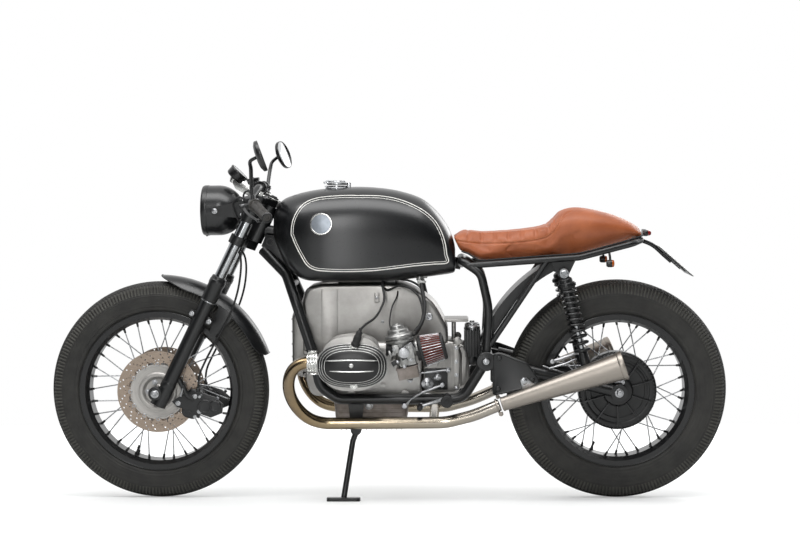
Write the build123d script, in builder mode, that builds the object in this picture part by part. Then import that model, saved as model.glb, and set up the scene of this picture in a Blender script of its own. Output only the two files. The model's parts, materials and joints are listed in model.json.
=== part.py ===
from build123d import *
import os
from math import atan2, cos, degrees, radians, sin, tan

# Cafe racer motorcycle with a flat twin engine and shaft drive, parked on its side stand.
# Units are millimetres. The machine is drawn upright: X points forward, Y to the rider's left,
# Z up, with Y = 0 at the middle of the wheels and the axles at the height axle_z.
# At the end every piece is leaned over to the left and set on the ground.

# Driving dimensions of the whole machine
wheelbase = 1465.0
axle_z = 350.0
tyre_radius = 350.0
lean_angle = 7.0
front_x = wheelbase / 2
rear_x = -wheelbase / 2
fit = 0.2
seat_gap = 0.3

# Steering head: the axis leans back by the rake and passes through head_x, head_z
rake = 26.2
head_x = 414.8
head_z = 855.0
fork_lead = 38.0
fork_half_track = 95.0
steer_up = Vector(-sin(radians(rake)), 0, cos(radians(rake)))
steer_ahead = Vector(cos(radians(rake)), 0, sin(radians(rake)))
head = Vector(head_x, 0, head_z)
axle_low = (Vector(front_x, 0, axle_z) - head).dot(steer_up)
axle_lead = (Vector(front_x, 0, axle_z) - head).dot(steer_ahead)

# Wheels and tyres
front_tyre_half = 52.5
front_seat_radius = 241.0
rear_tyre_half = 59.0
rear_seat_radius = 228.5
rim_flange_height = 14.0
rim_flange_thickness = 4.0
rim_depth = 13.0
tyre_crown = 46.0
tyre_crown_turn = 50.0
tyre_shoulder_share = 0.86
bead_inset = 5.0
spoke_radius = 1.9
spokes_each_side = 18
small_hub_lead = 2
drum_lead = 1
axle_radius = 8.5

# Front hub and brake discs
front_hub_radius = 34.0
front_flange_radius = 58.0
front_flange_half = 36.0
flange_thickness = 7.0
disc_radius = 130.0
disc_inner_radius = 88.0
disc_thickness = 5.0
disc_offset = 63.0

# Rear hub and brake drum
drum_radius = 124.0
drum_left = 60.0
drum_right = 8.0
rear_flange_radius = 72.0
rear_flange_offset = 36.0

# Fork
stanchion_radius = 18.0
slider_radius = 23.0
slider_foot = 32.6
stanchion_top = 117.5
axle_boss_radius = 19.0
lower_yoke_centre = -42.0
lower_yoke_height = 28.0
upper_yoke_centre = 107.0
upper_yoke_height = 20.0
yoke_boss_radius = 25.0
stem_radius = 14.0
stem_boss_radius = 18.5
head_tube_radius = 27.0
head_tube_clearance = 0.5
head_recess = 6.0

# Front mudguard
guard_clearance = 21.0
guard_radius = tyre_radius + guard_clearance
guard_half_width = 61.0
guard_depth = 34.0
sheet_thickness = 3.0
guard_ahead = -2.0
guard_behind = 72.0
guard_lug = 20.0
guard_pad_reach = 2.8

# Headlight
lamp_radius = 80.0
lamp_x = 540.0
lamp_z = 927.0
lamp_front = 40.0
lamp_back = 84.0
lamp_wall = 3.0
lens_bulge = 12.0

# Handlebar
bar_radius = 11.0
bar_x = 398.0
bar_z = 1000.0
grip_radius = 16.5
grip_length = 120.0
mirror_radius = 48.0
mirror_x = 380.0
mirror_y = 335.0
mirror_z = 1104.0

# Frame tubes
backbone_radius = 19.0
tunnel_half = 26.0
cradle_radius = 16.5
rear_tube_radius = 13.5
rail_radius = 10.0
stay_radius = 9.0
bridge_radius = 8.0
rear_guard_radius = 462.0
rear_guard_half = 80.0
cradle_half = 125.0
rail_joint_x = 124.0
lower_rail_z = 334.0
rear_tube_half = 120.0
seat_rail_half = 118.0
pivot_x = -315.0
pivot_z = 455.0
pivot_boss_radius = 27.0
pivot_inner = 104.0
pivot_outer = 146.0

# Engine
crank_x = 97.0
crank_z = 458.0
case_half = 92.0
case_front = 255.0
case_rear = -115.0
case_bottom = 335.0
case_top = 560.0
cover_front = 302.0
cover_half = 70.0
sump_bottom = 230.0
sump_half = 84.0
cylinder_end = 300.0
barrel_radius = 60.0
fin_radius = 86.0
head_fin_radius = 93.0
fin_thickness = 3.0
fin_pitch = 9.0
valve_cover_depth = 45.0
valve_cover_length = 214.0
valve_cover_height = 137.0
valve_cover_corner = 64.0
valve_cover_x = 94.0
valve_cover_z = 462.0
head_corner = 66.0

# Exhaust
pipe_radius = 18.5
pipe_half = 170.0
pipe_low_z = 266.0
silencer_front_radius = 21.0
silencer_rear_radius = 43.0
silencer_tail = Vector(-740.0, 212.0, 451.0)

# Side stand
stand_x = 95.0
stand_z = 236.0
stand_pin_radius = 8.0
stand_inner = 114.0
stand_leg_radius = 9.0
stand_foot_x = 132.0
stand_foot_y = 185.0
foot_length = 104.0
foot_width = 48.0
foot_thickness = 11.0

# Shock absorbers
shock_half = 140.0
shock_top_x = -557.0
shock_top_z = 729.0
shock_low_x = -634.0
shock_low_z = 409.0
shock_pin_radius = 6.0


def steer_point(ahead, side, up):
    """Point given ahead of, beside and along the steering axis."""
    return head + steer_ahead * ahead + Vector(0, side, 0) + steer_up * up


def steer_plane(ahead, side, up):
    """Plane square to the steering axis, its X pointing ahead."""
    return Plane(steer_point(ahead, side, up), x_dir=steer_ahead, z_dir=steer_up)


def across(x, y, z):
    """Plane facing left at a point, for shapes that run across the machine."""
    return Plane((x, y, z), x_dir=(1, 0, 0), z_dir=(0, 1, 0))


def radial(x, turn=0):
    """Plane through an axle: its X runs to the left, its Y out along a radius turned ahead of the top."""
    normal = (cos(radians(turn)), 0, -sin(radians(turn)))
    return Plane((x, 0, axle_z), x_dir=(0, 1, 0), z_dir=normal)


def tube(points, bends, radius):
    """Round bar or tube along straight runs joined by arcs."""
    with BuildLine() as route:
        FilletPolyline(*points, radius=bends)
    with BuildSketch(Plane(route.line @ 0, z_dir=route.line % 0)) as section:
        Circle(radius)
    sweep(section.sketch, path=route.line)


def rod(start, end, radius):
    """Straight round bar between two points."""
    start, end = Vector(*start), Vector(*end)
    with BuildSketch(Plane(start, z_dir=end - start)) as section:
        Circle(radius)
    extrude(section.sketch, amount=(end - start).length)


def peg(x, z, inner, outer, radius):
    """Round bar that runs across the machine."""
    with BuildSketch(across(x, inner, z)) as section:
        Circle(radius)
    extrude(section.sketch, amount=outer - inner)


def bore(x, z, inner, outer, radius):
    """Round hole that runs across the machine."""
    with BuildSketch(across(x, inner, z)) as section:
        Circle(radius)
    extrude(section.sketch, amount=outer - inner, mode=Mode.SUBTRACT)


def plate(points, inner, outer):
    """Flat plate with an outline of X and Z values, standing between two Y values."""
    with BuildSketch(Plane.XZ.offset(-inner)) as section:
        with BuildLine():
            Polyline(*points, close=True)
        make_face()
    extrude(section.sketch, amount=inner - outer)


def wheel_ring(x, outline):
    """Ring turned about an axle, its outline given as Y and radius."""
    with BuildSketch(radial(x)) as section:
        with BuildLine():
            Polyline(*outline, close=True)
        make_face()
    revolve(section.sketch, axis=Axis((x, 0, axle_z), (0, 1, 0)))


# Tyres

crown_height = tyre_crown * (1 - cos(radians(tyre_crown_turn)))


def tyre_shape(x, half, seat):
    """Solid of a tyre: flat beads, bulged walls and a round tread."""
    bead_half = half - rim_flange_thickness - bead_inset
    wall_height = seat + (tyre_radius - seat) * 0.5
    shoulder = tyre_radius - crown_height
    shoulder_half = half * tyre_shoulder_share
    with BuildSketch(radial(x)) as section:
        with BuildLine():
            Line((-bead_half, seat), (bead_half, seat))
            Line((bead_half, seat), (bead_half, seat + rim_flange_height))
            ThreePointArc((bead_half, seat + rim_flange_height), (half, wall_height),
                          (shoulder_half, shoulder))
            ThreePointArc((shoulder_half, shoulder), (0, tyre_radius), (-shoulder_half, shoulder))
            ThreePointArc((-shoulder_half, shoulder), (-half, wall_height),
                          (-bead_half, seat + rim_flange_height))
            Line((-bead_half, seat + rim_flange_height), (-bead_half, seat))
        make_face()
    revolve(section.sketch, axis=Axis((x, 0, axle_z), (0, 1, 0)))


with BuildPart() as front_tyre:
    tyre_shape(front_x, front_tyre_half, front_seat_radius)

with BuildPart() as rear_tyre:
    tyre_shape(rear_x, rear_tyre_half, rear_seat_radius)


# Rims, with an upturned flange on each side and a dropped centre

def rim_outline(half, seat):
    """Section of a rim: the bed, two flanges and the well."""
    inner = half - rim_flange_thickness - bead_inset + fit
    outer = inner + rim_flange_thickness
    bed = seat - seat_gap
    top = seat + rim_flange_height
    well = bed - rim_depth
    return [(-outer, top), (-inner, top), (-inner, bed), (inner, bed), (inner, top), (outer, top),
            (outer, bed - 3), (inner * 0.62, well), (-inner * 0.62, well), (-outer, bed - 3)]


front_rim_inner = front_seat_radius - seat_gap - rim_depth
rear_rim_inner = rear_seat_radius - seat_gap - rim_depth

with BuildPart() as front_rim:
    wheel_ring(front_x, rim_outline(front_tyre_half, front_seat_radius))

with BuildPart() as rear_rim:
    wheel_ring(rear_x, rim_outline(rear_tyre_half, rear_seat_radius))


# Hubs

with BuildPart() as front_hub:
    wide = front_flange_half + flange_thickness / 2
    narrow = front_flange_half - flange_thickness / 2
    hub_end = disc_offset - disc_thickness / 2 - 7
    wheel_ring(front_x, [
        (-hub_end, axle_radius + fit), (hub_end, axle_radius + fit), (hub_end, front_hub_radius),
        (wide, front_hub_radius), (wide, front_flange_radius), (narrow, front_flange_radius),
        (narrow - 6, front_hub_radius), (-narrow + 6, front_hub_radius), (-narrow, front_flange_radius),
        (-wide, front_flange_radius), (-wide, front_hub_radius), (-hub_end, front_hub_radius)])

with BuildPart() as brake_discs:
    for side in (1, -1):
        inner_face = side * (disc_offset - disc_thickness / 2)
        outer_face = side * (disc_offset + disc_thickness / 2)
        carrier_face = side * hub_end
        wheel_ring(front_x, [
            (inner_face, disc_inner_radius - 6), (inner_face, disc_radius), (outer_face, disc_radius),
            (outer_face, disc_inner_radius - 6)])
        wheel_ring(front_x, [
            (carrier_face, axle_radius + fit), (carrier_face, 50), (inner_face, disc_inner_radius),
            (outer_face, disc_inner_radius), (outer_face, axle_radius + fit)])

with BuildPart() as rear_hub:
    wheel_ring(rear_x, [
        (-rear_flange_offset - 6, axle_radius + fit), (drum_left, axle_radius + fit),
        (drum_left, drum_radius - 8), (drum_left - 8, drum_radius), (drum_right, drum_radius),
        (drum_right - 14, 50), (-rear_flange_offset + 4, 50), (-rear_flange_offset, rear_flange_radius),
        (-rear_flange_offset - 6, rear_flange_radius)])


# Spokes: on each side of a wheel one set leans forward and one back, offset so that they pass

def spoke_set(x, hub_radii, hub_offsets, rim_inner):
    """Wire spokes between the hub's two flanges and the rim."""
    axle = Vector(x, 0, axle_z)
    step = 360 / spokes_each_side
    for side, hub_radius, hub_offset in zip((1, -1), hub_radii, hub_offsets):
        for number in range(spokes_each_side):
            swing = 1 if number % 2 else -1
            hub_turn = number * step + (step / 2 if side < 0 else 0)
            rim_turn = hub_turn + swing * step * (small_hub_lead if hub_radius < 90 else drum_lead)
            foot = (hub_offset + 3 * swing) * side
            tip = (13 + 3 * swing) * side
            start = axle + Vector((hub_radius - 4) * cos(radians(hub_turn)), foot,
                                  (hub_radius - 4) * sin(radians(hub_turn)))
            end = axle + Vector((rim_inner + 6) * cos(radians(rim_turn)), tip,
                                (rim_inner + 6) * sin(radians(rim_turn)))
            rod(start, end, spoke_radius)
    with BuildSketch(across(x, -70, axle_z)) as inside:
        Circle(rim_inner - fit)
    extrude(inside.sketch, amount=140, mode=Mode.INTERSECT)
    for side, hub_radius in zip((1, -1), hub_radii):
        with BuildSketch(across(x, 0, axle_z)) as middle:
            Circle(hub_radius + fit)
        extrude(middle.sketch, amount=70 * side, mode=Mode.SUBTRACT)


with BuildPart() as front_spokes:
    spoke_set(front_x, (front_flange_radius, front_flange_radius),
              (front_flange_half, front_flange_half), front_rim_inner)

with BuildPart() as rear_spokes:
    spoke_set(rear_x, (drum_radius, rear_flange_radius),
              ((drum_left + drum_right) / 2, rear_flange_offset + 3), rear_rim_inner)


# Front fork

guard_lug_low = axle_low + guard_radius - guard_depth - guard_lug + 3.4
slider_top = guard_lug_low + 26
slider_bottom = axle_low - slider_foot
slider_inner = fork_half_track - slider_radius
slider_outer = fork_half_track + slider_radius

with BuildPart() as fork_stanchions:
    for side in (1, -1):
        with BuildSketch(steer_plane(fork_lead, side * fork_half_track, slider_top)):
            Circle(stanchion_radius)
        extrude(amount=stanchion_top - slider_top)

with BuildPart() as fork_sliders:
    for side in (1, -1):
        with BuildSketch(steer_plane(fork_lead, side * fork_half_track, slider_bottom)):
            Circle(slider_radius)
        extrude(amount=slider_top - slider_bottom)
        with BuildSketch(steer_plane(fork_lead, side * fork_half_track, slider_bottom)):
            with Locations((axle_lead / 2 - fork_lead / 2, 0)):
                Rectangle(axle_lead - fork_lead + 4, slider_radius * 1.3)
        extrude(amount=52)
    peg(front_x, axle_z, slider_inner + 2, slider_outer - 2, axle_boss_radius)
    peg(front_x, axle_z, -slider_outer + 2, -slider_inner - 2, axle_boss_radius)
    for side in (1, -1):
        with BuildSketch(steer_plane(fork_lead, side * (guard_half_width + 12), guard_lug_low)):
            Rectangle(guard_lug, 2 * (11 - guard_pad_reach - fit))
        extrude(amount=guard_lug)
    bore(front_x, axle_z, -slider_outer, slider_outer, axle_radius)

with BuildPart() as front_axle:
    peg(front_x, axle_z, -slider_outer - 8, slider_outer + 8, axle_radius)
    peg(front_x, axle_z, slider_outer, slider_outer + 6, 14)
    peg(front_x, axle_z, -slider_outer - 6, -slider_outer, 14)


def yoke_outline():
    """Outline of a yoke: a boss round each fork leg and one round the stem."""
    with Locations((fork_lead, fork_half_track), (fork_lead, -fork_half_track)):
        Circle(yoke_boss_radius)
    Circle(stem_boss_radius)
    with BuildLine() as edge:
        Polyline((-stem_boss_radius * 0.8, 12), (8, 42), (fork_lead - 16, fork_half_track),
                 (fork_lead + 20, fork_half_track), (fork_lead + 4, 30), (fork_lead + 4, -30),
                 (fork_lead + 20, -fork_half_track), (fork_lead - 16, -fork_half_track), (8, -42),
                 (-stem_boss_radius * 0.8, -12), close=True)
    make_face(edge.edges())
    with Locations((fork_lead, fork_half_track), (fork_lead, -fork_half_track)):
        Circle(stanchion_radius + fit, mode=Mode.SUBTRACT)


yoke_top_face = upper_yoke_centre + upper_yoke_height / 2
head_tube_low = lower_yoke_centre + lower_yoke_height / 2 + head_tube_clearance
head_tube_high = upper_yoke_centre - upper_yoke_height / 2 - head_tube_clearance

with BuildPart() as lower_yoke:
    with BuildSketch(steer_plane(0, 0, lower_yoke_centre - lower_yoke_height / 2)):
        yoke_outline()
    extrude(amount=lower_yoke_height)
    with BuildSketch(steer_plane(0, 0, lower_yoke_centre)):
        Circle(stem_radius)
    extrude(amount=upper_yoke_centre - upper_yoke_height / 2 - lower_yoke_centre)
    with BuildSketch(steer_plane(30, 0, lower_yoke_centre - lower_yoke_height / 2)):
        Rectangle(18, 30)
    extrude(amount=-16)

with BuildPart() as upper_yoke:
    with BuildSketch(steer_plane(0, 0, upper_yoke_centre - upper_yoke_height / 2)):
        yoke_outline()
    extrude(amount=upper_yoke_height)
    with BuildSketch(steer_plane(0, 0, yoke_top_face)):
        RegularPolygon(16, 6)
    extrude(amount=9)


# Front mudguard: a channel bent round the tyre, held to a lug on each slider

with BuildPart() as front_mudguard:
    with BuildSketch(radial(front_x, guard_ahead)):
        with BuildLine():
            Line((-guard_half_width, guard_radius - guard_depth),
                 (-guard_half_width + sheet_thickness, guard_radius - guard_depth))
            ThreePointArc((-guard_half_width + sheet_thickness, guard_radius - guard_depth),
                          (0, guard_radius - sheet_thickness),
                          (guard_half_width - sheet_thickness, guard_radius - guard_depth))
            Line((guard_half_width - sheet_thickness, guard_radius - guard_depth),
                 (guard_half_width, guard_radius - guard_depth))
            ThreePointArc((guard_half_width, guard_radius - guard_depth), (0, guard_radius),
                          (-guard_half_width, guard_radius - guard_depth))
        make_face()
    revolve(axis=Axis((front_x, 0, axle_z), (0, 1, 0)), revolution_arc=-(guard_behind + guard_ahead))
    for side in (1, -1):
        with BuildSketch(steer_plane(fork_lead, side * (guard_half_width + 1), guard_lug_low - 4)):
            Rectangle(guard_lug + 6, 2 * guard_pad_reach)
        extrude(amount=42)


# Headlight: a bowl that opens forward, a bright rim with the reflector, and a glass

lamp_axis = Axis((lamp_x, 0, lamp_z), (1, 0, 0))
lamp_section = Plane((lamp_x, 0, lamp_z), x_dir=(1, 0, 0), z_dir=(0, -1, 0))
lens_radius = lamp_radius - 7
reflector_depth = 52.0
bowl_centre = lamp_radius - lamp_back

with BuildPart() as headlight_shell:
    with BuildSketch(lamp_section):
        with BuildLine():
            Line((lamp_front - 12, lamp_radius - lamp_wall), (lamp_front - 12, lamp_radius))
            Line((lamp_front - 12, lamp_radius), (bowl_centre, lamp_radius))
            CenterArc((bowl_centre, 0), lamp_radius, 90, 90)
            Line((bowl_centre - lamp_radius, 0), (bowl_centre - lamp_radius + lamp_wall, 0))
            CenterArc((bowl_centre, 0), lamp_radius - lamp_wall, 180, -90)
            Line((bowl_centre, lamp_radius - lamp_wall), (lamp_front - 12, lamp_radius - lamp_wall))
        make_face()
    revolve(axis=lamp_axis)

with BuildPart() as headlight_rim:
    with BuildSketch(lamp_section):
        with BuildLine():
            Polyline((lamp_front - 12, lamp_radius - 5), (lamp_front - 12, lamp_radius + 1),
                     (lamp_front + 2, lamp_radius + 1), (lamp_front + 7, lamp_radius - 3),
                     (lamp_front + 7, lens_radius + fit), (lamp_front, lens_radius + fit),
                     (lamp_front, lens_radius - 4), (lamp_front - 20, lens_radius * 0.78),
                     (lamp_front - 40, lens_radius * 0.5), (lamp_front - reflector_depth, 12),
                     (lamp_front - reflector_depth, 0), (lamp_front - reflector_depth - 3, 0),
                     (lamp_front - reflector_depth - 3, 14), (lamp_front - 42.5, lens_radius * 0.5 + 3),
                     (lamp_front - 21.5, lens_radius * 0.78 + 3), close=True)
        make_face()
    revolve(axis=lamp_axis)

lens_curve = (lens_radius ** 2 + lens_bulge ** 2) / (2 * lens_bulge)
lens_turn = degrees(atan2(lens_radius, lens_curve - lens_bulge))

with BuildPart() as headlight_lens:
    with BuildSketch(lamp_section):
        with BuildLine():
            Line((lamp_front + fit, 0), (lamp_front + fit, lens_radius))
            Line((lamp_front + fit, lens_radius), (lamp_front + 4, lens_radius))
            CenterArc((lamp_front + 4 + lens_bulge - lens_curve, 0), lens_curve, lens_turn, -lens_turn)
            Line((lamp_front + 4 + lens_bulge, 0), (lamp_front + fit, 0))
        make_face()
    revolve(axis=lamp_axis)

ear_gap = 0.3
ear_thickness = 4.0

with BuildPart() as headlight_ears:
    for side in (1, -1):
        with BuildSketch(steer_plane(fork_lead, side * fork_half_track, 24)):
            Circle(stanchion_radius + 5)
        extrude(amount=52)
        ear_face = side * (lamp_radius + ear_gap)
        with BuildSketch(Plane.XZ.offset(-ear_face)):
            with BuildLine():
                Polyline((lamp_x - 118, lamp_z - 24), (lamp_x - 100, lamp_z + 34), (lamp_x - 20, lamp_z + 18),
                         (lamp_x + 8, lamp_z + 12), (lamp_x + 8, lamp_z - 12), (lamp_x - 20, lamp_z - 18),
                         close=True)
            make_face()
        extrude(amount=-side * ear_thickness)
        with BuildSketch(steer_plane(fork_lead, side * fork_half_track, 10)):
            Circle(stanchion_radius + fit)
        extrude(amount=80, mode=Mode.SUBTRACT)


# Handlebar, held by two clamps on the upper yoke, with grips, levers and mirrors

bar_route = [(bar_x, 0, bar_z), (bar_x, 108, bar_z), (bar_x + 16, 164, bar_z - 30),
             (bar_x + 8, 200, bar_z - 44), (bar_x - 52, 336, bar_z - 86)]
grip_end = Vector(*bar_route[-1])
grip_way = (grip_end - Vector(*bar_route[-2])).normalized()
grip_start = grip_end - grip_way * grip_length
clamp_offset = 38.0

with BuildPart() as handlebar:
    tube(bar_route, [40, 28, 30], bar_radius)
    mirror(about=Plane.XZ)
    for side in (1, -1):
        with BuildSketch(Plane.XZ.offset(-(side * clamp_offset + 12))):
            with Locations((bar_x, bar_z)):
                Circle(bar_radius + 8)
        extrude(amount=24)
    with BuildSketch(steer_plane(0, 0, yoke_top_face)):
        with Locations((46, clamp_offset), (46, -clamp_offset)):
            Rectangle(26, 24)
    extrude(amount=14)
    with BuildSketch(steer_plane(0, 0, yoke_top_face - 40)):
        Rectangle(300, 300)
    extrude(amount=40, mode=Mode.SUBTRACT)

with BuildPart() as grips:
    for side in (1, -1):
        start = Vector(grip_start.X, side * grip_start.Y, grip_start.Z)
        way = Vector(grip_way.X, side * grip_way.Y, grip_way.Z)
        with BuildSketch(Plane(start, z_dir=way)):
            Circle(grip_radius)
            Circle(bar_radius + fit, mode=Mode.SUBTRACT)
        extrude(amount=grip_length)
        with BuildSketch(Plane(start + way * (grip_length + fit), z_dir=way)):
            Circle(grip_radius)
        extrude(amount=8)

perch_from_end = grip_length + 24.0
lever_length = 150.0

with BuildPart() as control_levers:
    for side in (1, -1):
        way = Vector(grip_way.X, side * grip_way.Y, grip_way.Z)
        end = Vector(grip_end.X, side * grip_end.Y, grip_end.Z)
        perch = end - way * perch_from_end
        ahead = Vector(cos(radians(12)), 0, -sin(radians(12)))
        with BuildSketch(Plane(perch, z_dir=way)):
            Circle(bar_radius + 7)
        extrude(amount=22)
        knuckle = perch + way * 11 + ahead * 34
        rod(perch + way * 11 + ahead * 12, knuckle, 8)
        rod(knuckle - way * 8, knuckle + way * lever_length, 5.5)
        with BuildSketch(Plane(perch - way * 5, z_dir=way)):
            Circle(bar_radius + fit)
        extrude(amount=40, mode=Mode.SUBTRACT)

with BuildPart() as mirrors:
    for side in (1, -1):
        perch = grip_end - grip_way * (perch_from_end - 11)
        root = Vector(perch.X + 4, side * perch.Y, perch.Z + bar_radius + 2)
        rise = root + Vector(4, side * 4, 40)
        elbow = Vector(root.X - 2, side * (perch.Y + 84), mirror_z - 30)
        centre = Vector(mirror_x, side * mirror_y, mirror_z)
        with BuildLine() as stem:
            FilletPolyline(root, rise, elbow, centre + Vector(6, -side * 6, 0), radius=[20, 22])
        with BuildSketch(Plane(stem.line @ 0, z_dir=stem.line % 0)):
            Circle(4.5)
        sweep(path=stem.line)
        with BuildSketch(Plane(centre, z_dir=(-1, 0, 0.12))):
            Circle(mirror_radius)
        extrude(amount=12)
        with BuildSketch(Plane(centre, z_dir=(1, 0, -0.12))):
            Circle(mirror_radius)
        extrude(amount=9, taper=55)
    add(control_levers.part, mode=Mode.SUBTRACT)


# Speedometer on a bracket in front of the upper yoke

dial_radius = 33.0
dial_depth = 30.0
dial_centre = Vector(478, 0, 1040)

with BuildPart() as instrument:
    dial_plane = Plane(dial_centre, x_dir=(0, 1, 0), z_dir=(-0.7, 0, 0.72))
    with BuildSketch(dial_plane.offset(-dial_depth / 2)):
        Circle(dial_radius)
    extrude(amount=dial_depth)
    yoke_front = steer_point(fork_lead + 4, 0, upper_yoke_centre)
    with BuildSketch(Plane.XZ.offset(-14)):
        with BuildLine():
            Polyline((yoke_front.X - 12, yoke_front.Z - 6), (yoke_front.X - 12, yoke_front.Z + 8),
                     (dial_centre.X - 2, dial_centre.Z - 4), (dial_centre.X + 12, dial_centre.Z - 16),
                     close=True)
        make_face()
    extrude(amount=28)
    add(upper_yoke.part, mode=Mode.SUBTRACT)


# Frame: steering head with backbone, then the tubes of the cradle, rear and seat

backbone_front = Vector(388, 0, 862)
backbone_rear = Vector(-238, 0, 752)

with BuildPart() as frame_backbone:
    with BuildSketch(steer_plane(0, 0, head_tube_low)):
        Circle(head_tube_radius)
    extrude(amount=head_tube_high - head_tube_low)
    rod(backbone_front, backbone_rear, backbone_radius)
    plate([(402, 812), (380, 866), (240, 836), (330, 770), (392, 802)], -4, 4)
    for share in (0.2, 0.82):
        pad = backbone_front + (backbone_rear - backbone_front) * share
        peg(pad.X, pad.Z, -tunnel_half + seat_gap, tunnel_half - seat_gap, 12)
    with BuildSketch(steer_plane(0, 0, head_tube_low - 1)):
        Circle(stem_radius + head_tube_clearance)
    extrude(amount=head_tube_high - head_tube_low + 2, mode=Mode.SUBTRACT)

cradle_route = [(396, 16, 800), (316, 62, 724), (284, 100, 640), (229, 125, 480), (206, cradle_half, 372),
                (150, cradle_half, lower_rail_z), (rail_joint_x, cradle_half, lower_rail_z)]

with BuildPart() as frame_downtubes:
    tube(cradle_route, [60, 120, 150, 60, 50], cradle_radius)
    mirror(about=Plane.XZ)
    add(frame_backbone.part, mode=Mode.SUBTRACT)
    with BuildSketch(steer_plane(0, 0, head_tube_low - 20)):
        Circle(head_tube_radius)
    extrude(amount=head_tube_high - head_tube_low + 40, mode=Mode.SUBTRACT)
    peg(300, 690, -70, 70, 11)

rail_route = [(rail_joint_x, cradle_half, lower_rail_z), (-240, cradle_half, lower_rail_z),
              (pivot_x, cradle_half, pivot_z)]

with BuildPart() as frame_lower_rails:
    tube(rail_route, [60], cradle_radius)
    mirror(about=Plane.XZ)
    bore(pivot_x, pivot_z, -pivot_outer, pivot_outer, pivot_boss_radius)
    plate([(stand_x - 26, lower_rail_z - 4), (stand_x + 26, lower_rail_z - 4), (stand_x + 15, stand_z - 10),
           (stand_x, stand_z - 16), (stand_x - 15, stand_z - 10)], stand_inner - 6, stand_inner)
    peg(stand_x, stand_z, stand_inner - 1, stand_inner + 24, stand_pin_radius)
    peg(stand_x, stand_z, stand_inner + 23, stand_inner + 27, stand_pin_radius + 4)

rear_tube_route = [(pivot_x, rear_tube_half, pivot_z), (-324, rear_tube_half, 620),
                   (-300, rear_tube_half, 728), (-238, 108, 770), (-240, 14, 754)]

with BuildPart() as frame_rear_tubes:
    tube(rear_tube_route, [200, 50, 26], rear_tube_radius)
    peg(pivot_x, pivot_z, pivot_inner, pivot_outer, pivot_boss_radius)
    mirror(about=Plane.XZ)
    with BuildSketch(Plane(backbone_front, z_dir=backbone_rear - backbone_front)):
        Circle(backbone_radius)
    extrude(amount=700, mode=Mode.SUBTRACT)

rail_front = (-262, seat_rail_half, 753)
rail_bend = (-608, seat_rail_half, 777)
rail_corner = (-775, seat_rail_half - 14, 819)
rail_end = (-806, 50, 827)

with BuildPart() as frame_seat_rail:
    with BuildLine() as loop:
        FilletPolyline(rail_front, rail_bend, rail_corner, rail_end,
                       (rail_end[0], -rail_end[1], rail_end[2]),
                       (rail_corner[0], -rail_corner[1], rail_corner[2]),
                       (rail_bend[0], -rail_bend[1], rail_bend[2]),
                       (rail_front[0], -rail_front[1], rail_front[2]),
                       radius=[120, 30, 40, 40, 30, 120])
    with BuildSketch(Plane(loop.line @ 0, z_dir=loop.line % 0)):
        Circle(rail_radius)
    sweep(path=loop.line)
    bridge_reach = rear_guard_radius + bridge_radius + seat_gap
    bridge_turn = radians(27)
    peg(rear_x + bridge_reach * sin(bridge_turn), axle_z + bridge_reach * cos(bridge_turn),
        -seat_rail_half, seat_rail_half, bridge_radius)
    for side in (1, -1):
        face = side * (seat_rail_half - 3)
        with BuildSketch(Plane.XZ.offset(-face)):
            with BuildLine():
                Polyline((shock_top_x - 42, 776), (shock_top_x + 42, 770),
                         (shock_top_x + 14, shock_top_z - 12), (shock_top_x - 14, shock_top_z - 12), close=True)
            make_face()
        extrude(amount=-side * 6)
    peg(shock_top_x, shock_top_z, seat_rail_half, shock_half + 20, shock_pin_radius)
    peg(shock_top_x, shock_top_z, -shock_half - 20, -seat_rail_half, shock_pin_radius)
    add(frame_rear_tubes.part, mode=Mode.SUBTRACT)

with BuildPart() as frame_stays:
    for side in (1, -1):
        rod((-508, side * seat_rail_half, 770), (-326, side * rear_tube_half, 500), stay_radius)
    add(frame_seat_rail.part, mode=Mode.SUBTRACT)
    add(frame_rear_tubes.part, mode=Mode.SUBTRACT)


# Engine: crankcase with its front cover, top cover, sump and gearbox

with BuildPart() as engine_case:
    with BuildSketch(Plane.XZ.offset(case_half)):
        with BuildLine():
            Polyline((case_rear, case_bottom), (case_front - 60, case_bottom), (case_front, case_bottom + 55),
                     (case_front, case_top), (case_rear, case_top), close=True)
        make_face()
        fillet(vertices().group_by(Axis.X)[-1], 24)
    extrude(amount=-2 * case_half)
    fillet(faces().sort_by(Axis.Y)[-1].edges(), 8)
    fillet(faces().sort_by(Axis.Y)[0].edges(), 8)
    with BuildSketch(Plane.XZ.offset(cover_half)):
        with BuildLine():
            Polyline((case_front - 10, 384), (cover_front - 14, 392), (cover_front, 430), (cover_front, 600),
                     (cover_front - 16, 632), (case_front + 12, 640), (case_front + 12, case_top),
                     (case_front - 10, case_top), close=True)
        make_face()
    extrude(amount=-2 * cover_half)
    lug_end = cradle_half - cradle_radius - seat_gap
    for lug_x in (110, -60):
        peg(lug_x, lower_rail_z + 12, case_half - 4, lug_end, 13)
        peg(lug_x, lower_rail_z + 12, -lug_end, -case_half + 4, 13)

with BuildPart() as engine_top_cover:
    with BuildSketch(Plane.XZ.offset(case_half - 4)):
        with BuildLine():
            Polyline((case_rear, case_top), (case_front + 6, case_top), (case_front + 10, 676), (236, 690),
                     (60, 697), (-60, 691), (-192, 545), (-192, 514), (case_rear, 514), close=True)
        make_face()
    extrude(amount=-2 * (case_half - 4))
    fillet(faces().sort_by(Axis.Y)[-1].edges(), 12)
    fillet(faces().sort_by(Axis.Y)[0].edges(), 12)

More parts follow.
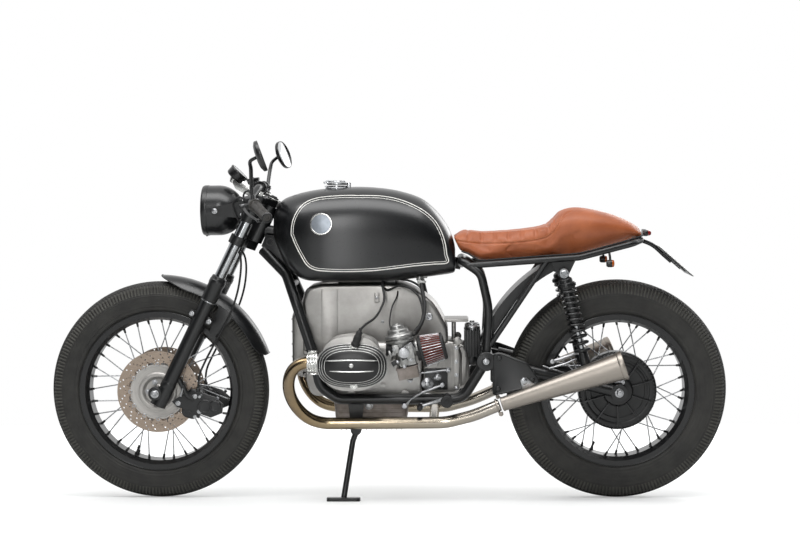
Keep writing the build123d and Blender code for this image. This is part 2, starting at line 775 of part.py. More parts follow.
with BuildPart() as oil_sump:
    with BuildSketch(Plane.XY.offset(case_bottom)):
        with Locations((50, 0)):
            Rectangle(250, 2 * sump_half)
        fillet(vertices(), 18)
    extrude(amount=-16)
    with BuildSketch(Plane.XY.offset(case_bottom - 16)):
        with Locations((50, 0)):
            Rectangle(236, 2 * sump_half - 14)
        fillet(vertices(), 18)
    extrude(amount=sump_bottom - case_bottom + 16, taper=6)
    for rib in range(11):
        with BuildSketch(Plane.XY.offset(sump_bottom)):
            with Locations((-40 + rib * 18, 0)):
                Rectangle(5, 2 * sump_half - 44)
        extrude(amount=-5)

with BuildPart() as gearbox:
    with BuildSketch(Plane.XZ.offset(76)):
        with BuildLine():
            Polyline((case_rear, 338), (-250, 338), (-266, 372), (-266, 540), (-232, 578), (-196, 578),
                     (-196, 510), (case_rear, 510), close=True)
        make_face()
    extrude(amount=-152)
    fillet(edges().filter_by(Axis.Y).group_by(Axis.X)[0], 10)

# Cylinders: a finned barrel and a larger finned head on each side, a rounded cover outside

head_start = 196.0
fin_count = 10

with BuildPart() as cylinder_barrels:
    for side in (1, -1):
        with BuildSketch(Plane.XZ.offset(-side * case_half)):
            with Locations((crank_x, crank_z)):
                Circle(barrel_radius)
        extrude(amount=-side * (head_start - case_half))
        for fin in range(fin_count):
            fin_y = case_half + 8 + fin * fin_pitch
            with BuildSketch(Plane.XZ.offset(-side * fin_y)):
                with Locations((crank_x, crank_z)):
                    Circle(fin_radius)
                with Locations((crank_x - 26, crank_z - 74), (crank_x + 26, crank_z - 74)):
                    Circle(9 + fit, mode=Mode.SUBTRACT)
            extrude(amount=-side * fin_thickness)

with BuildPart() as pushrod_tubes:
    for side in (1, -1):
        for tube_x in (-26, 26):
            rod((crank_x + tube_x, side * case_half, crank_z - 74),
                (crank_x + tube_x, side * head_start, crank_z - 74), 9)

with BuildPart() as cylinder_heads:
    for side in (1, -1):
        with BuildSketch(Plane.XZ.offset(-side * head_start)):
            with Locations((crank_x, crank_z)):
                RectangleRounded(2 * barrel_radius + 20, 2 * barrel_radius + 10, 30)
        extrude(amount=-side * (cylinder_end - head_start))
        for fin in range(fin_count + 1):
            fin_y = head_start + fin * fin_pitch
            with BuildSketch(Plane.XZ.offset(-side * fin_y)):
                with Locations((crank_x, crank_z)):
                    RectangleRounded(2 * head_fin_radius, 2 * head_fin_radius - 6, head_corner)
            extrude(amount=-side * fin_thickness)
        rod((crank_x + 50, side * 232, crank_z + 4), (crank_x + 108, side * 232, crank_z + 4), 26)
        rod((crank_x - 50, side * 216, 505), (crank_x - 112, side * 216, 505), 20)

with BuildPart() as valve_covers:
    for side in (1, -1):
        with BuildSketch(Plane.XZ.offset(-side * cylinder_end)):
            with Locations((valve_cover_x, valve_cover_z)):
                RectangleRounded(valve_cover_length, valve_cover_height, valve_cover_corner)
        extrude(amount=-side * 12)
        with BuildSketch(Plane.XZ.offset(-side * (cylinder_end + 12))):
            with Locations((valve_cover_x, valve_cover_z)):
                RectangleRounded(valve_cover_length - 8, valve_cover_height - 8, valve_cover_corner - 4)
        extrude(amount=-side * (valve_cover_depth - 16), taper=26)
        for rib_z in (17, -11):
            with BuildSketch(Plane.XZ.offset(-side * cylinder_end)):
                with Locations((valve_cover_x, valve_cover_z + rib_z)):
                    RectangleRounded(valve_cover_length - 46, 6, 2.9)
            extrude(amount=-side * valve_cover_depth)
        with BuildSketch(Plane.XZ.offset(-side * cylinder_end)):
            with Locations((valve_cover_x, valve_cover_z + 3)):
                Circle(10)
        extrude(amount=-side * valve_cover_depth)


# Carburettors and air filters

with BuildPart() as carburettors:
    for side in (1, -1):
        rod((crank_x - 112, side * 216, 505), (crank_x - 156, side * 216, 505), 26)
        rod((crank_x - 150, side * 216, 505), (crank_x - 190, side * 216, 505), 21)
        for low, high, reach in ((420, 540, 27), (536, 556, 40), (550, 582, 20)):
            rod((crank_x - 148, side * 216, low), (crank_x - 148, side * 216, high), reach)

with BuildPart() as air_filters:
    for side in (1, -1):
        rod((crank_x - 190, side * 216, 505), (crank_x - 202, side * 216, 505), 31)
        with BuildSketch(Plane((crank_x - 200, side * 216, 505), z_dir=(-1, 0, 0))):
            Circle(40)
        extrude(amount=66, taper=4)
        rod((crank_x - 264, side * 216, 505), (crank_x - 274, side * 216, 505), 36)


# Exhaust: headers joined by a balance pipe, and a megaphone silencer on each side

header_bend = Vector(-185, pipe_half, pipe_low_z)
silencer_share = 0.32
silencer_nose = header_bend + (silencer_tail - header_bend) * silencer_share

with BuildPart() as exhaust_pipes:
    tube([(crank_x + 108, 232, crank_z + 4), (298, 232, crank_z + 4), (304, 224, 372), (262, 204, 290),
          (190, 184, pipe_low_z), tuple(header_bend), tuple(silencer_nose)], [62, 90, 120, 150, 150], pipe_radius)
    mirror(about=Plane.XZ)
    peg(-150, pipe_low_z, -pipe_half, pipe_half, pipe_radius - 3)
    for side in (1, -1):
        for ring in range(4):
            rod((crank_x + 108 + ring * 9, side * 232, crank_z + 4),
                (crank_x + 113 + ring * 9, side * 232, crank_z + 4), 38 - ring * 2)
        rod((crank_x + 108, side * 232, crank_z + 4), (crank_x + 140, side * 232, crank_z + 4), 27)

with BuildPart() as silencers:
    for side in (1, -1):
        nose = Vector(silencer_nose.X, side * silencer_nose.Y, silencer_nose.Z)
        tail = Vector(silencer_tail.X, side * silencer_tail.Y, silencer_tail.Z)
        length = (tail - nose).length
        with BuildSketch(Plane(nose, z_dir=tail - nose)):
            Circle(silencer_front_radius)
        with BuildSketch(Plane(tail, z_dir=tail - nose)):
            Circle(silencer_rear_radius)
        loft()
        with BuildSketch(Plane(tail, z_dir=nose - tail)):
            Circle(silencer_rear_radius + 3)
        extrude(amount=14)
        with BuildSketch(Plane(tail, z_dir=nose - tail)):
            Circle(silencer_rear_radius - 14)
        extrude(amount=60, mode=Mode.SUBTRACT)


# Fuel tank: a lofted body hollowed below for the backbone

tank_stations = [
    # x, bottom, top, half width, corner
    (-220, 734, 800, 84, 26),
    (-184, 722, 893, 108, 48),
    (-112, 714, 964, 128, 64),
    (10, 703, 996, 143, 74),
    (150, 703, 999, 150, 78),
    (262, 712, 986, 144, 76),
    (326, 768, 966, 92, 64),
    (360, 836, 916, 42, 32),
]
cap_x = 157.0
cap_seat = 1006.0
cap_radius = 33.0
lid_height = 9.0
lid_pin_x = cap_x - 38
lid_pin_z = cap_seat + 5
lid_pin_radius = 2.0
lid_knuckle_half = 9.0
lid_ear_thickness = 5.0

with BuildPart() as fuel_tank:
    for station_x, bottom, top, half, corner in tank_stations:
        with BuildSketch(Plane((station_x, 0, (bottom + top) / 2), x_dir=(0, 1, 0), z_dir=(1, 0, 0))):
            RectangleRounded(2 * half, top - bottom, min(corner, (top - bottom) / 2 - 1))
    loft()
    with BuildSketch(Plane(backbone_rear, x_dir=(0, 1, 0), z_dir=backbone_front - backbone_rear)):
        Rectangle(2 * tunnel_half, 2 * tunnel_half)
        with Locations((0, -60)):
            Rectangle(2 * tunnel_half, 120)
    extrude(amount=800, both=True, mode=Mode.SUBTRACT)
    with BuildSketch(steer_plane(0, 0, head_tube_low - 40)):
        Circle(head_tube_radius + head_recess)
    extrude(amount=head_tube_high - head_tube_low + 80, mode=Mode.SUBTRACT)
    with BuildSketch(Plane.XY.offset(cap_seat)):
        with Locations((cap_x, 0)):
            Circle(cap_radius + 2)
    extrude(amount=-20)
    ear_inner = lid_knuckle_half + fit
    ear_outer = ear_inner + lid_ear_thickness
    for side in (1, -1):
        plate([(lid_pin_x - 6, cap_seat - 20), (lid_pin_x + 10, cap_seat - 20), (lid_pin_x + 10, cap_seat - 2),
               (lid_pin_x + 4, cap_seat - 2), (lid_pin_x + 4, lid_pin_z + 4), (lid_pin_x - 5, lid_pin_z + 4)],
              side * ear_inner, side * ear_outer)
    bore(lid_pin_x, lid_pin_z, -ear_outer, ear_outer, lid_pin_radius + fit)

with BuildPart() as filler_cap:
    with BuildSketch(Plane.XY.offset(cap_seat + fit)):
        with Locations((cap_x, 0)):
            Circle(cap_radius)
    extrude(amount=lid_height)
    with BuildSketch(Plane.XY.offset(cap_seat + lid_height)):
        with Locations((cap_x, 0)):
            Circle(cap_radius - 9)
    extrude(amount=5)
    peg(lid_pin_x, lid_pin_z, -lid_knuckle_half, lid_knuckle_half, 4)
    peg(lid_pin_x, lid_pin_z, -ear_outer, ear_outer, lid_pin_radius)
    plate([(lid_pin_x, lid_pin_z - 3), (lid_pin_x, lid_pin_z + 3), (lid_pin_x + 18, lid_pin_z + 3),
           (lid_pin_x + 18, lid_pin_z - 3)], -lid_knuckle_half, lid_knuckle_half)


# Seat: one soft body with a raised tail, resting on the seat rail

seat_half = 116.0
seat_rest = rail_radius + 0.8
seat_tail_x = rail_end[0] - 11

with BuildPart() as seat:
    with BuildSketch(Plane.XZ.offset(seat_half)):
        with BuildLine():
            Polyline((-213, 852), (-250, 856), (-300, 849), (-383, 852), (-478, 862), (-526, 880),
                     (-552, 912), (-600, 931), (-661, 926), (-716, 914), (-772, 890), (-806, 860), (seat_tail_x, 842),
                     (rail_end[0], rail_end[2] + seat_rest), (rail_corner[0], rail_corner[2] + seat_rest),
                     (rail_bend[0], rail_bend[2] + seat_rest), (-292, 766), (-266, 786), (-236, 798),
                     close=True)
        make_face()
    extrude(amount=-2 * seat_half)
    with BuildSketch(Plane.XY.offset(700)):
        with BuildLine():
            Polyline((-180, seat_half - 18), (-230, seat_half), (-640, seat_half), (-760, seat_half - 26),
                     (-822, 50), (-822, -50), (-760, -seat_half + 26), (-640, -seat_half), (-230, -seat_half),
                     (-180, -seat_half + 18), close=True)
        make_face()
    extrude(amount=300, mode=Mode.INTERSECT)


# Swinging arm with the shock pins, and the rear axle

arm_half = 100.0
arm_radius = 19.0
shaft_radius = 29.0

arm_side = arm_half - 6
arm_slope = (pivot_z - axle_z) / (pivot_x - rear_x)
arm_start_x = pivot_x - 38
arm_start_z = pivot_z - 38 * arm_slope
shaft_reach = 80.0
shaft_end_x = rear_x + shaft_reach
shaft_end_z = axle_z + shaft_reach * arm_slope
arm_pin_z = pivot_z + (shock_low_x - pivot_x) * arm_slope

with BuildPart() as swingarm:
    peg(pivot_x, pivot_z, -pivot_inner + fit, pivot_inner - fit, 24)
    for side in (1, -1):
        plate([(pivot_x + 8, pivot_z - 22), (pivot_x + 8, pivot_z + 22), (arm_start_x - 12, arm_start_z + 19),
               (arm_start_x - 12, arm_start_z - 19)], side * 87 - 16, side * 87 + 16)
        plate([(shock_low_x - 16, arm_pin_z - 4), (shock_low_x + 24, arm_pin_z + 4),
               (shock_low_x + 11, shock_low_z + 12), (shock_low_x - 11, shock_low_z + 12)],
              side * 108 - 5, side * 108 + 5)
    rod((arm_start_x, arm_side, arm_start_z), (rear_x, arm_side, axle_z), arm_radius)
    rod((arm_start_x, -arm_side, arm_start_z), (shaft_end_x, -arm_side, shaft_end_z), shaft_radius)
    peg(rear_x, axle_z, arm_side - 20, arm_side + 20, 26)
    peg(shock_low_x, shock_low_z, 108, shock_half + 20, shock_pin_radius)
    peg(shock_low_x, shock_low_z, -shock_half - 20, -108, shock_pin_radius)
    bore(rear_x, axle_z, 40, 140, axle_radius + fit)

with BuildPart() as final_drive:
    with BuildSketch(across(rear_x, -126, axle_z)):
        Circle(78)
    extrude(amount=126 - rear_flange_offset - 14)
    with BuildSketch(across(rear_x, -126, axle_z)):
        Circle(58)
    extrude(amount=-10)
    rod((rear_x + 36, -arm_side, axle_z + 36 * arm_slope), (shaft_end_x, -arm_side, shaft_end_z), 34)
    bore(rear_x, axle_z, -140, 0, axle_radius + fit)

with BuildPart() as shaft_boot:
    rod((-266, -68, pivot_z), (pivot_x, -68, pivot_z), 29)
    bore(pivot_x, pivot_z, -110, 0, 24)
    with BuildSketch(Plane.YZ.offset(pivot_x)):
        Rectangle(400, 2000)
    extrude(amount=-60, mode=Mode.SUBTRACT)

with BuildPart() as rear_axle:
    peg(rear_x, axle_z, -144, arm_half + 34, axle_radius)
    peg(rear_x, axle_z, arm_side + 20, arm_side + 32, 15)
    peg(rear_x, axle_z, -142, -136, 15)


# Shock absorbers: an eye at each end, a damper, and a spring shown as rings

with BuildPart() as shock_absorbers:
    for side in (1, -1):
        top = Vector(shock_top_x, side * shock_half, shock_top_z)
        low = Vector(shock_low_x, side * shock_half, shock_low_z)
        way = (low - top).normalized()
        length = (low - top).length
        rod(tuple(top + way * 22), tuple(top + way * 60), 20)
        rod(tuple(top + way * 10), tuple(top + way * 30), 11)
        rod(tuple(top + way * 50), tuple(top + way * (length - 60)), 17)
        rod(tuple(top + way * 60), tuple(low - way * 10), 10)
        rod(tuple(low - way * 62), tuple(low - way * 50), 27)
        rod(tuple(top + way * 34), tuple(top + way * 42), 28)
        for ring in range(13):
            centre = top + way * (50 + ring * 16.5)
            with BuildSketch(Plane(centre, z_dir=way)):
                Circle(26)
            extrude(amount=7)
        for eye in (top, low):
            peg(eye.X, eye.Z, eye.Y - 14, eye.Y + 14, 15)
            bore(eye.X, eye.Z, eye.Y - 30, eye.Y + 30, shock_pin_radius + fit)


# Rear mudguard: a channel ahead of the wheel, held below the bridge of the seat rail

rear_guard_lip = rear_guard_radius - 30
rear_guard_inside = rear_guard_radius - sheet_thickness
rear_guard_wall = rear_guard_half - sheet_thickness

with BuildPart() as rear_mudguard:
    with BuildSketch(radial(rear_x, 70)):
        with BuildLine():
            Polyline((-rear_guard_half, rear_guard_lip), (-rear_guard_wall, rear_guard_lip),
                     (-rear_guard_wall, rear_guard_inside), (rear_guard_wall, rear_guard_inside),
                     (rear_guard_wall, rear_guard_lip), (rear_guard_half, rear_guard_lip),
                     (rear_guard_half, rear_guard_radius), (-rear_guard_half, rear_guard_radius), close=True)
        make_face()
    revolve(axis=Axis((rear_x, 0, axle_z), (0, 1, 0)), revolution_arc=-46)


# Number plate on its bracket, and the lamps of the tail

plate_centre = Vector(-912, 0, 761)
plate_turn = radians(41.3)
plate_normal = Vector(-sin(plate_turn), 0, cos(plate_turn))
plate_up = Vector(cos(plate_turn), 0, sin(plate_turn))
plate_thickness = 2.5
plate_height = 144.0
plate_arm_radius = 7.0
plate_arm_low = plate_centre - plate_normal * (plate_arm_radius - plate_thickness / 3)
plate_arm_high = plate_arm_low + plate_up * (plate_height / 2 + 7)

with BuildPart() as number_plate:
    with BuildSketch(Plane(plate_centre, x_dir=(0, 1, 0), z_dir=plate_normal)):
        RectangleRounded(200, plate_height, 8)
    extrude(amount=plate_thickness)
    tube([Vector(rail_end[0], 0, rail_end[2]), plate_arm_high, plate_arm_low], [24], plate_arm_radius)
    add(frame_seat_rail.part, mode=Mode.SUBTRACT)

with BuildPart() as rear_lamps:
    for side in (1, -1):
        rod((-700, side * 110, 798), (-703, side * 122, 766), 4)
        rod((-690, side * 122, 758), (-716, side * 122, 758), 12)
    add(frame_seat_rail.part, mode=Mode.SUBTRACT)
    with BuildSketch(Plane((seat_tail_x - seat_gap, 0, 849), x_dir=(0, 1, 0), z_dir=(-1, 0, 0))):
        RectangleRounded(92, 22, 10)
    extrude(amount=22)


# Foot controls: rests, gear lever and brake pedal

rest_length = 94.0
rest_x = -192.0
rest_z = 342.0
toe_x = -108.0
toe_z = 316.0

with BuildPart() as foot_controls:
    for side in (1, -1):
        rest_start = side * (cradle_half + cradle_radius + fit)
        with BuildSketch(across(rest_x, rest_start, rest_z)):
            Circle(14)
        extrude(amount=side * 14)
        with BuildSketch(across(rest_x, rest_start + side * 14, rest_z)):
            Circle(13)
        extrude(amount=side * rest_length)
        rod((rest_x, rest_start + side * 5, rest_z), (toe_x, rest_start + side * 20, toe_z), 6)
        rod((toe_x, rest_start + side * 14, toe_z), (toe_x, rest_start + side * 66, toe_z), 9)


# Brake calipers and the hoses down to them

caliper_angle = 198.0
caliper_reach = 122.0
slot_half = disc_thickness / 2 + 5.5
caliper_block = (84, 96)
caliper_inner = disc_offset - slot_half - 7
caliper_outer = disc_offset + slot_half + 9

splitter = steer_point(30, 15, -64)
hose_route = [(splitter.X, splitter.Y + 1.3, splitter.Z), (467, 38, 804), (461, 60, 776), (462, 76, 728),
              (471, 84, 672), (488, 88, 618), (514, 87, 562), (549, 84, 500), (581, 81, 440), (599, 77.5, 396),
              (601, 76.5, 367)]
hose_radius = 3.2
hose_end = hose_route[-1]


def easy_bends(points):
    """Radius of each bend of a hose, as large as its two runs allow."""
    spots = [Vector(*point) for point in points]
    bends = []
    for before, here, after in zip(spots, spots[1:], spots[2:]):
        turn = radians((here - before).get_angle(after - here))
        shorter = min((here - before).length, (after - here).length)
        bends.append(0.45 * shorter / tan(turn / 2))
    return bends


with BuildPart() as brake_hoses:
    tube(hose_route, easy_bends(hose_route), hose_radius)
    mirror(about=Plane.XZ)

with BuildPart() as brake_calipers:
    centre_x = front_x + caliper_reach * cos(radians(caliper_angle))
    centre_z = axle_z + caliper_reach * sin(radians(caliper_angle))
    for side in (1, -1):
        with BuildSketch(across(centre_x, side * caliper_inner, centre_z)):
            RectangleRounded(*caliper_block, 16, rotation=caliper_angle - 180)
        extrude(amount=side * (caliper_outer - caliper_inner))
        with BuildSketch(across(front_x, side * (disc_offset - slot_half), axle_z)):
            Circle(disc_radius + 6)
        extrude(amount=side * 2 * slot_half, mode=Mode.SUBTRACT)
        rod((centre_x + 10, side * (caliper_outer + 1), centre_z + 24),
            (front_x - 50, side * (caliper_outer + 4), axle_z + 36), 7)
        rod((hose_end[0], side * hose_end[1] + side * 2, hose_end[2] - 16),
            (hose_end[0], side * hose_end[1] + side * 2, hose_end[2] - 0.8), 6)
    add(fork_sliders.part, mode=Mode.SUBTRACT)


# Side plates, bolted outside the pivot of the swinging arm

side_plate_thickness = 6.0
side_plate_inner = pivot_outer + 3

with BuildPart() as side_plates:
    for side in (1, -1):
        plate([(pivot_x - 20, 476), (pivot_x - 44, 482), (pivot_x - 128, 452), (pivot_x - 166, 398),
               (pivot_x - 160, 386), (pivot_x - 112, 366), (pivot_x - 20, 350)],
              side * side_plate_inner, side * (side_plate_inner + side_plate_thickness))
        peg(pivot_x, pivot_z, side * (pivot_outer + seat_gap), side * (side_plate_inner + side_plate_thickness), 30)


# Side stand: an eye on the pin, a leg, and a flat foot lying on the ground of the leaning machine

lean = radians(lean_angle)
rear_shoulder_half = tyre_shoulder_share * rear_tyre_half
rear_crown = (crown_height ** 2 + rear_shoulder_half ** 2) / (2 * crown_height)
ground_low = (axle_z - tyre_radius + rear_crown) * cos(lean) - rear_crown
foot_z = (stand_foot_y * sin(lean) + ground_low) / cos(lean)
foot_plane = Plane((stand_foot_x, stand_foot_y, foot_z), x_dir=(1, 0, 0), z_dir=(0, -sin(lean), cos(lean)))

with BuildPart() as side_stand:
    with BuildSketch(foot_plane):
        RectangleRounded(foot_length, foot_width, 10)
    extrude(amount=foot_thickness)
    eye_outer = stand_inner + 15
    peg(stand_x, stand_z, stand_inner + 0.6, eye_outer, 17)
    knee = (stand_x + 10, stand_inner + 14, stand_z - 34)
    ankle = (stand_foot_x, stand_foot_y - 3, foot_z + 5)
    tube([(stand_x + 2, stand_inner + 11, stand_z - 13), knee, ankle], [20], stand_leg_radius)
    bore(stand_x, stand_z, stand_inner - 4, stand_inner + 30, stand_pin_radius + fit)
    with BuildSketch(foot_plane):
        Rectangle(400, 400)
    extrude(amount=-60, mode=Mode.SUBTRACT)


# Parking: lean the machine to the left, then set it on the ground with its middle over the origin

frame_pieces = {
    "frame_backbone": frame_backbone, "frame_downtubes": frame_downtubes,
    "frame_lower_rails": frame_lower_rails, "frame_rear_tubes": frame_rear_tubes,
    "frame_seat_rail": frame_seat_rail, "frame_stays": frame_stays,
    "engine_case": engine_case, "engine_top_cover": engine_top_cover, "oil_sump": oil_sump,
    "gearbox": gearbox, "cylinder_barrels": cylinder_barrels, "pushrod_tubes": pushrod_tubes,
    "cylinder_heads": cylinder_heads, "valve_covers": valve_covers, "carburettors": carburettors,
    "air_filters": air_filters, "exhaust_pipes": exhaust_pipes, "silencers": silencers,
    "fuel_tank": fuel_tank, "seat": seat, "swingarm": swingarm, "final_drive": final_drive,
    "shaft_boot": shaft_boot, "rear_axle": rear_axle, "shock_absorbers": shock_absorbers,
    "rear_mudguard": rear_mudguard, "number_plate": number_plate, "rear_lamps": rear_lamps,
    "foot_controls": foot_controls, "side_plates": side_plates,
}
steering_pieces = {
    "lower_yoke": lower_yoke, "upper_yoke": upper_yoke, "fork_stanchions": fork_stanchions,
    "fork_sliders": fork_sliders, "front_axle": front_axle, "front_mudguard": front_mudguard,
    "headlight_shell": headlight_shell, "headlight_rim": headlight_rim, "headlight_lens": headlight_lens,
    "headlight_ears": headlight_ears, "handlebar": handlebar, "grips": grips,
    "control_levers": control_levers, "mirrors": mirrors, "instrument": instrument,
    "brake_calipers": brake_calipers, "brake_hoses": brake_hoses,
}
front_wheel_pieces = {
    "front_tyre": front_tyre, "front_rim": front_rim, "front_spokes": front_spokes,
    "front_hub": front_hub, "brake_discs": brake_discs,
}
rear_wheel_pieces = {
    "rear_tyre": rear_tyre, "rear_rim": rear_rim, "rear_spokes": rear_spokes, "rear_hub": rear_hub,
}
stand_pieces = {"side_stand": side_stand}
lid_pieces = {"filler_cap": filler_cap}
body_pieces = {
    "frame": frame_pieces, "steering": steering_pieces, "front_wheel": front_wheel_pieces,
    "rear_wheel": rear_wheel_pieces, "stand": stand_pieces, "lid": lid_pieces,
}

leaning = Location((0, 0, 0), (-lean_angle, 0, 0))
every_piece = [piece for pieces in body_pieces.values() for piece in pieces.values()]
spread = Compound([leaning * piece.part for piece in every_piece]).bounding_box()
parked = Location((-spread.center().X, -spread.center().Y, -spread.min.Z)) * leaning

os.makedirs("parts", exist_ok=True)
for pieces in body_pieces.values():
    for name, piece in pieces.items():
        piece.part = parked * piece.part
        piece.part.label = name
        export_step(piece.part, f"parts/{name}.step")
print("Bend radii of the brake hoses:", [round(bend) for bend in easy_bends(hose_route)])
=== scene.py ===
"""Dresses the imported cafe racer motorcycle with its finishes, fine pieces, light and camera."""
import json
import logging
from collections.abc import Iterable, Sequence
from dataclasses import dataclass, field
from enum import Enum
from math import acos, atan2, cos, hypot, pi, radians, sin, sqrt, tan

import bmesh
import bpy
from mathutils import Euler, Matrix, Vector
from mathutils.bvhtree import BVHTree
from mathutils.geometry import tessellate_polygon


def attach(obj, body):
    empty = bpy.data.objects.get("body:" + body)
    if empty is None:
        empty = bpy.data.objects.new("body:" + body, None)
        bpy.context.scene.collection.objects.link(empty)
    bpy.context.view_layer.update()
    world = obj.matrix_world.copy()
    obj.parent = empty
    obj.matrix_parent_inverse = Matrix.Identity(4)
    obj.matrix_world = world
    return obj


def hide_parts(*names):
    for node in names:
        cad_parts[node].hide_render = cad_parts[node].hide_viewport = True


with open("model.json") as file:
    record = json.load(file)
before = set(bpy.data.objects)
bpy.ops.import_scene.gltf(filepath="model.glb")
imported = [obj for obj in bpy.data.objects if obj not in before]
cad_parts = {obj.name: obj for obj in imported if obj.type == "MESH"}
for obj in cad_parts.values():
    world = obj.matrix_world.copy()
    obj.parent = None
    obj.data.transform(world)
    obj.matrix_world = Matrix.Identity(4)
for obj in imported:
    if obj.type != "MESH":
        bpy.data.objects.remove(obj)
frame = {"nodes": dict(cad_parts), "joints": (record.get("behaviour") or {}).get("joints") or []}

LOG = logging.getLogger("cafe_racer")
MM = 0.001
SIDES = (1, -1)
Point = Vector | tuple[float, float, float]

# Sizes shared with the solid model, in millimetres of the upright machine:
# X points forward, Y to the rider's left, Z up, with the axles at AXLE_Z.
FRONT_X, REAR_X, AXLE_Z, TYRE_R = 732.5, -732.5, 350.0, 350.0
RAKE = radians(26.2)
HEAD = Vector((414.8, 0.0, 855.0))
STEER_UP = Vector((-sin(RAKE), 0.0, cos(RAKE)))
STEER_AHEAD = Vector((cos(RAKE), 0.0, sin(RAKE)))
FORK_LEAD, FORK_HALF = 38.0, 95.0
# Turn whose X, Y and Z run ahead of, beside and along the steering axis
STEER_TURN = Matrix((STEER_AHEAD, Vector((0, 1, 0)), STEER_UP)).transposed()


def parked_matrix() -> Matrix:
    """Finds the move from millimetres of the upright machine to metres of the parked one.

    Returns:
        The matrix that leans the machine about the ground and shifts it to its place.
    """
    spin = next(joint for joint in frame["joints"] if joint["name"] == "front_wheel_spin")
    lean = Matrix.Rotation(atan2(spin["axis"][2], spin["axis"][1]), 4, "X") @ Matrix.Scale(MM, 4)
    return Matrix.Translation(Vector(spin["pos_m"]) - lean @ Vector((FRONT_X, 0, AXLE_Z))) @ lean


PARKED = parked_matrix()


def beside(reach: float) -> Vector:
    """Gives a move across the machine, towards the rider's left."""
    return Vector((0, reach, 0))


def steer_point(ahead: float, side: float, up: float) -> Vector:
    """Gives the point ahead of, beside and along the steering axis."""
    return HEAD + STEER_AHEAD * ahead + beside(side) + STEER_UP * up


def flip(point: Point, side: int) -> Vector:
    """Gives a point of the left side, or its mirror image on the right when side is -1."""
    return Vector((point[0], point[1] * side, point[2]))


def basis(way: Point, hint: Point = (0, 0, 1)) -> Matrix:
    """Makes a turn whose Z runs along a direction.

    Args:
        way: Direction of the new Z.
        hint: Direction that the new Y leans towards.

    Returns:
        A turn as a 3 by 3 matrix with the new X, Y and Z as columns.
    """
    z = Vector(way).normalized()
    hint = Vector(hint)
    if abs(z.dot(hint.normalized())) > 0.98:
        hint = Vector((1, 0, 0))
    x = hint.cross(z).normalized()
    return Matrix((x, z.cross(x), z)).transposed()


def smooth_line(points: Sequence[Point], steps: int = 6) -> list[Vector]:
    """Draws a smooth curve through points.

    Args:
        points: Places that the curve passes through.
        steps: How many points each span gets.

    Returns:
        The points of the curve.
    """
    spots = [Vector(point) for point in points]
    spots = [spots[0] * 2 - spots[1]] + spots + [spots[-1] * 2 - spots[-2]]
    line = []
    for before, start, end, after in zip(spots, spots[1:], spots[2:], spots[3:]):
        bend = 2 * before - 5 * start + 4 * end - after
        twist = 3 * start - before - 3 * end + after
        for step in range(steps):
            t = step / steps
            line.append(0.5 * (2 * start + (end - before) * t + bend * t ** 2 + twist * t ** 3))
    return line + [spots[-2]]


def rounded_box(half_long: float, half_wide: float, corner: float,
                steps: int = 6) -> list[tuple[float, float]]:
    """Gives a rectangle with round corners about the origin.

    Args:
        half_long: Half its size along the first coordinate.
        half_wide: Half its size along the second coordinate.
        corner: Radius of the corners.
        steps: How many spans each corner gets.

    Returns:
        The outline, counterclockwise.
    """
    spots = []
    for along, across, first in ((1, 1, 0), (-1, 1, 90), (-1, -1, 180), (1, -1, 270)):
        for step in range(steps + 1):
            turn = radians(first + step * 90 / steps)
            spots.append((along * (half_long - corner) + corner * cos(turn),
                          across * (half_wide - corner) + corner * sin(turn)))
    return spots


# Objects and meshes of the scene

def placed(name: str, data: bpy.types.ID | None) -> bpy.types.Object:
    """Makes an object of data and puts it in the scene."""
    made = bpy.data.objects.new(name, data)
    bpy.context.collection.objects.link(made)
    return made


def evaluated(holder: bpy.types.Object) -> bpy.types.Mesh:
    """Gives the plain mesh of an object as its modifiers leave it."""
    return bpy.data.meshes.new_from_object(holder.evaluated_get(bpy.context.evaluated_depsgraph_get()))


# Materials

def linear(code: str) -> tuple[float, float, float, float]:
    """Turns an sRGB hex colour such as "#9A5A33" into linear red, green, blue and alpha."""
    parts = [int(code[at:at + 2], 16) / 255 for at in (1, 3, 5)]
    return (*(part / 12.92 if part <= 0.04045 else ((part + 0.055) / 1.055) ** 2.4 for part in parts), 1.0)


def add(tree: bpy.types.NodeTree, kind: str, settings: dict | None = None,
        links: dict | None = None) -> bpy.types.Node:
    """Adds a node to a tree.

    Args:
        tree: The tree to add to.
        kind: Type name of the node.
        settings: Attribute names with their values, or input names and numbers with their defaults.
        links: Input names or numbers with the sockets that feed them.

    Returns:
        The new node.
    """
    made = tree.nodes.new(kind)
    for name, value in (settings or {}).items():
        if isinstance(name, str) and hasattr(made, name):
            setattr(made, name, value)
        else:
            made.inputs[name].default_value = value
    for name, source in (links or {}).items():
        tree.links.new(source, made.inputs[name])
    return made


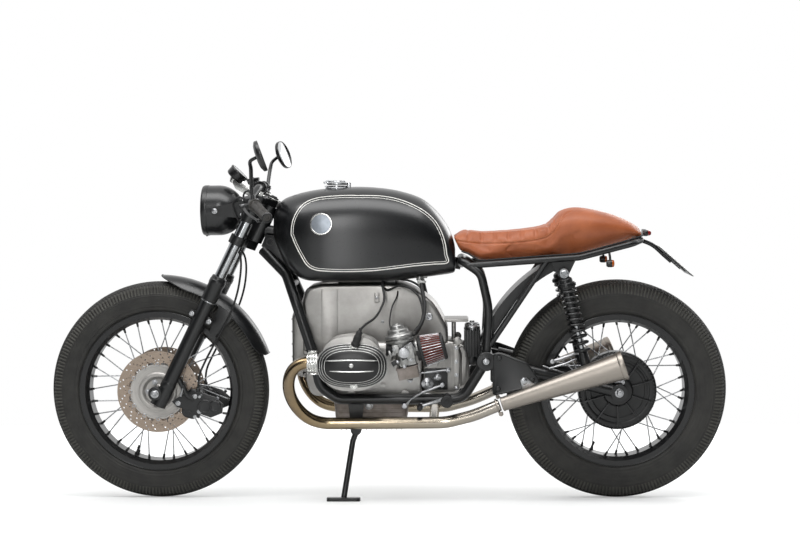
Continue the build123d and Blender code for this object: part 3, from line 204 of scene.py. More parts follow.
@dataclass(frozen=True)
class Finish:
    """A surface: two tones in soft patches, a fine grain, and how it shines.

    Sizes of patches and grain are in millimetres.
    """

    name: str
    colour: str
    shade: str
    metallic: float = 0.0
    rough: tuple[float, float] = (0.4, 0.5)
    patch: float = 60.0
    grain: float = 1.5
    depth: float = 0.04
    coat: float = 0.0
    coat_rough: float = 0.1
    stretch: tuple[float, float, float] = (1.0, 1.0, 1.0)
    glass: float = 0.0
    ior: float = 1.5
    glow: float = 0.0
    centre: tuple[float, float, float] | None = None

    def place(self, tree: bpy.types.NodeTree) -> bpy.types.NodeSocket:
        """Gives the coordinates that the patterns read, in metres of the piece."""
        where = add(tree, "ShaderNodeTexCoord").outputs["Object"]
        if self.centre:
            return self.turned(tree, where)
        if self.stretch != (1.0, 1.0, 1.0):
            return add(tree, "ShaderNodeMapping", {"Scale": self.stretch},
                       {"Vector": where}).outputs["Vector"]
        return where

    def turned(self, tree: bpy.types.NodeTree, where: bpy.types.NodeSocket) -> bpy.types.NodeSocket:
        """Gives coordinates that run only with the distance from a turning centre, as on lathe work."""
        middle = PARKED @ Vector(self.centre)
        lean = PARKED.to_euler().x
        shifted = add(tree, "ShaderNodeVectorMath", {"operation": "SUBTRACT", 1: middle}, {0: where})
        upright = add(tree, "ShaderNodeMapping", {"Rotation": (-lean, 0, 0), "Scale": (1, 0, 1)},
                      {"Vector": shifted.outputs[0]})
        reach = add(tree, "ShaderNodeVectorMath", {"operation": "LENGTH"}, {0: upright.outputs[0]})
        return add(tree, "ShaderNodeCombineXYZ", {}, {"X": reach.outputs["Value"]}).outputs[0]

    def tint(self, tree: bpy.types.NodeTree, where: bpy.types.NodeSocket) -> bpy.types.NodeSocket:
        """Mixes the two tones in soft patches."""
        cloud = add(tree, "ShaderNodeTexNoise", {"Scale": 1000 / self.patch, "Detail": 4.0, "Roughness": 0.6},
                    {"Vector": where})
        ramp = add(tree, "ShaderNodeValToRGB", {}, {"Fac": cloud.outputs["Fac"]})
        for stop, (place, tone) in zip(ramp.color_ramp.elements, ((0.35, self.shade), (0.65, self.colour))):
            stop.position, stop.color = place, linear(tone)
        return ramp.outputs["Color"]

    def relief(self, tree: bpy.types.NodeTree, where: bpy.types.NodeSocket) -> bpy.types.NodeSocket:
        """Gives the fine height pattern of the surface, from 0 to 1."""
        return add(tree, "ShaderNodeTexNoise", {"Scale": 1000 / self.grain, "Detail": 3.0, "Roughness": 0.65},
                   {"Vector": where}).outputs["Fac"]

    def material(self) -> bpy.types.Material:
        """Builds the material once, and finds it again on later calls."""
        made = bpy.data.materials.get(self.name)
        if made:
            return made
        made = bpy.data.materials.new(self.name)
        made.use_nodes = True
        tree = made.node_tree
        shader = tree.nodes["Principled BSDF"]
        where = self.place(tree)
        tree.links.new(self.tint(tree, where), shader.inputs["Base Color"])
        height = self.relief(tree, where)
        rough = add(tree, "ShaderNodeMapRange", {"To Min": self.rough[0], "To Max": self.rough[1]},
                    {"Value": height})
        tree.links.new(rough.outputs[0], shader.inputs["Roughness"])
        bump = add(tree, "ShaderNodeBump", {"Strength": 1.0, "Distance": self.depth * MM}, {"Height": height})
        tree.links.new(bump.outputs[0], shader.inputs["Normal"])
        fixed = {"Metallic": self.metallic, "Coat Weight": self.coat, "Coat Roughness": self.coat_rough,
                 "Transmission Weight": self.glass}
        if not self.metallic:
            fixed["IOR"] = self.ior
        if self.glow:
            fixed["Emission Strength"] = self.glow
            fixed["Emission Color"] = linear(self.colour)
        for name, value in fixed.items():
            shader.inputs[name].default_value = value
        return made


@dataclass(frozen=True)
class HeatTint(Finish):
    """Steel that the exhaust's heat has coloured, from straw and bronze at the head to bare steel behind."""

    stops: tuple[tuple[float, str], ...] = ()

    def tint(self, tree: bpy.types.NodeTree, where: bpy.types.NodeSocket) -> bpy.types.NodeSocket:
        """Runs the tones along the machine, with the places of the stops in metres ahead of its middle."""
        along = add(tree, "ShaderNodeSeparateXYZ", {}, {"Vector": where}).outputs["X"]
        cloud = add(tree, "ShaderNodeTexNoise", {"Scale": 1000 / self.patch, "Detail": 3.0},
                    {"Vector": where})
        wavy = add(tree, "ShaderNodeMath", {"operation": "MULTIPLY_ADD", 1: 0.08},
                   {0: cloud.outputs["Fac"], 2: along})
        first, last = self.stops[0][0], self.stops[-1][0]
        share = add(tree, "ShaderNodeMapRange", {"From Min": first, "From Max": last},
                    {"Value": wavy.outputs[0]})
        ramp = add(tree, "ShaderNodeValToRGB", {}, {"Fac": share.outputs[0]})
        elements = ramp.color_ramp.elements
        while len(elements) < len(self.stops):
            elements.new(0.5)
        for stop, (place, tone) in zip(elements, self.stops):
            stop.position, stop.color = (place - first) / (last - first), linear(tone)
        return ramp.outputs["Color"]


@dataclass(frozen=True)
class Leather(Finish):
    """Tanned hide: pebbles with creases between them."""

    def relief(self, tree: bpy.types.NodeTree, where: bpy.types.NodeSocket) -> bpy.types.NodeSocket:
        """Gives flat pebbles with sunk creases."""
        pebble = add(tree, "ShaderNodeTexVoronoi", {"feature": "DISTANCE_TO_EDGE",
                                                    "Scale": 1000 / self.grain}, {"Vector": where})
        return add(tree, "ShaderNodeMapRange", {"From Max": 0.25},
                   {"Value": pebble.outputs["Distance"]}).outputs[0]


@dataclass(frozen=True)
class Pleats(Finish):
    """Cloth folded in pleats whose lines run along the pod, dark in the folds."""

    def tint(self, tree: bpy.types.NodeTree, where: bpy.types.NodeSocket) -> bpy.types.NodeSocket:
        """Shows fine gauze lines over the cloth."""
        wave = add(tree, "ShaderNodeTexWave", {"bands_direction": "X", "Scale": 1000 / self.grain / 6},
                   {"Vector": where})
        ramp = add(tree, "ShaderNodeValToRGB", {}, {"Fac": wave.outputs["Fac"]})
        for stop, tone in zip(ramp.color_ramp.elements, (self.shade, self.colour)):
            stop.color = linear(tone)
        return ramp.outputs["Color"]


# Satin enamel over steel, sprayed: deep black with a soft, wide highlight
TANK_ENAMEL = Finish("satin_enamel_sprayed", "#121315", "#0E0F10", rough=(0.25, 0.32), patch=220, grain=2.5,
                     depth=0.006, coat=0.25, coat_rough=0.3)
# Powder coat, baked: black with a faint orange peel
FRAME_COAT = Finish("powder_coat_baked", "#0E0F10", "#0A0B0C", rough=(0.3, 0.42), patch=90, grain=3.0,
                    depth=0.03, coat=0.2, coat_rough=0.25)
# Black paint baked on spring wire: glossier than the frame's coat
SPRING_COAT = Finish("spring_coat_baked", "#161617", "#101011", rough=(0.18, 0.3), patch=60, grain=2.0,
                     depth=0.01, coat=0.5, coat_rough=0.12)
# Gloss black enamel of the rims, stoved
RIM_ENAMEL = Finish("rim_enamel_stoved", "#08080A", "#0C0C0D", rough=(0.24, 0.34), patch=80, grain=3.0,
                    depth=0.01, coat=0.25, coat_rough=0.12)
# Aluminium alloy, sand cast and bead blasted: pale grey with a soft metal sheen
CAST_ALLOY = Finish("aluminium_sand_cast", "#B3B1AE", "#A3A19E", 1.0, (0.34, 0.48), 55, 1.6, 0.05)
# The smoother covers, buffed by hand: brighter, with long soft reflections
COVER_ALLOY = Finish("aluminium_cast_buffed", "#A5A3A0", "#94928F", 1.0, (0.32, 0.44), 70, 1.4, 0.025)
# The same alloy, darker and browner in clouds: on the sump, and as painted shade on the carburettor bowls
DARK_ALLOY_AND_SHADE = Finish("aluminium_cast_dark_and_shade", "#928A85", "#787069", 0.85, (0.42, 0.56), 36, 1.6, 0.05)
# The brake discs' carriers, turned and dulled by weather
CARRIER_ALLOY = Finish("aluminium_turned_dull", "#BBB8B4", "#A7A4A0", 0.7, (0.4, 0.52), 3.0, 0.8, 0.02,
                       centre=(FRONT_X, 0, AXLE_Z))
# Die cast alloy of the carburettors: smoother and brighter
DIE_ALLOY = Finish("zinc_die_cast", "#ADADAB", "#8B8B89", 0.9, (0.3, 0.45), 18, 1.2, 0.03)
# Turned or buffed alloy: bright edges of fins and ribs
BRIGHT_ALLOY = Finish("aluminium_machined", "#D5D5D2", "#BFBFBC", 1.0, (0.18, 0.3), 20, 0.8, 0.008,
                      stretch=(1.0, 6.0, 1.0))
# The ridges of the covers, polished through the lacquer: near-white and half diffuse, a painted highlight
# that stays bright whatever they reflect
TRIM_HIGHLIGHT_ALLOY = Finish("aluminium_polished_painted_highlight", "#EAEAE7", "#DCDCD8", 0.6, (0.16, 0.26), 20, 0.8, 0.004)
# Black crinkle of the valve covers, sprayed on cast alloy
COVER_BLACK = Finish("cover_lacquer_sprayed", "#070808", "#0A0A0B", 0.0, (0.34, 0.46), 40, 1.8, 0.03,
                     coat=0.08, coat_rough=0.25)
# Hard chrome on the fork legs and springs' rods: mirror bright
CHROME = Finish("chrome_plated", "#AEB0B2", "#A3A5A7", 1.0, (0.15, 0.24), 50, 2.0, 0.002)
# Zinc on bolts, nuts and spokes: bright, slightly blue
ZINC = Finish("zinc_plated_steel", "#B9BABC", "#9FA0A2", 1.0, (0.22, 0.36), 12, 1.0, 0.01)
# Megaphones of stainless sheet, rolled and brushed along their length, warm from the heat
MEGAPHONE = HeatTint("stainless_brushed", "#B9B1A8", "#A59C92", 1.0, (0.36, 0.48), 30, 1.1, 0.012,
                     stretch=(0.12, 1.0, 1.0),
                     stops=((-0.75, "#A29E9B"), (-0.50, "#A5A09C"), (-0.34, "#A19A92")))
# The same steel inside the megaphones' mouths, sooty
MEGAPHONE_THROAT = Finish("stainless_sooted", "#6E655A", "#453F38", 0.9, (0.42, 0.6), 25, 2.0, 0.03)
# Header pipes: straw, bronze and brown from heat
HEADER = HeatTint("steel_heat_tinted", "#B39468", "#8C6B40", 1.0, (0.16, 0.28), 40, 1.5, 0.01,
                  stops=((-0.38, "#ABA5A0"), (-0.24, "#ADA69B"), (-0.05, "#AFA492"), (0.12, "#A99B84"),
                         (0.22, "#A08F73"), (0.30, "#927F62"), (0.36, "#7E7161")))
# Brake discs: steel ground flat in fine rings, with a brown bloom
DISC_STEEL = Finish("steel_ground", "#AE9E90", "#958678", 0.75, (0.34, 0.46), 2.4, 0.7, 0.012,
                    centre=(FRONT_X, 0, AXLE_Z))
# Rubber moulded in smooth tools: hoses, grips, boots
RUBBER = Finish("rubber_moulded", "#1A1A1B", "#131313", 0.0, (0.5, 0.68), 25, 1.2, 0.03)
# Grip rubber that hands have worn: brown grey, half shiny on the ribs
GRIP_RUBBER = Finish("grip_rubber_worn", "#45423E", "#262422", 0.0, (0.34, 0.5), 18, 1.5, 0.03)
# Tyre rubber, cured in a mould: dark grey where dust lies on it
TYRE = Finish("tyre_rubber_cured", "#2B2A27", "#1C1B19", 0.0, (0.55, 0.72), 55, 1.4, 0.05)
# The same rubber a shade paler on the tops of the raised shoulder blocks: painted highlight, with dust
TYRE_DUST_AND_HIGHLIGHT = Finish("tyre_rubber_dust_and_highlight", "#45443F", "#363530", 0.0, (0.6, 0.8), 40, 1.2, 0.05)
# Tan cowhide with a worn half shine, stretched over foam
TAN_LEATHER = Leather("cowhide_tan", "#A85C33", "#964E28", 0.0, (0.42, 0.56), 60, 1.9, 0.05)
# Waxed thread, a shade lighter than the hide
THREAD = Finish("thread_waxed", "#B97B52", "#A96C44", 0.0, (0.5, 0.6), 5, 0.5, 0.02)
# Hard clear glass of lamps and dials, pressed
LAMP_GLASS = Finish("glass_pressed", "#F4F7F8", "#F0F4F5", 0.0, (0.02, 0.05), 50, 9.0, 0.05, glass=1.0)
# Silvered glass of the mirrors and the reflector
MIRROR = Finish("glass_silvered", "#DDDFE0", "#D8DADB", 1.0, (0.02, 0.04), 60, 4.0, 0.001)
# Acrylic lamp lenses, moulded: red behind, orange at the sides
RED_LENS = Finish("acrylic_red", "#8E1512", "#7C0F0D", 0.0, (0.08, 0.14), 20, 3.0, 0.02, glass=0.25, ior=1.49)
ORANGE_LENS = Finish("acrylic_orange", "#C2641A", "#B15514", 0.0, (0.08, 0.14), 20, 3.0, 0.02, glass=0.25,
                     ior=1.49)
# White enamel on pressed sheet
PLATE_ENAMEL = Finish("plate_enamel_white", "#DADAD6", "#D2D2CE", 0.0, (0.2, 0.3), 60, 3.0, 0.004, coat=0.4)
# Plain anodised disc of the tank badges: pale, with fine turned rings
BADGE_ALLOY = Finish("aluminium_anodised", "#868C93", "#747A81", 0.6, (0.28, 0.38), 30, 0.9, 0.006)
# Cream white lining paint of the pinstripes, brushed on
STRIPE = Finish("lining_paint", "#F4F3EE", "#ECEAE3", 0.0, (0.3, 0.4), 10, 2.0, 0.004, coat=0.2)
# Oiled cotton gauze of the air filters, pleated
FILTER_CLOTH = Pleats("cotton_gauze_oiled", "#8C4A40", "#5E2C26", 0.0, (0.6, 0.75), 8, 2.2, 0.08)
# Matt black of the speedometer's face, screen printed
DIAL_BLACK = Finish("dial_lacquer", "#121213", "#101011", 0.0, (0.5, 0.6), 10, 1.0, 0.002)
# Pale floor, poured and sealed
FLOOR = Finish("floor_sealed", "#D9DAD9", "#D4D5D4", 0.0, (0.55, 0.7), 900, 12.0, 0.02)


# Geometry Nodes for what repeats

def set_input(modifier: bpy.types.NodesModifier, name: str, value: object) -> None:
    """Sets a named input of a Geometry Nodes modifier by its socket's identifier."""
    tree = modifier.node_group
    socket = next(item for item in tree.interface.items_tree if item.name == name and item.in_out == "INPUT")
    modifier[socket.identifier] = value


def new_tree(name: str, inputs: Iterable[tuple[str, str]]) -> tuple[bpy.types.NodeTree, bpy.types.Node]:
    """Starts a Geometry Nodes tree.

    Args:
        name: Name of the tree.
        inputs: Name and socket type of each input.

    Returns:
        The tree and its group input node.
    """
    tree = bpy.data.node_groups.new(name, "GeometryNodeTree")
    for label, kind in inputs:
        tree.interface.new_socket(label, in_out="INPUT", socket_type=kind)
    tree.interface.new_socket("Geometry", in_out="OUTPUT", socket_type="NodeSocketGeometry")
    return tree, tree.nodes.new("NodeGroupInput")


def end_tree(tree: bpy.types.NodeTree, start: bpy.types.Node, last: bpy.types.NodeSocket) -> None:
    """Ends a tree in Realize Instances, a weld of what meets, and Set Material."""
    real = add(tree, "GeometryNodeRealizeInstances", {}, {0: last})
    weld = add(tree, "GeometryNodeMergeByDistance", {"Distance": 0.00002}, {"Geometry": real.outputs[0]})
    dressed = add(tree, "GeometryNodeSetMaterial", {},
                  {"Geometry": weld.outputs[0], "Material": start.outputs["Material"]})
    add(tree, "NodeGroupOutput", {}, {"Geometry": dressed.outputs[0]})


def copies_tree() -> bpy.types.NodeTree:
    """Makes the tree that copies a mesh round an axis, along a shift, or both."""
    tree, start = new_tree("copies", (
        ("Geometry", "NodeSocketGeometry"), ("Count", "NodeSocketInt"), ("Turn", "NodeSocketFloat"),
        ("Axis", "NodeSocketVector"), ("Centre", "NodeSocketVector"), ("Shift", "NodeSocketVector"),
        ("Material", "NodeSocketMaterial")))
    put = start.outputs
    spots = add(tree, "GeometryNodePoints", {}, {"Count": put["Count"]})
    made = add(tree, "GeometryNodeInstanceOnPoints", {}, {"Points": spots.outputs[0],
                                                          "Instance": put["Geometry"]})
    number = add(tree, "GeometryNodeInputIndex")
    angle = add(tree, "ShaderNodeMath", {"operation": "MULTIPLY"}, {0: number.outputs[0], 1: put["Turn"]})
    turn = add(tree, "FunctionNodeAxisAngleToRotation", {}, {"Axis": put["Axis"], "Angle": angle.outputs[0]})
    turned = add(tree, "GeometryNodeRotateInstances", {"Local Space": False},
                 {"Instances": made.outputs[0], "Rotation": turn.outputs[0], "Pivot Point": put["Centre"]})
    move = add(tree, "ShaderNodeVectorMath", {"operation": "SCALE"},
               {0: put["Shift"], "Scale": number.outputs[0]})
    moved = add(tree, "GeometryNodeTranslateInstances", {"Local Space": False},
                {"Instances": turned.outputs[0], "Translation": move.outputs[0]})
    end_tree(tree, start, moved.outputs[0])
    return tree


def coil_tree() -> bpy.types.NodeTree:
    """Makes the tree that winds a wire into a coil spring along Z."""
    tree, start = new_tree("coil", (
        ("Geometry", "NodeSocketGeometry"), ("Turns", "NodeSocketFloat"), ("Radius", "NodeSocketFloat"),
        ("Height", "NodeSocketFloat"), ("Wire", "NodeSocketFloat"), ("Material", "NodeSocketMaterial")))
    put = start.outputs
    line = add(tree, "GeometryNodeCurveSpiral", {"Resolution": 20},
               {"Rotations": put["Turns"], "Start Radius": put["Radius"], "End Radius": put["Radius"],
                "Height": put["Height"]})
    round_bar = add(tree, "GeometryNodeCurvePrimitiveCircle", {"Resolution": 10}, {"Radius": put["Wire"]})
    wound = add(tree, "GeometryNodeCurveToMesh", {"Fill Caps": True},
                {"Curve": line.outputs[0], "Profile Curve": round_bar.outputs[0]})
    end_tree(tree, start, wound.outputs[0])
    return tree


def stitch_tree() -> bpy.types.NodeTree:
    """Makes the tree that sets copies of a mesh along a path of edges, in line with it."""
    tree, start = new_tree("stitches", (
        ("Geometry", "NodeSocketGeometry"), ("Path", "NodeSocketObject"), ("Spacing", "NodeSocketFloat"),
        ("Material", "NodeSocketMaterial")))
    put = start.outputs
    path = add(tree, "GeometryNodeObjectInfo", {}, {"Object": put["Path"]})
    line = add(tree, "GeometryNodeMeshToCurve", {}, {0: path.outputs["Geometry"]})
    spots = add(tree, "GeometryNodeCurveToPoints", {"mode": "LENGTH"},
                {"Curve": line.outputs[0], "Length": put["Spacing"]})
    made = add(tree, "GeometryNodeInstanceOnPoints", {}, {"Points": spots.outputs["Points"],
                                                          "Instance": put["Geometry"],
                                                          "Rotation": spots.outputs["Rotation"]})
    end_tree(tree, start, made.outputs[0])
    return tree


TREES = {"copies": copies_tree(), "coil": coil_tree(), "stitches": stitch_tree()}


def grown(mesh: bpy.types.Mesh, tree: str, finish: Finish, inputs: dict[str, object]) -> bpy.types.Mesh:
    """Runs a tree on a mesh and gives the plain mesh that comes out.

    Args:
        mesh: What the tree's Geometry input gets.
        tree: Name of the tree.
        finish: Finish of the result.
        inputs: Values of the other named inputs.

    Returns:
        The new mesh.
    """
    holder = placed("grown", mesh)
    modifier = holder.modifiers.new("tree", "NODES")
    modifier.node_group = TREES[tree]
    for name, value in {**inputs, "Material": finish.material()}.items():
        set_input(modifier, name, value)
    bpy.context.view_layer.update()
    result = evaluated(holder)
    holder.modifiers.remove(modifier)
    bpy.data.objects.remove(holder)
    return result


class Form:
    """A mesh in the making, in millimetres of the upright machine."""

    def __init__(self) -> None:
        """Starts empty."""
        self.mesh = bmesh.new()

    def skin(self, rings: Sequence[Sequence[Point]], wrap: bool = False, caps: bool = True) -> "Form":
        """Spans faces between closed rings that have as many points each.

        Args:
            rings: The rings in order.
            wrap: Joins the last ring to the first.
            caps: Closes the first and last ring with a face.

        Returns:
            The form itself.
        """
        rows = [[self.mesh.verts.new(point) for point in ring] for ring in rings]
        pairs = list(zip(rows, rows[1:])) + ([(rows[-1], rows[0])] if wrap else [])
        for low, high in pairs:
            for at in range(len(low)):
                after = (at + 1) % len(low)
                self.mesh.faces.new((low[at], low[after], high[after], high[at]))
        if caps and not wrap:
            self.mesh.faces.new(rows[0][::-1])
            self.mesh.faces.new(rows[-1])
        return self

    def lathe(self, centre: Point, way: Point, outline: Sequence[tuple[float, float]], steps: int = 48,
              wrap: bool = False) -> "Form":
        """Turns an outline about an axis.

        Args:
            centre: Point on the axis.
            way: Direction of the axis.
            outline: Distance along the axis and radius of each corner.
            steps: How many faces go round.
            wrap: Closes the outline on itself, for a ring or a hollow shape.

        Returns:
            The form itself.
        """
        turn = basis(way)
        spokes = [Vector((cos(2 * pi * step / steps), sin(2 * pi * step / steps), 0))
                  for step in range(steps)]
        rings = [[Vector(centre) + turn @ (spoke * radius + Vector((0, 0, along))) for spoke in spokes]
                 for along, radius in outline]
        return self.skin(rings, wrap=wrap)

    def tube(self, points: Sequence[Point], radius: float | Sequence[float], steps: int = 14) -> "Form":
        """Sweeps a round section along a line of points.

        Args:
            points: The line.
            radius: One radius, or one for each point.
            steps: How many faces go round.

        Returns:
            The form itself.
        """
        spots = [Vector(point) for point in points]
        radii = [radius] * len(spots) if isinstance(radius, (int, float)) else list(radius)
        side = basis(spots[1] - spots[0]).col[0]
        rings = []
        for at, spot in enumerate(spots):
            way = (spots[min(at + 1, len(spots) - 1)] - spots[max(at - 1, 0)]).normalized()
            side = (side - way * side.dot(way)).normalized()
            up = way.cross(side)
            rings.append([spot + side * radii[at] * cos(2 * pi * step / steps)
                          + up * radii[at] * sin(2 * pi * step / steps) for step in range(steps)])
        return self.skin(rings)

    def slab(self, centre: Point, size: Point, turn: Matrix | None = None) -> "Form":
        """Adds a block about a centre, with sizes along its own X, Y and Z."""
        turn = turn or Matrix.Identity(3)
        half = Vector(size) / 2
        corners = ((-1, -1), (1, -1), (1, 1), (-1, 1))
        return self.skin([[Vector(centre) + turn @ Vector((x * half.x, y * half.y, z * half.z))
                           for x, y in corners] for z in (-1, 1)])

    def board(self, outline: Sequence[tuple[float, float]], inner: float, outer: float) -> "Form":
        """Adds a flat plate with an outline of X and Z values, between two Y values."""
        return self.skin([[Vector((x, y, z)) for x, z in outline] for y in (inner, outer)])

    def drilled(self, outline: Sequence[tuple[float, float]], holes: Sequence[Sequence[tuple[float, float]]],
                centre: Point, way: Point, low: float, high: float, open_edges: bool = False) -> "Form":
        """Adds a plate with holes through it.

        Args:
            outline: Corners of the plate in its own X and Y.
            holes: Corners of each hole.
            centre: Where the plate's own zero lies.
            way: Direction across the plate.
            low: Height of the lower face.
            high: Height of the upper face.
            open_edges: Leaves out the walls of the outline, for a sector that is repeated.

        Returns:
            The form itself.
        """
        turn = basis(way)
        loops = [list(outline)] + [list(hole) for hole in holes]
        flat = [corner for loop in loops for corner in loop]
        faces = tessellate_polygon([[Vector((*corner, 0)) for corner in loop] for loop in loops])
        rows = [[self.mesh.verts.new(Vector(centre) + turn @ Vector((*corner, height))) for corner in flat]
                for height in (low, high)]
        for face in faces:
            self.mesh.faces.new([rows[0][at] for at in face])
            self.mesh.faces.new([rows[1][at] for at in reversed(face)])
        at = 0
        for number, loop in enumerate(loops):
            count = len(loop)
            for step in range(count):
                one, two = at + step, at + (step + 1) % count
                if number or not open_edges or abs(hypot(*flat[one]) - hypot(*flat[two])) < 0.01:
                    self.mesh.faces.new((rows[0][one], rows[0][two], rows[1][two], rows[1][one]))
            at += count
        return self

    def bolt(self, centre: Point, way: Point, size: float, height: float, washer: bool = True) -> "Form":
        """Adds a hexagon head with a washer, its seat at a point."""
        if washer:
            self.lathe(centre, way, ((0, size * 0.72), (height * 0.22, size * 0.72)), 20)
        low = height * 0.2
        return self.lathe(centre, way, ((low, size / 2), (height - size * 0.06, size / 2),
                                        (height, size * 0.42)), 6)

    def mirrored(self) -> "Form":
        """Adds the mirror image on the other side of the machine."""
        held = self.mesh.verts[:] + self.mesh.edges[:] + self.mesh.faces[:]
        made = bmesh.ops.duplicate(self.mesh, geom=held)["geom"]
        for corner in made:
            if isinstance(corner, bmesh.types.BMVert):
                corner.co.y *= -1
        return self

    def drawn(self, bevel: float = 0.0, weld: float = 0.01, recalc: bool = True) -> bpy.types.Mesh:
        """Ends the form: welds it, turns faces outwards and parks it, in metres.

        Args:
            bevel: Width of the rounding on sharp edges.
            weld: Distance within which corners join.
            recalc: Turns every face outwards.

        Returns:
            The parked mesh.
        """
        bmesh.ops.remove_doubles(self.mesh, verts=self.mesh.verts, dist=weld)
        bmesh.ops.dissolve_degenerate(self.mesh, edges=self.mesh.edges, dist=weld / 2)
        if recalc:
            bmesh.ops.recalc_face_normals(self.mesh, faces=self.mesh.faces)
        if bevel:
            sharp = [edge for edge in self.mesh.edges
                     if len(edge.link_faces) == 2 and edge.calc_face_angle(0) > radians(32)]
            bmesh.ops.bevel(self.mesh, geom=sharp, offset=bevel, segments=2, profile=0.6, affect="EDGES",
                            clamp_overlap=True)
        mesh = bpy.data.meshes.new("form")
        self.mesh.to_mesh(mesh)
        self.mesh.free()
        mesh.transform(PARKED)
        return mesh


class Body(Enum):
    """The bodies that pieces ride on."""

    FRAME = "frame"
    STEERING = "steering"
    FRONT_WHEEL = "front_wheel"
    REAR_WHEEL = "rear_wheel"
    LID = "filler_lid"


def joined(meshes: Sequence[bpy.types.Mesh]) -> bpy.types.Mesh:
    """Joins meshes, with their materials kept apart."""
    tools = bmesh.new()
    slots: list[bpy.types.Material] = []
    for mesh in meshes:
        first = len(tools.faces)
        own = list(mesh.materials)
        tools.from_mesh(mesh)
        tools.faces.ensure_lookup_table()
        for face in tools.faces[first:]:
            material = own[face.material_index] if own else None
            if material not in slots:
                slots.append(material)
            face.material_index = slots.index(material)
    result = bpy.data.meshes.new("joined")
    tools.to_mesh(result)
    tools.free()
    for material in slots:
        result.materials.append(material)
    return result


def piece(name: str, shape: Form | bpy.types.Mesh, body: Body, finish: Finish,
          stands_for: Sequence[str] = (), bevel: float = 0.0, sharp: float = 35.0) -> bpy.types.Object:
    """Makes a finished piece of the machine and says what it rides on.

    Args:
        name: Name of the piece.
        shape: A form, or a mesh that is parked already.
        body: The body that it rides on.
        finish: Its finish, which a mesh with materials of its own keeps off.
        stands_for: The solids that it replaces.
        bevel: Width of the rounding on a form's sharp edges.
        sharp: Angle in degrees above which an edge is shaded sharp.

    Returns:
        The piece.
    """
    mesh = shape.drawn(bevel) if isinstance(shape, Form) else shape
    mesh.name = name
    if not mesh.materials:
        mesh.materials.append(finish.material())
    mesh.shade_smooth()
    mesh.set_sharp_from_angle(angle=radians(sharp))
    made = placed(name, mesh)
    if stands_for:
        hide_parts(*stands_for)
    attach(made, body.value)
    LOG.info("%s: %d faces on %s", name, len(mesh.polygons), body.value)
    return made


def ring_of(form: Form, count: int, finish: Finish, centre: Point, axis: Point = (0, 1, 0),
            total: float = 360.0, shift: Point = (0, 0, 0), bevel: float = 0.0) -> bpy.types.Mesh:
    """Repeats a form round an axis, or along a line when total is 0.

    Args:
        form: What is repeated.
        count: How many there are.
        finish: Their finish.
        centre: Point on the axis.
        axis: Direction of the axis.
        total: Degrees that count steps fill.
        shift: Move from each copy to the next.
        bevel: Width of the rounding on sharp edges.

    Returns:
        The parked mesh of all copies.
    """
    place = PARKED.to_3x3()
    return grown(form.drawn(bevel), "copies", finish, {
        "Count": count, "Turn": radians(total / count), "Axis": (place @ Vector(axis)).normalized(),
        "Centre": PARKED @ Vector(centre), "Shift": place @ Vector(shift)})


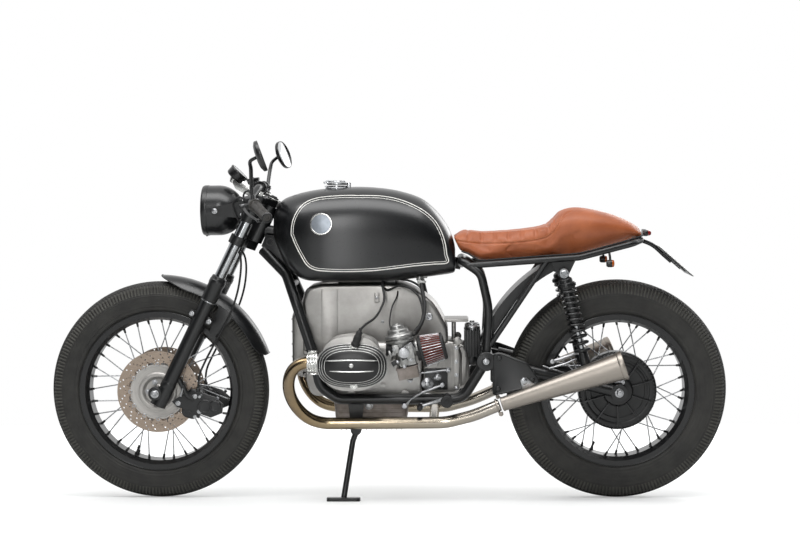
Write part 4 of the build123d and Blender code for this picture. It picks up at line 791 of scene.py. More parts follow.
@dataclass
class EngineCase:
    """The crankcase with its covers, the finned sump and the gearbox, as cast shells with seams and bolts."""

    half: float = 88.0
    front_band: tuple[float, float] = (204.0, 152.0)

    def shell(self, form: Form, outline: Sequence[tuple[float, float]], half: float,
              round_off: float = 14.0) -> None:
        """Adds a casting from a side outline: rounded over to its two flat sides.

        Args:
            form: What it is added to.
            outline: Corners in X and Z.
            half: Half its width.
            round_off: How far the edges are rounded.
        """
        middle = Vector((sum(x for x, _ in outline), sum(z for _, z in outline))) / len(outline)
        corners = [Vector(corner) for corner in outline]
        count = len(corners)
        normals = []
        for at, corner in enumerate(corners):
            before, after = corners[at - 1], corners[(at + 1) % count]
            way = (after - before).normalized()
            normal = Vector((way.y, -way.x))
            normals.append(normal if normal.dot(corner - middle) > 0 else -normal)
        rings = []
        turns = (0, pi / 8, pi / 4, 3 * pi / 8, pi / 2)
        rows = [(-half + round_off * (1 - cos(turn)), round_off * (1 - sin(turn))) for turn in turns]
        rows += [(-y, inset) for y, inset in reversed(rows)]
        for y, inset in rows:
            rings.append([Vector((corner.x - normal.x * inset, y, corner.y - normal.y * inset))
                          for corner, normal in zip(corners, normals)])
        form.skin(rings)

    def soft(self, corners: Sequence[tuple[float, float, float]]) -> list[tuple[float, float]]:
        """Rounds the corners of an outline.

        Args:
            corners: X, Z and rounding radius of each corner.

        Returns:
            The rounded outline.
        """
        spots = []
        count = len(corners)
        for at, (x, z, radius) in enumerate(corners):
            here = Vector((x, z))
            before, after = Vector(corners[at - 1][:2]), Vector(corners[(at + 1) % count][:2])
            one, two = (before - here).normalized(), (after - here).normalized()
            half = acos(max(-1, min(1, one.dot(two)))) / 2
            reach = min(radius / tan(half), (before - here).length * 0.48, (after - here).length * 0.48)
            start, end = here + one * reach, here + two * reach
            for step in range(7):
                t = step / 6
                spots.append(tuple(start * (1 - t) ** 2 + here * 2 * t * (1 - t) + end * t ** 2))
        return spots

    def cases(self) -> None:
        """Makes the crankcase, the tall smooth cover above it and the front cover."""
        low = Form()
        lower_outline = ((255, 392, 30), (240, 338, 40), (-113, 336, 20), (-113, 520, 3), (255, 520, 3))
        self.shell(low, self.soft(lower_outline), 88.5, 9)
        for side in SIDES:
            low.lathe((97, side * 88, 458), (0, side, 0), ((0, 80), (7, 80), (9, 78), (9, 70)), 72)
            for x in (110, -60):
                low.lathe((x, side * 84, 346), (0, side, 0), ((0, 13), (24, 13), (24, 10)), 28)
            for spot in ((-40, 420), (-90, 440), (10, 372), (190, 380)):
                low.lathe((spot[0], side * 90, spot[1]), (0, side, 0), ((0, 9), (4.5, 8.6), (4.5, 0.4)), 20)
        piece("crankcase_casting", low, Body.FRAME, CAST_ALLOY, ("engine_case",), bevel=0.8)
        top = Form()
        upper_outline = ((264, 470, 3), (266, 640, 30), (252, 684, 34), (200, 695, 60), (60, 697, 80),
                         (-60, 694, 120), (-152, 640, 130), (-194, 560, 80), (-196, 512, 14), (-150, 470, 8))
        self.shell(top, self.soft(upper_outline), 91, 15)
        piece("top_cover_casting", top, Body.FRAME, COVER_ALLOY, ("engine_top_cover",),
              bevel=0.5)
        front = Form()
        front_outline = ((246, 392, 6), (286, 398, 26), (301, 440, 40), (301, 590, 50), (284, 634, 34),
                         (246, 642, 6))
        self.shell(front, self.soft(front_outline), 70, 20)
        for level in (460, 500, 540, 580):
            front.slab((298, 0, level), (10, 96, 5))
        piece("front_cover_casting", front, Body.FRAME, COVER_ALLOY, bevel=0.5)

    def seams(self) -> None:
        """Makes the raised band over the top cover, its two bosses and its few screws."""
        form, screws = Form(), Form()
        back, ahead = self.front_band[1], self.front_band[0]
        band = self.soft(((ahead, 486, 2), (ahead, 678, 6), (back, 680, 6), (back, 486, 2)))
        boss = self.soft(((36, 634, 5), (36, 668, 7), (20, 668, 7), (20, 634, 5)))
        round_plug = ((0, 12), (3, 12), (4.4, 10), (4.4, 6), (3, 5.6), (3, 0.3))
        for side in SIDES:
            form.skin([[Vector((x, side * y, z)) for x, z in band] for y in (88, 92.4)])
            form.skin([[Vector((x, side * y, z)) for x, z in boss] for y in (88, 93.5)])
            for x, y, z in ((28, 93, 652), (10, 90.5, 575)):
                screws.lathe((x, side * y, z), (0, side, 0), ((0, 5), (2, 5), (2.6, 4), (2.6, 0.3)), 20)
            screws.lathe((-136, side * 90.5, 590), (0, side, 0), round_plug, 28)
        form.skin([[Vector((x, y, z)) for x, z in ((ahead, 690), (ahead, 699), (back, 700.5), (back, 690))]
                   for y in (-70, 70)])
        piece("cover_bands", form, Body.FRAME, COVER_ALLOY, bevel=1.0)
        piece("cover_screws", screws, Body.FRAME, ZINC, bevel=0.3)

    def sump(self) -> None:
        """Makes the sump with its flange, fins below, drain plug, and the bolts along it."""
        form, bolts = Form(), Form()
        form.skin([self.pan(125, 84, 18, 335, 50), self.pan(125, 84, 18, 320, 50)])
        form.skin([self.pan(118, 76, 18, 321, 50), self.pan(114, 73, 18, 262, 50),
                   self.pan(104, 66, 18, 236, 50), self.pan(100, 62, 18, 231, 50)])
        for rib in range(13):
            form.slab((-46 + rib * 16, 0, 229), (4, 112, 7))
        for side in SIDES:
            for rib in range(4):
                form.slab((50, side * 73, 308 - rib * 13), (206, 5, 3.4))
            for step in range(6):
                bolts.bolt((-58 + step * 43, side * 79, 320), (0, 0, -1), 9, 6)
            form.lathe((76, side * 72, 306), (0, side, 0), ((0, 17), (12, 16), (14, 14), (14, 0.4)), 28)
            bolts.bolt((56, side * 84, 308), (0, side, 0), 19, 10)
            bolts.bolt((112, side * 84, 318), (0, side, 0), 14, 8)
        piece("sump_casting", form, Body.FRAME, DARK_ALLOY_AND_SHADE, ("oil_sump",), bevel=0.9)
        piece("sump_bolts", bolts, Body.FRAME, ZINC, bevel=0.4)

    def pan(self, long: float, wide: float, corner: float, z: float, x: float) -> list[Vector]:
        """Gives a rounded rectangle lying at a height."""
        return [Vector((x + along, across, z)) for along, across in rounded_box(long, wide, corner)]

    def gearbox(self) -> None:
        """Makes the gearbox: a ribbed housing, the rear cover, filler plug, levers' boss and breather."""
        form, black, bright = Form(), Form(), Form()
        housing_outline = ((-113, 345, 6), (-170, 340, 20), (-224, 342, 22), (-238, 372, 24), (-240, 470, 30),
                           (-226, 508, 24), (-196, 514, 10), (-113, 512, 6))
        self.shell(form, self.soft(housing_outline), 78, 12)
        rear_outline = ((-224, 352, 14), (-262, 366, 20), (-265, 470, 24), (-250, 500, 20), (-224, 508, 12))
        self.shell(form, self.soft(rear_outline), 66, 14)
        ringed_boss = ((0, 19), (3, 19), (3.6, 16), (5, 16), (5.6, 18), (8, 18), (8.6, 12), (10, 12),
                       (10.6, 14), (13, 14), (13.6, 8), (16, 7.6), (17, 6), (17, 0.4))
        lever_boss = ((0, 12), (4, 12), (5, 9), (8, 9), (9, 7), (9, 0.4))
        for side in SIDES:
            for x in (-136, -160, -184, -208):
                form.slab((x, side * 77.5, 440), (4, 7, 104))
            form.slab((-222, side * 78, 432), (14, 9, 150))
            form.lathe((-226, side * 76, 512), (0, side, 0), ((0, 13), (7, 13), (8, 11), (8, 0.5)), 24)
            for z in (362, 404, 446, 490):
                bright.bolt((-222, side * 82, z), (0, side, 0), 9, 6)
            black.slab((-158, side * 83, 392), (72, 14, 66))
            bright.lathe((-130, side * 88, 378), (0, side, 0), ringed_boss, 40)
            bright.lathe((-162, side * 88, 398), (0, side, 0), lever_boss, 28)
            bright.tube([(-110, side * 92, 411), (-150, side * 93, 416), (-196, side * 92, 421)], 3.4, 12)
            bright.lathe((-196, side * 86, 421), (0, side, 0), ((0, 8), (10, 8), (11, 6), (11, 0.4)), 24)
        shelf_outline = [(-178, 571), (-258, 571), (-261, 575), (-258, 579), (-178, 579), (-175, 575)]
        form.board(shelf_outline, -64, 64)
        for y in (40, -40):
            form.tube([(-214, y, 512), (-214, y, 572)], 7, 16)
        piece("gearbox_casting", form, Body.FRAME, COVER_ALLOY, ("gearbox",), bevel=1.2)
        box_cap = ((0, 24), (10, 24), (14, 20), (16, 8), (20, 8), (20, 0.5))
        for side in SIDES:
            for fin in range(6):
                black.slab((-252 - fin * 8.5, side * 50, 506), (3.4, 46, 92))
            black.slab((-273, side * 46, 500), (52, 34, 88))
            black.lathe((-273, side * 46, 440), (0, 0, 1), ((-8, 10), (-6, 17), (14, 20), (20, 20)), 28)
            bright.lathe((-273, side * 46, 545), (0, 0, 1), box_cap, 36)
        piece("gearbox_boxes", black, Body.FRAME, FRAME_COAT, bevel=1.0)
        piece("gearbox_fittings", bright, Body.FRAME, ZINC, bevel=0.4)

    def build(self) -> None:
        """Builds the engine's cases."""
        self.cases()
        self.seams()
        self.sump()
        self.gearbox()


def oval(half_x: float, half_z: float, power: float = 2.5, steps: int = 72) -> list[tuple[float, float]]:
    """Draws a rounded oval about zero, fuller than an ellipse when power is above 2."""
    spots = []
    for step in range(steps):
        turn = 2 * pi * step / steps
        c, s = cos(turn), sin(turn)
        reach = (abs(c) ** power + abs(s) ** power) ** (-1 / power)
        spots.append((half_x * reach * c, half_z * reach * s))
    return spots


@dataclass
class Cylinders:
    """The two finned cylinders with their heads, valve covers, plug caps and leads."""

    bore_x: float = 97.0
    bore_z: float = 458.0
    inlet: tuple[float, float] = (216.0, 505.0)
    outlet: tuple[float, float] = (232.0, 462.0)
    cover_x: float = 94.0
    cover_z: float = 462.0
    cover_half: tuple[float, float] = (107.0, 68.0)
    cover_face: float = 300.0
    cover_steps: tuple[tuple[float, float], ...] = (
        (0, 0), (7, 0), (10, 2), (14, 5), (22, 12), (30, 21), (36, 31), (40.5, 45), (43, 62))
    ridges: tuple[tuple[float, float], ...] = ((9.6, 1.4), (18.6, 8.6), (25.6, 16.0), (31.6, 24.0))
    head_start: float = 196.0
    head_half: tuple[float, float] = (93.0, 83.0)
    fin_pitch: float = 9.0
    fin_thick: float = 2.6
    nut: tuple[float, float] = (95.0, 466.0)
    lead: tuple[tuple[float, float, float], ...] = (
        (10, 66, 712), (8, 130, 690), (2, 162, 650), (24, 212, 604), (54, 276, 584), (68, 318, 572))
    cap_top: tuple[float, float, float] = (70.0, 326.0, 566.0)
    cap_foot: tuple[float, float, float] = (86.0, 322.0, 522.0)

    def ring(self, inset: float, y: float, side: int, grow: float = 0.0) -> list[Vector]:
        """Gives the cover's outline at an inset from its edge and a distance from the machine's middle."""
        half_x, half_z = self.cover_half
        return [Vector((self.cover_x + x, y * side, self.cover_z + z))
                for x, z in oval(half_x - inset + grow, half_z - inset * 0.82 + grow)]

    def covers(self) -> None:
        """Makes the black oval covers."""
        form = Form()
        for side in SIDES:
            form.skin([self.ring(inset, self.cover_face + depth, side) for depth, inset in self.cover_steps])
        piece("valve_cover_bodies", form, Body.FRAME, COVER_BLACK, ("valve_covers",), bevel=0.6)

    def trim(self) -> None:
        """Makes the polished ridges round the covers, the two ribs across them and the nuts."""
        form = Form()
        for side in SIDES:
            for depth, inset in self.ridges:
                rings = []
                for turn in range(8):
                    angle = 2 * pi * turn / 8
                    rings.append(self.ring(inset - 1.0 * cos(angle), self.cover_face + depth
                                           + 1.5 * sin(angle), side))
                form.skin(rings, wrap=True)
            form.skin([self.ring(-0.2, self.cover_face + y, side) for y in (2.6, 3.8)])
            for height, bow in ((17.0, 3.5), (-11.0, -3.5)):
                spots = []
                for step in range(25):
                    share = step / 24 * 2 - 1
                    out = self.cover_face + 42.5 - 16 * share ** 4
                    spots.append((self.cover_x + share * 84, out * side,
                                  self.cover_z + height + bow * (1 - share ** 2)))
                form.tube(spots, [0.8] + [2.3] * 23 + [0.8], 8)
            self.dome(form, side)
        # The ridges, ribs and nuts take the near-white trim: a painted highlight
        piece("valve_cover_trim", form, Body.FRAME, TRIM_HIGHLIGHT_ALLOY)

    def dome(self, form: Form, side: int) -> None:
        """Adds the cap nut in the cover's middle, and the polished eyes above and below it."""
        x, z = self.nut
        cap_nut = ((0, 9.5), (1.5, 9.5), (2.5, 7), (4.5, 6.5), (6.5, 4.2), (7.2, 0.4))
        form.lathe((x, (self.cover_face + 40.3) * side, z), (0, side, 0), cap_nut, 24)
        eye_boss = ((0, 13), (6, 12), (9, 9.5), (10, 6), (6, 5), (6, 0.4))
        for height, reach in ((56, 26), (-60, 24)):
            form.lathe((x - 6, (self.cover_face + reach - 8) * side, self.cover_z + height), (0, side, 0),
                       eye_boss, 24)

    def heads(self) -> None:
        """Makes the finned heads and the finer edges of the barrels' fins."""
        form = Form()
        for side in SIDES:
            core = [(self.bore_x + x, self.bore_z + z) for x, z in oval(72, 66, 2.8)]
            form.board(core, side * self.head_start, side * (self.cover_face - 0.2))
            for fin in range(12):
                y = self.head_start + fin * self.fin_pitch
                if y + self.fin_thick > self.cover_face:
                    break
                wide, tall = self.head_half
                shape = [(self.bore_x + x, self.bore_z + 8 + z) for x, z in oval(wide, tall, 2.6)]
                form.board(shape, side * y, side * (y + self.fin_thick))
            top = [(self.cover_x + x, self.cover_z + z) for x, z in oval(103, 64)]
            form.board(top, side * (self.cover_face - 7), side * (self.cover_face - 0.2))
        piece("cylinder_head_castings", form, Body.FRAME, CAST_ALLOY, bevel=0.5)

    def ports(self) -> None:
        """Makes the inlet stubs, the exhaust stubs and the finned nuts that hold the header pipes."""
        form = Form()
        for side in SIDES:
            inlet, outlet = (self.inlet[0] * side, self.inlet[1]), (self.outlet[0] * side, self.outlet[1])
            form.tube(((self.bore_x - 50, *inlet), (self.bore_x - 112, *inlet)), 21, 28)
            form.tube(((self.bore_x + 60, *outlet), (self.bore_x + 108, *outlet)), 26, 28)
        piece("cylinder_ports", form, Body.FRAME, CAST_ALLOY, ("cylinder_heads",), bevel=0.5)
        nut = Form()
        pipe_nut = ((0, 37), (5, 37), (5.5, 29), (9, 29), (9.5, 36), (14, 36), (14.5, 29), (18, 29),
                    (18.5, 34.5), (23, 34.5), (23.5, 28), (27, 28), (27.5, 33), (31.5, 33), (33, 22))
        for side in SIDES:
            outlet = (self.outlet[0] * side, self.outlet[1])
            nut.lathe((self.bore_x + 108, *outlet), (1, 0, 0), pipe_nut, 40)
            for step in range(10):
                turn = 2 * pi * step / 10
                spoke = Vector((0, cos(turn), sin(turn)))
                nut.slab(Vector((self.bore_x + 124, *outlet)) + spoke * 31.5, (26, 12, 3),
                         basis(Vector((0, -sin(turn), cos(turn))), spoke))
        piece("exhaust_nuts", nut, Body.FRAME, BRIGHT_ALLOY, bevel=0.4)

    def plugs(self) -> None:
        """Makes the plug caps and the leads that run down to them from under the tank."""
        caps, leads = Form(), Form()
        cap_profile = ((-12, 4.5), (-4, 5.2), (0, 9), (12, 10), (14, 11.5), (34, 11.5), (36, 13), (44, 12.5),
                       (48, 8))
        for side in SIDES:
            top, foot = flip(self.cap_top, side), flip(self.cap_foot, side)
            way = foot - top
            caps.lathe(top, way, cap_profile, 24)
            leads.tube(smooth_line([flip(point, side) for point in self.lead] + [top], 8), 3.6, 10)
        piece("plug_caps", caps, Body.FRAME, RUBBER, bevel=0.6)
        piece("plug_leads", leads, Body.FRAME, RUBBER)

    def build(self) -> None:
        """Builds the cylinders."""
        self.covers()
        self.trim()
        self.heads()
        self.ports()
        self.plugs()


@dataclass
class Carburettors:
    """Two constant depression carburettors with their tops, bowls, cables and pleated filters."""

    line_y: float = 216.0
    line_z: float = 505.0
    lean: float = radians(12)
    body_x: float = -55.0
    filter_front: tuple[float, float, float] = (-112.0, 216.0, 494.0)

    def place(self, side: int) -> tuple[Vector, Vector]:
        """Gives the middle of a carburettor and the direction of its tall axis."""
        rise = Vector((sin(self.lean), 0, cos(self.lean)))
        return Vector((self.body_x, self.line_y * side, self.line_z - 8)), rise

    def bodies(self) -> None:
        """Makes the cast bodies: a barrel, a tall chamber with a wide flat cap, and a float bowl."""
        form, bowl, dark = Form(), Form(), Form()
        mouth_profile = ((0, 24), (8, 24), (9, 20), (24, 20), (28, 28), (62, 28), (64, 24), (84, 24),
                         (85, 27), (92, 27))
        dome_profile = ((-48, 22), (-44, 25), (-12, 27), (10, 29), (26, 31), (27, 42), (31, 44), (37, 44),
                        (38, 40), (41, 40), (42, 44.5), (49, 44), (53, 41), (56, 34), (58, 33), (66, 32),
                        (69, 29.5), (70, 21), (79, 20.5), (82, 18), (83, 9), (86, 8), (86, 0.5))
        for side in SIDES:
            centre, rise = self.place(side)
            ahead = Vector((rise.z, 0, -rise.x))
            form.lathe(centre + ahead * 42, -ahead, mouth_profile, 32)
            form.lathe(centre, rise, dome_profile, 48)
            bowl.slab(centre + rise * -70 - ahead * 4, (64, 50, 34), basis(rise, beside(1)))
            bowl.slab(centre + rise * -52 - ahead * 4, (70, 54, 4), basis(rise, beside(1)))
            form.slab(centre + rise * -34 - ahead * 10, (50, 44, 26), basis(rise, beside(1)))
            form.slab(centre + rise * 12 + ahead * 16 + beside(26 * side), (20, 14, 26),
                      basis(rise, beside(1)))
            form.slab(centre + rise * -4 - ahead * 24 + beside(26 * side), (24, 14, 44),
                      basis(rise, beside(1)))
            # Black blocks on the outer faces stand for the dark gaps and recesses between the fittings:
            # painted shade
            for along, up in ((-2, -18), (4, 4), (-34, 12), (30, -30)):
                dark.slab(centre + rise * up + ahead * along + beside(27 * side), (17, 9, 15),
                          basis(rise + ahead * 0.3, beside(1)))
        # The float bowls take the darker alloy as painted shade under the carburettors
        piece("carburettor_bowls", bowl, Body.FRAME, DARK_ALLOY_AND_SHADE, bevel=2.4)
        # Painted shade: the black blocks of the gaps and recesses
        piece("carburettor_levers", dark, Body.FRAME, FRAME_COAT, bevel=1.2)
        piece("carburettor_bodies", form, Body.FRAME, DIE_ALLOY, ("carburettors",),
              bevel=2.2)

    def fittings(self) -> None:
        """Makes screws, throttle drum, linkage, jets and clips on the outer faces."""
        form = Form()
        face_screws = ((22, 12, 8), (-24, 10, 9), (0, -10, 7), (20, -28, 7), (-22, -30, 8), (2, -46, 8))
        pivot_boss = ((0, 17), (2, 17), (3, 13), (6, 13), (7, 16), (9, 16), (9, 4))
        drain_plug = ((0, 11), (3, 11), (4, 8), (9, 7.5), (9, 0.5))
        for side in SIDES:
            centre, rise = self.place(side)
            ahead = Vector((rise.z, 0, -rise.x))
            out = beside(side)
            face = centre + out * 33
            for along, up, size in face_screws:
                form.bolt(face + ahead * along + rise * up - out * 4, out, size, 8)
            form.lathe(face + ahead * -6 + rise * -4, out, pivot_boss, 28)
            form.tube((face + ahead * -6 + rise * 12 + out * 6, face + ahead * -34 + rise * 22 + out * 5,
                       face + ahead * -40 + rise * 2 + out * 3), 2.2, 8)
            for turn in range(4):
                spoke = ahead * cos(pi / 4 + turn * pi / 2) + out * sin(pi / 4 + turn * pi / 2)
                form.bolt(centre + rise * 42 + spoke * 37, rise, 7, 6)
            form.lathe(centre + rise * -92 - ahead * 4, -rise, drain_plug, 6)
        piece("carburettor_fittings", form, Body.FRAME, ZINC, bevel=0.4)

    def hoses(self) -> None:
        """Makes the inlet rubbers, fuel hoses and throttle cables."""
        form = Form()
        inlet_rubber = ((0, 24), (4, 25), (5, 22), (12, 22), (13, 25), (20, 25), (20, 19))
        fuel_hose = ((-108, 92, 716), (-118, 130, 668), (-124, 172, 628), (-116, 206, 584), (-96, 214, 556))
        long_cable = ((8, 70, 712), (-2, 96, 676), (-54, 126, 692), (-104, 164, 664), (-120, 196, 602),
                      (-104, 206, 556), (-84, 212, 540))
        short_cable = ((-30, 64, 712), (-38, 96, 664), (-22, 150, 626), (-16, 196, 580), (-26, 214, 548))
        for side in SIDES:
            form.lathe((-6, self.line_y * side, self.line_z), (-1, 0, 0), inlet_rubber, 28)
            form.tube(smooth_line([flip(spot, side) for spot in fuel_hose], 8), 6.2, 12)
            form.tube(smooth_line([flip(spot, side) for spot in long_cable], 8), 3.6, 10)
            form.tube(smooth_line([flip(spot, side) for spot in short_cable], 8), 2.4, 8)
        piece("carburettor_hoses", form, Body.FRAME, RUBBER)

    def filters(self) -> None:
        """Makes the cone filters: pleated cloth between a rubber base and a rubber end."""
        cloth, ends, wires = Form(), Form(), []
        way = Vector((-1, 0, 0.26)).normalized()
        base_ring = ((-12, 27), (-2, 27), (0, 49), (8, 49.5), (9, 46))
        end_cap = ((0, 42.5), (6, 42.5), (9, 38), (9, 26), (6, 24), (6, 0.5))
        for side in SIDES:
            start = flip(self.filter_front, side)
            turn = basis(way)
            rings = []
            for along, reach in ((6, 46), (10, 48.5), (66, 41.5), (70, 40)):
                ring = []
                for step in range(136):
                    angle = 2 * pi * step / 136
                    deep = reach - (5.0 if step % 4 in (0, 1) else 0)
                    ring.append(start + turn @ Vector((deep * cos(angle), deep * sin(angle), along)))
                rings.append(ring)
            cloth.skin(rings)
            wire = Form().tube([start + turn @ Vector((reach * cos(0.069), reach * sin(0.069), along))
                                for along, reach in ((5, 46), (10, 49), (66, 42), (71, 39))], 1.1, 6)
            wires.append(ring_of(wire, 34, ZINC, start, way))
            ends.lathe(start, way, base_ring, 48)
            ends.lathe(start + way * 68, way, end_cap, 48)
        piece("filter_pleats", cloth, Body.FRAME, FILTER_CLOTH, ("air_filters",))
        piece("filter_wires", joined(wires), Body.FRAME, ZINC)
        piece("filter_ends", ends, Body.FRAME, RUBBER, bevel=0.6)

    def build(self) -> None:
        """Builds the carburettors."""
        self.bodies()
        self.fittings()
        self.hoses()
        self.filters()


@dataclass
class SidePlates:
    """The black plates outside the swinging arm's pivot: raised edges and blind bolts."""

    outline: tuple[tuple[float, float], ...] = (
        (-335, 474), (-341, 481), (-352, 484), (-366, 481), (-436, 455), (-446, 448), (-479, 401),
        (-482, 393), (-478, 386), (-468, 381), (-430, 367), (-345, 349), (-337, 351), (-334, 358))
    inner: float = 149.0
    thick: float = 6.0

    def build(self) -> None:
        """Builds the plates and their bolts."""
        plates, metal = Form(), Form()
        middle = Vector((sum(x for x, _ in self.outline),
                         sum(z for _, z in self.outline))) / len(self.outline)
        pivot_cap = ((0, 30), (8.5, 30), (10, 28), (10, 14), (12, 13), (12, 0.5))
        for side in SIDES:
            rings = []
            for grow, y in ((0, 0), (0, self.thick), (-5, self.thick + 3.2), (-9, self.thick + 1.2)):
                ring = []
                for x, z in self.outline:
                    way = (Vector((x, z)) - middle).normalized() * grow
                    ring.append(Vector((x + way.x, (self.inner + y) * side, z + way.y)))
                rings.append(ring)
            plates.skin(rings)
            plates.lathe((-315, side * 146.4, 455), (0, side, 0), pivot_cap, 40)
            for x, z, size in ((-356, 466, 12), (-458, 398, 12), (-352, 370, 12)):
                plates.lathe((x, side * (self.inner + self.thick), z), (0, side, 0),
                             ((0, size * 0.7), (4, size * 0.62), (5, size * 0.5), (5, 0.4)), 24)
            metal.bolt((-315, side * 158, 455), (0, side, 0), 13, 7)
        piece("side_plate_pressings", plates, Body.FRAME, FRAME_COAT, ("side_plates",),
              bevel=0.8)
        piece("pivot_nuts", metal, Body.FRAME, ZINC, bevel=0.5)


def between(table: Sequence[Sequence[float]], place: float) -> list[float]:
    """Reads a table of rows sorted by their first value, smoothly between its rows.

    Args:
        table: Rows of the place and the values there.
        place: Where to read.

    Returns:
        The values at the place.
    """
    rows = sorted(table)
    if place <= rows[0][0]:
        return list(rows[0][1:])
    if place >= rows[-1][0]:
        return list(rows[-1][1:])
    at = max(number for number, row in enumerate(rows) if row[0] <= place)
    low, high = rows[at], rows[at + 1]
    before, after = rows[max(at - 1, 0)], rows[min(at + 2, len(rows) - 1)]
    gap = high[0] - low[0]
    t = (place - low[0]) / gap
    values = []
    for number in range(1, len(low)):
        start, end = low[number], high[number]
        rise_low = (end - before[number]) / (high[0] - before[0]) * gap
        rise_high = (after[number] - start) / (after[0] - low[0]) * gap
        values.append(start * (2 * t ** 3 - 3 * t ** 2 + 1) + end * (3 * t ** 2 - 2 * t ** 3)
                      + rise_low * (t ** 3 - 2 * t ** 2 + t) + rise_high * (t ** 3 - t ** 2))
    return values


@dataclass
class Tank:
    """The fuel tank with its lining, badge, filler cap and taps."""

    stations: tuple[tuple[float, ...], ...] = (
        # x, bottom, top, half width
        (-220, 737, 798, 82), (-217, 730, 818, 92), (-205, 725, 856, 101), (-184, 722, 893, 108),
        (-150, 718, 933, 117), (-112, 714, 962, 125), (-50, 707, 984, 134), (10, 703, 995, 141),
        (80, 702, 1000, 147), (150, 703, 998, 150), (210, 705, 993, 149), (262, 712, 984, 142),
        (300, 738, 973, 122), (326, 768, 962, 94), (348, 812, 940, 66), (358, 838, 915, 42))
    tunnel_half: float = 26.0
    backbone: tuple[tuple[float, float, float], ...] = ((388, 0, 862), (-238, 0, 752))
    head_recess: float = 33.0
    lining: tuple[tuple[float, float], ...] = (
        (294, 855), (291, 886), (281, 915), (262, 943), (236, 960), (201, 969), (140, 974), (81, 974),
        (30, 973), (-1, 970), (-40, 962), (-79, 948), (-119, 927), (-150, 901), (-168, 876), (-180, 850),
        (-189, 820), (-193, 790), (-196, 762), (-150, 758), (-95, 754), (-41, 748), (40, 740), (130, 738),
        (200, 741), (228, 748), (246, 762), (262, 788), (279, 820))
    badge: tuple[float, float, float] = (198.0, 886.0, 35.0)
    cap: tuple[float, float, float] = (157.0, 1006.0, 33.0)

    def ring(self, x: float) -> list[Vector]:
        """Gives the tank's section: tucked in below, full at the side, round on top."""
        bottom, top, half = between(self.stations, x)
        middle = bottom + (top - bottom) * 0.42
        low = min(44.0, (middle - bottom) * 0.8, half * 0.7)
        spots = []
        for step in range(49):
            turn = -pi / 2 + pi * step / 48
            c, s = cos(turn), sin(turn)
            if s >= 0:
                reach = (c ** 2.5 + s ** 2.5) ** (-1 / 2.5)
                spots.append((half * reach * c, middle + (top - middle) * reach * s))
            elif step < 12:
                spots.append(((half - low) * step / 12, bottom))
            else:
                share = (step - 12) / 12
                if share < 0.75:
                    angle = share / 0.75 * pi / 2
                    spots.append((half - low + low * sin(angle), bottom + low - low * cos(angle)))
                else:
                    spots.append((half, bottom + low + (middle - bottom - low) * (share - 0.75) * 4))
        left = [Vector((x, y, z)) for y, z in spots]
        return left + [Vector((x, -spot.y, spot.z)) for spot in left[-2:0:-1]]

    def shell(self) -> bpy.types.Mesh:
        """Makes the pressed shell, hollow below for the backbone and open for the steering head."""
        places = [-220, -219, -217.5, -215] + [-212 + step * 8 for step in range(70)] + [352, 356, 358]
        form = Form()
        form.skin([self.ring(x) for x in sorted(set(places)) if x <= 358])
        body = form.drawn()
        cutters = Form()
        start, end = Vector(self.backbone[0]), Vector(self.backbone[1])
        way = (start - end).normalized()
        rise = way.cross(beside(-1)).normalized()
        if rise.z < 0:
            rise = -rise
        middle = (start + end) / 2 - rise * 47
        turn = Matrix((way, beside(1), way.cross(beside(1)))).transposed()
        cutters.slab(middle, (1500, 2 * self.tunnel_half, 2 * self.tunnel_half + 94), turn)
        tunnel = cutters.drawn()
        head = Form()
        head.lathe(steer_point(0, 0, -70), STEER_UP, ((0, self.head_recess), (230, self.head_recess)), 48)
        return cut_away(cut_away(body, tunnel), head.drawn())

    def skin_tree(self) -> BVHTree:
        """Makes a search tree of the outer skin, in millimetres of the upright machine."""
        form = Form()
        form.skin([self.ring(-219.5 + step * 4.5) for step in range(129)])
        bmesh.ops.recalc_face_normals(form.mesh, faces=form.mesh.faces)
        return BVHTree.FromBMesh(form.mesh)

    def onto(self, tree: BVHTree, x: float, z: float, side: int) -> tuple[Vector, Vector]:
        """Finds the point and the outward normal of the skin, looked at from the side."""
        spot, normal, _, _ = tree.ray_cast(Vector((x, 400 * side, z)), beside(-side))
        if normal.y * side < 0:
            normal = -normal
        return spot, normal

    def stripes(self, tree: BVHTree) -> None:
        """Lays the double lining round each flank: a broad line, and a fine one inside it."""
        form = Form()
        loop = smooth_line([Vector((x, 0, z)) for x, z in self.lining + self.lining[:1]], 7)[:-1]
        for side in SIDES:
            for inset, width in ((0.0, 3.1), (6.6, 1.7)):
                rings = []
                for at, spot in enumerate(loop):
                    ahead = (loop[(at + 1) % len(loop)] - loop[at - 1]).normalized()
                    inward = Vector((-ahead.z, 0, ahead.x))
                    if inward.dot(Vector((40, 0, 850)) - spot) < 0:
                        inward = -inward
                    near = spot + inward * inset
                    point, normal = self.onto(tree, near.x, near.z, side)
                    across = normal.cross(ahead).normalized() * width / 2
                    rings.append([point - across - normal * 0.5, point + across - normal * 0.5,
                                  point + across + normal * 0.22, point - across + normal * 0.22])
                form.skin(rings, wrap=True)
        piece("tank_lining", form, Body.FRAME, STRIPE, sharp=60)

    def badges(self, tree: BVHTree) -> None:
        """Sets a plain round disc in a bright bezel on each flank."""
        bezel, disc = Form(), Form()
        x, z, reach = self.badge
        for side in SIDES:
            point, normal = self.onto(tree, x, z, side)
            point -= normal * 2.2
            bezel.lathe(point, normal, ((0, reach), (4.8, reach), (6.2, reach - 1.2), (6.4, reach - 3.2),
                                        (5.4, reach - 4.6), (0, reach - 4.6)), 64, wrap=True)
            disc.lathe(point, normal, ((0, reach - 4.2), (4.0, reach - 4.2), (4.6, reach - 12),
                                       (5.4, reach - 22), (5.6, 6), (5.7, 0.3)), 64)
        piece("badge_bezels", bezel, Body.FRAME, BRIGHT_ALLOY)
        piece("badge_discs", disc, Body.FRAME, BADGE_ALLOY)

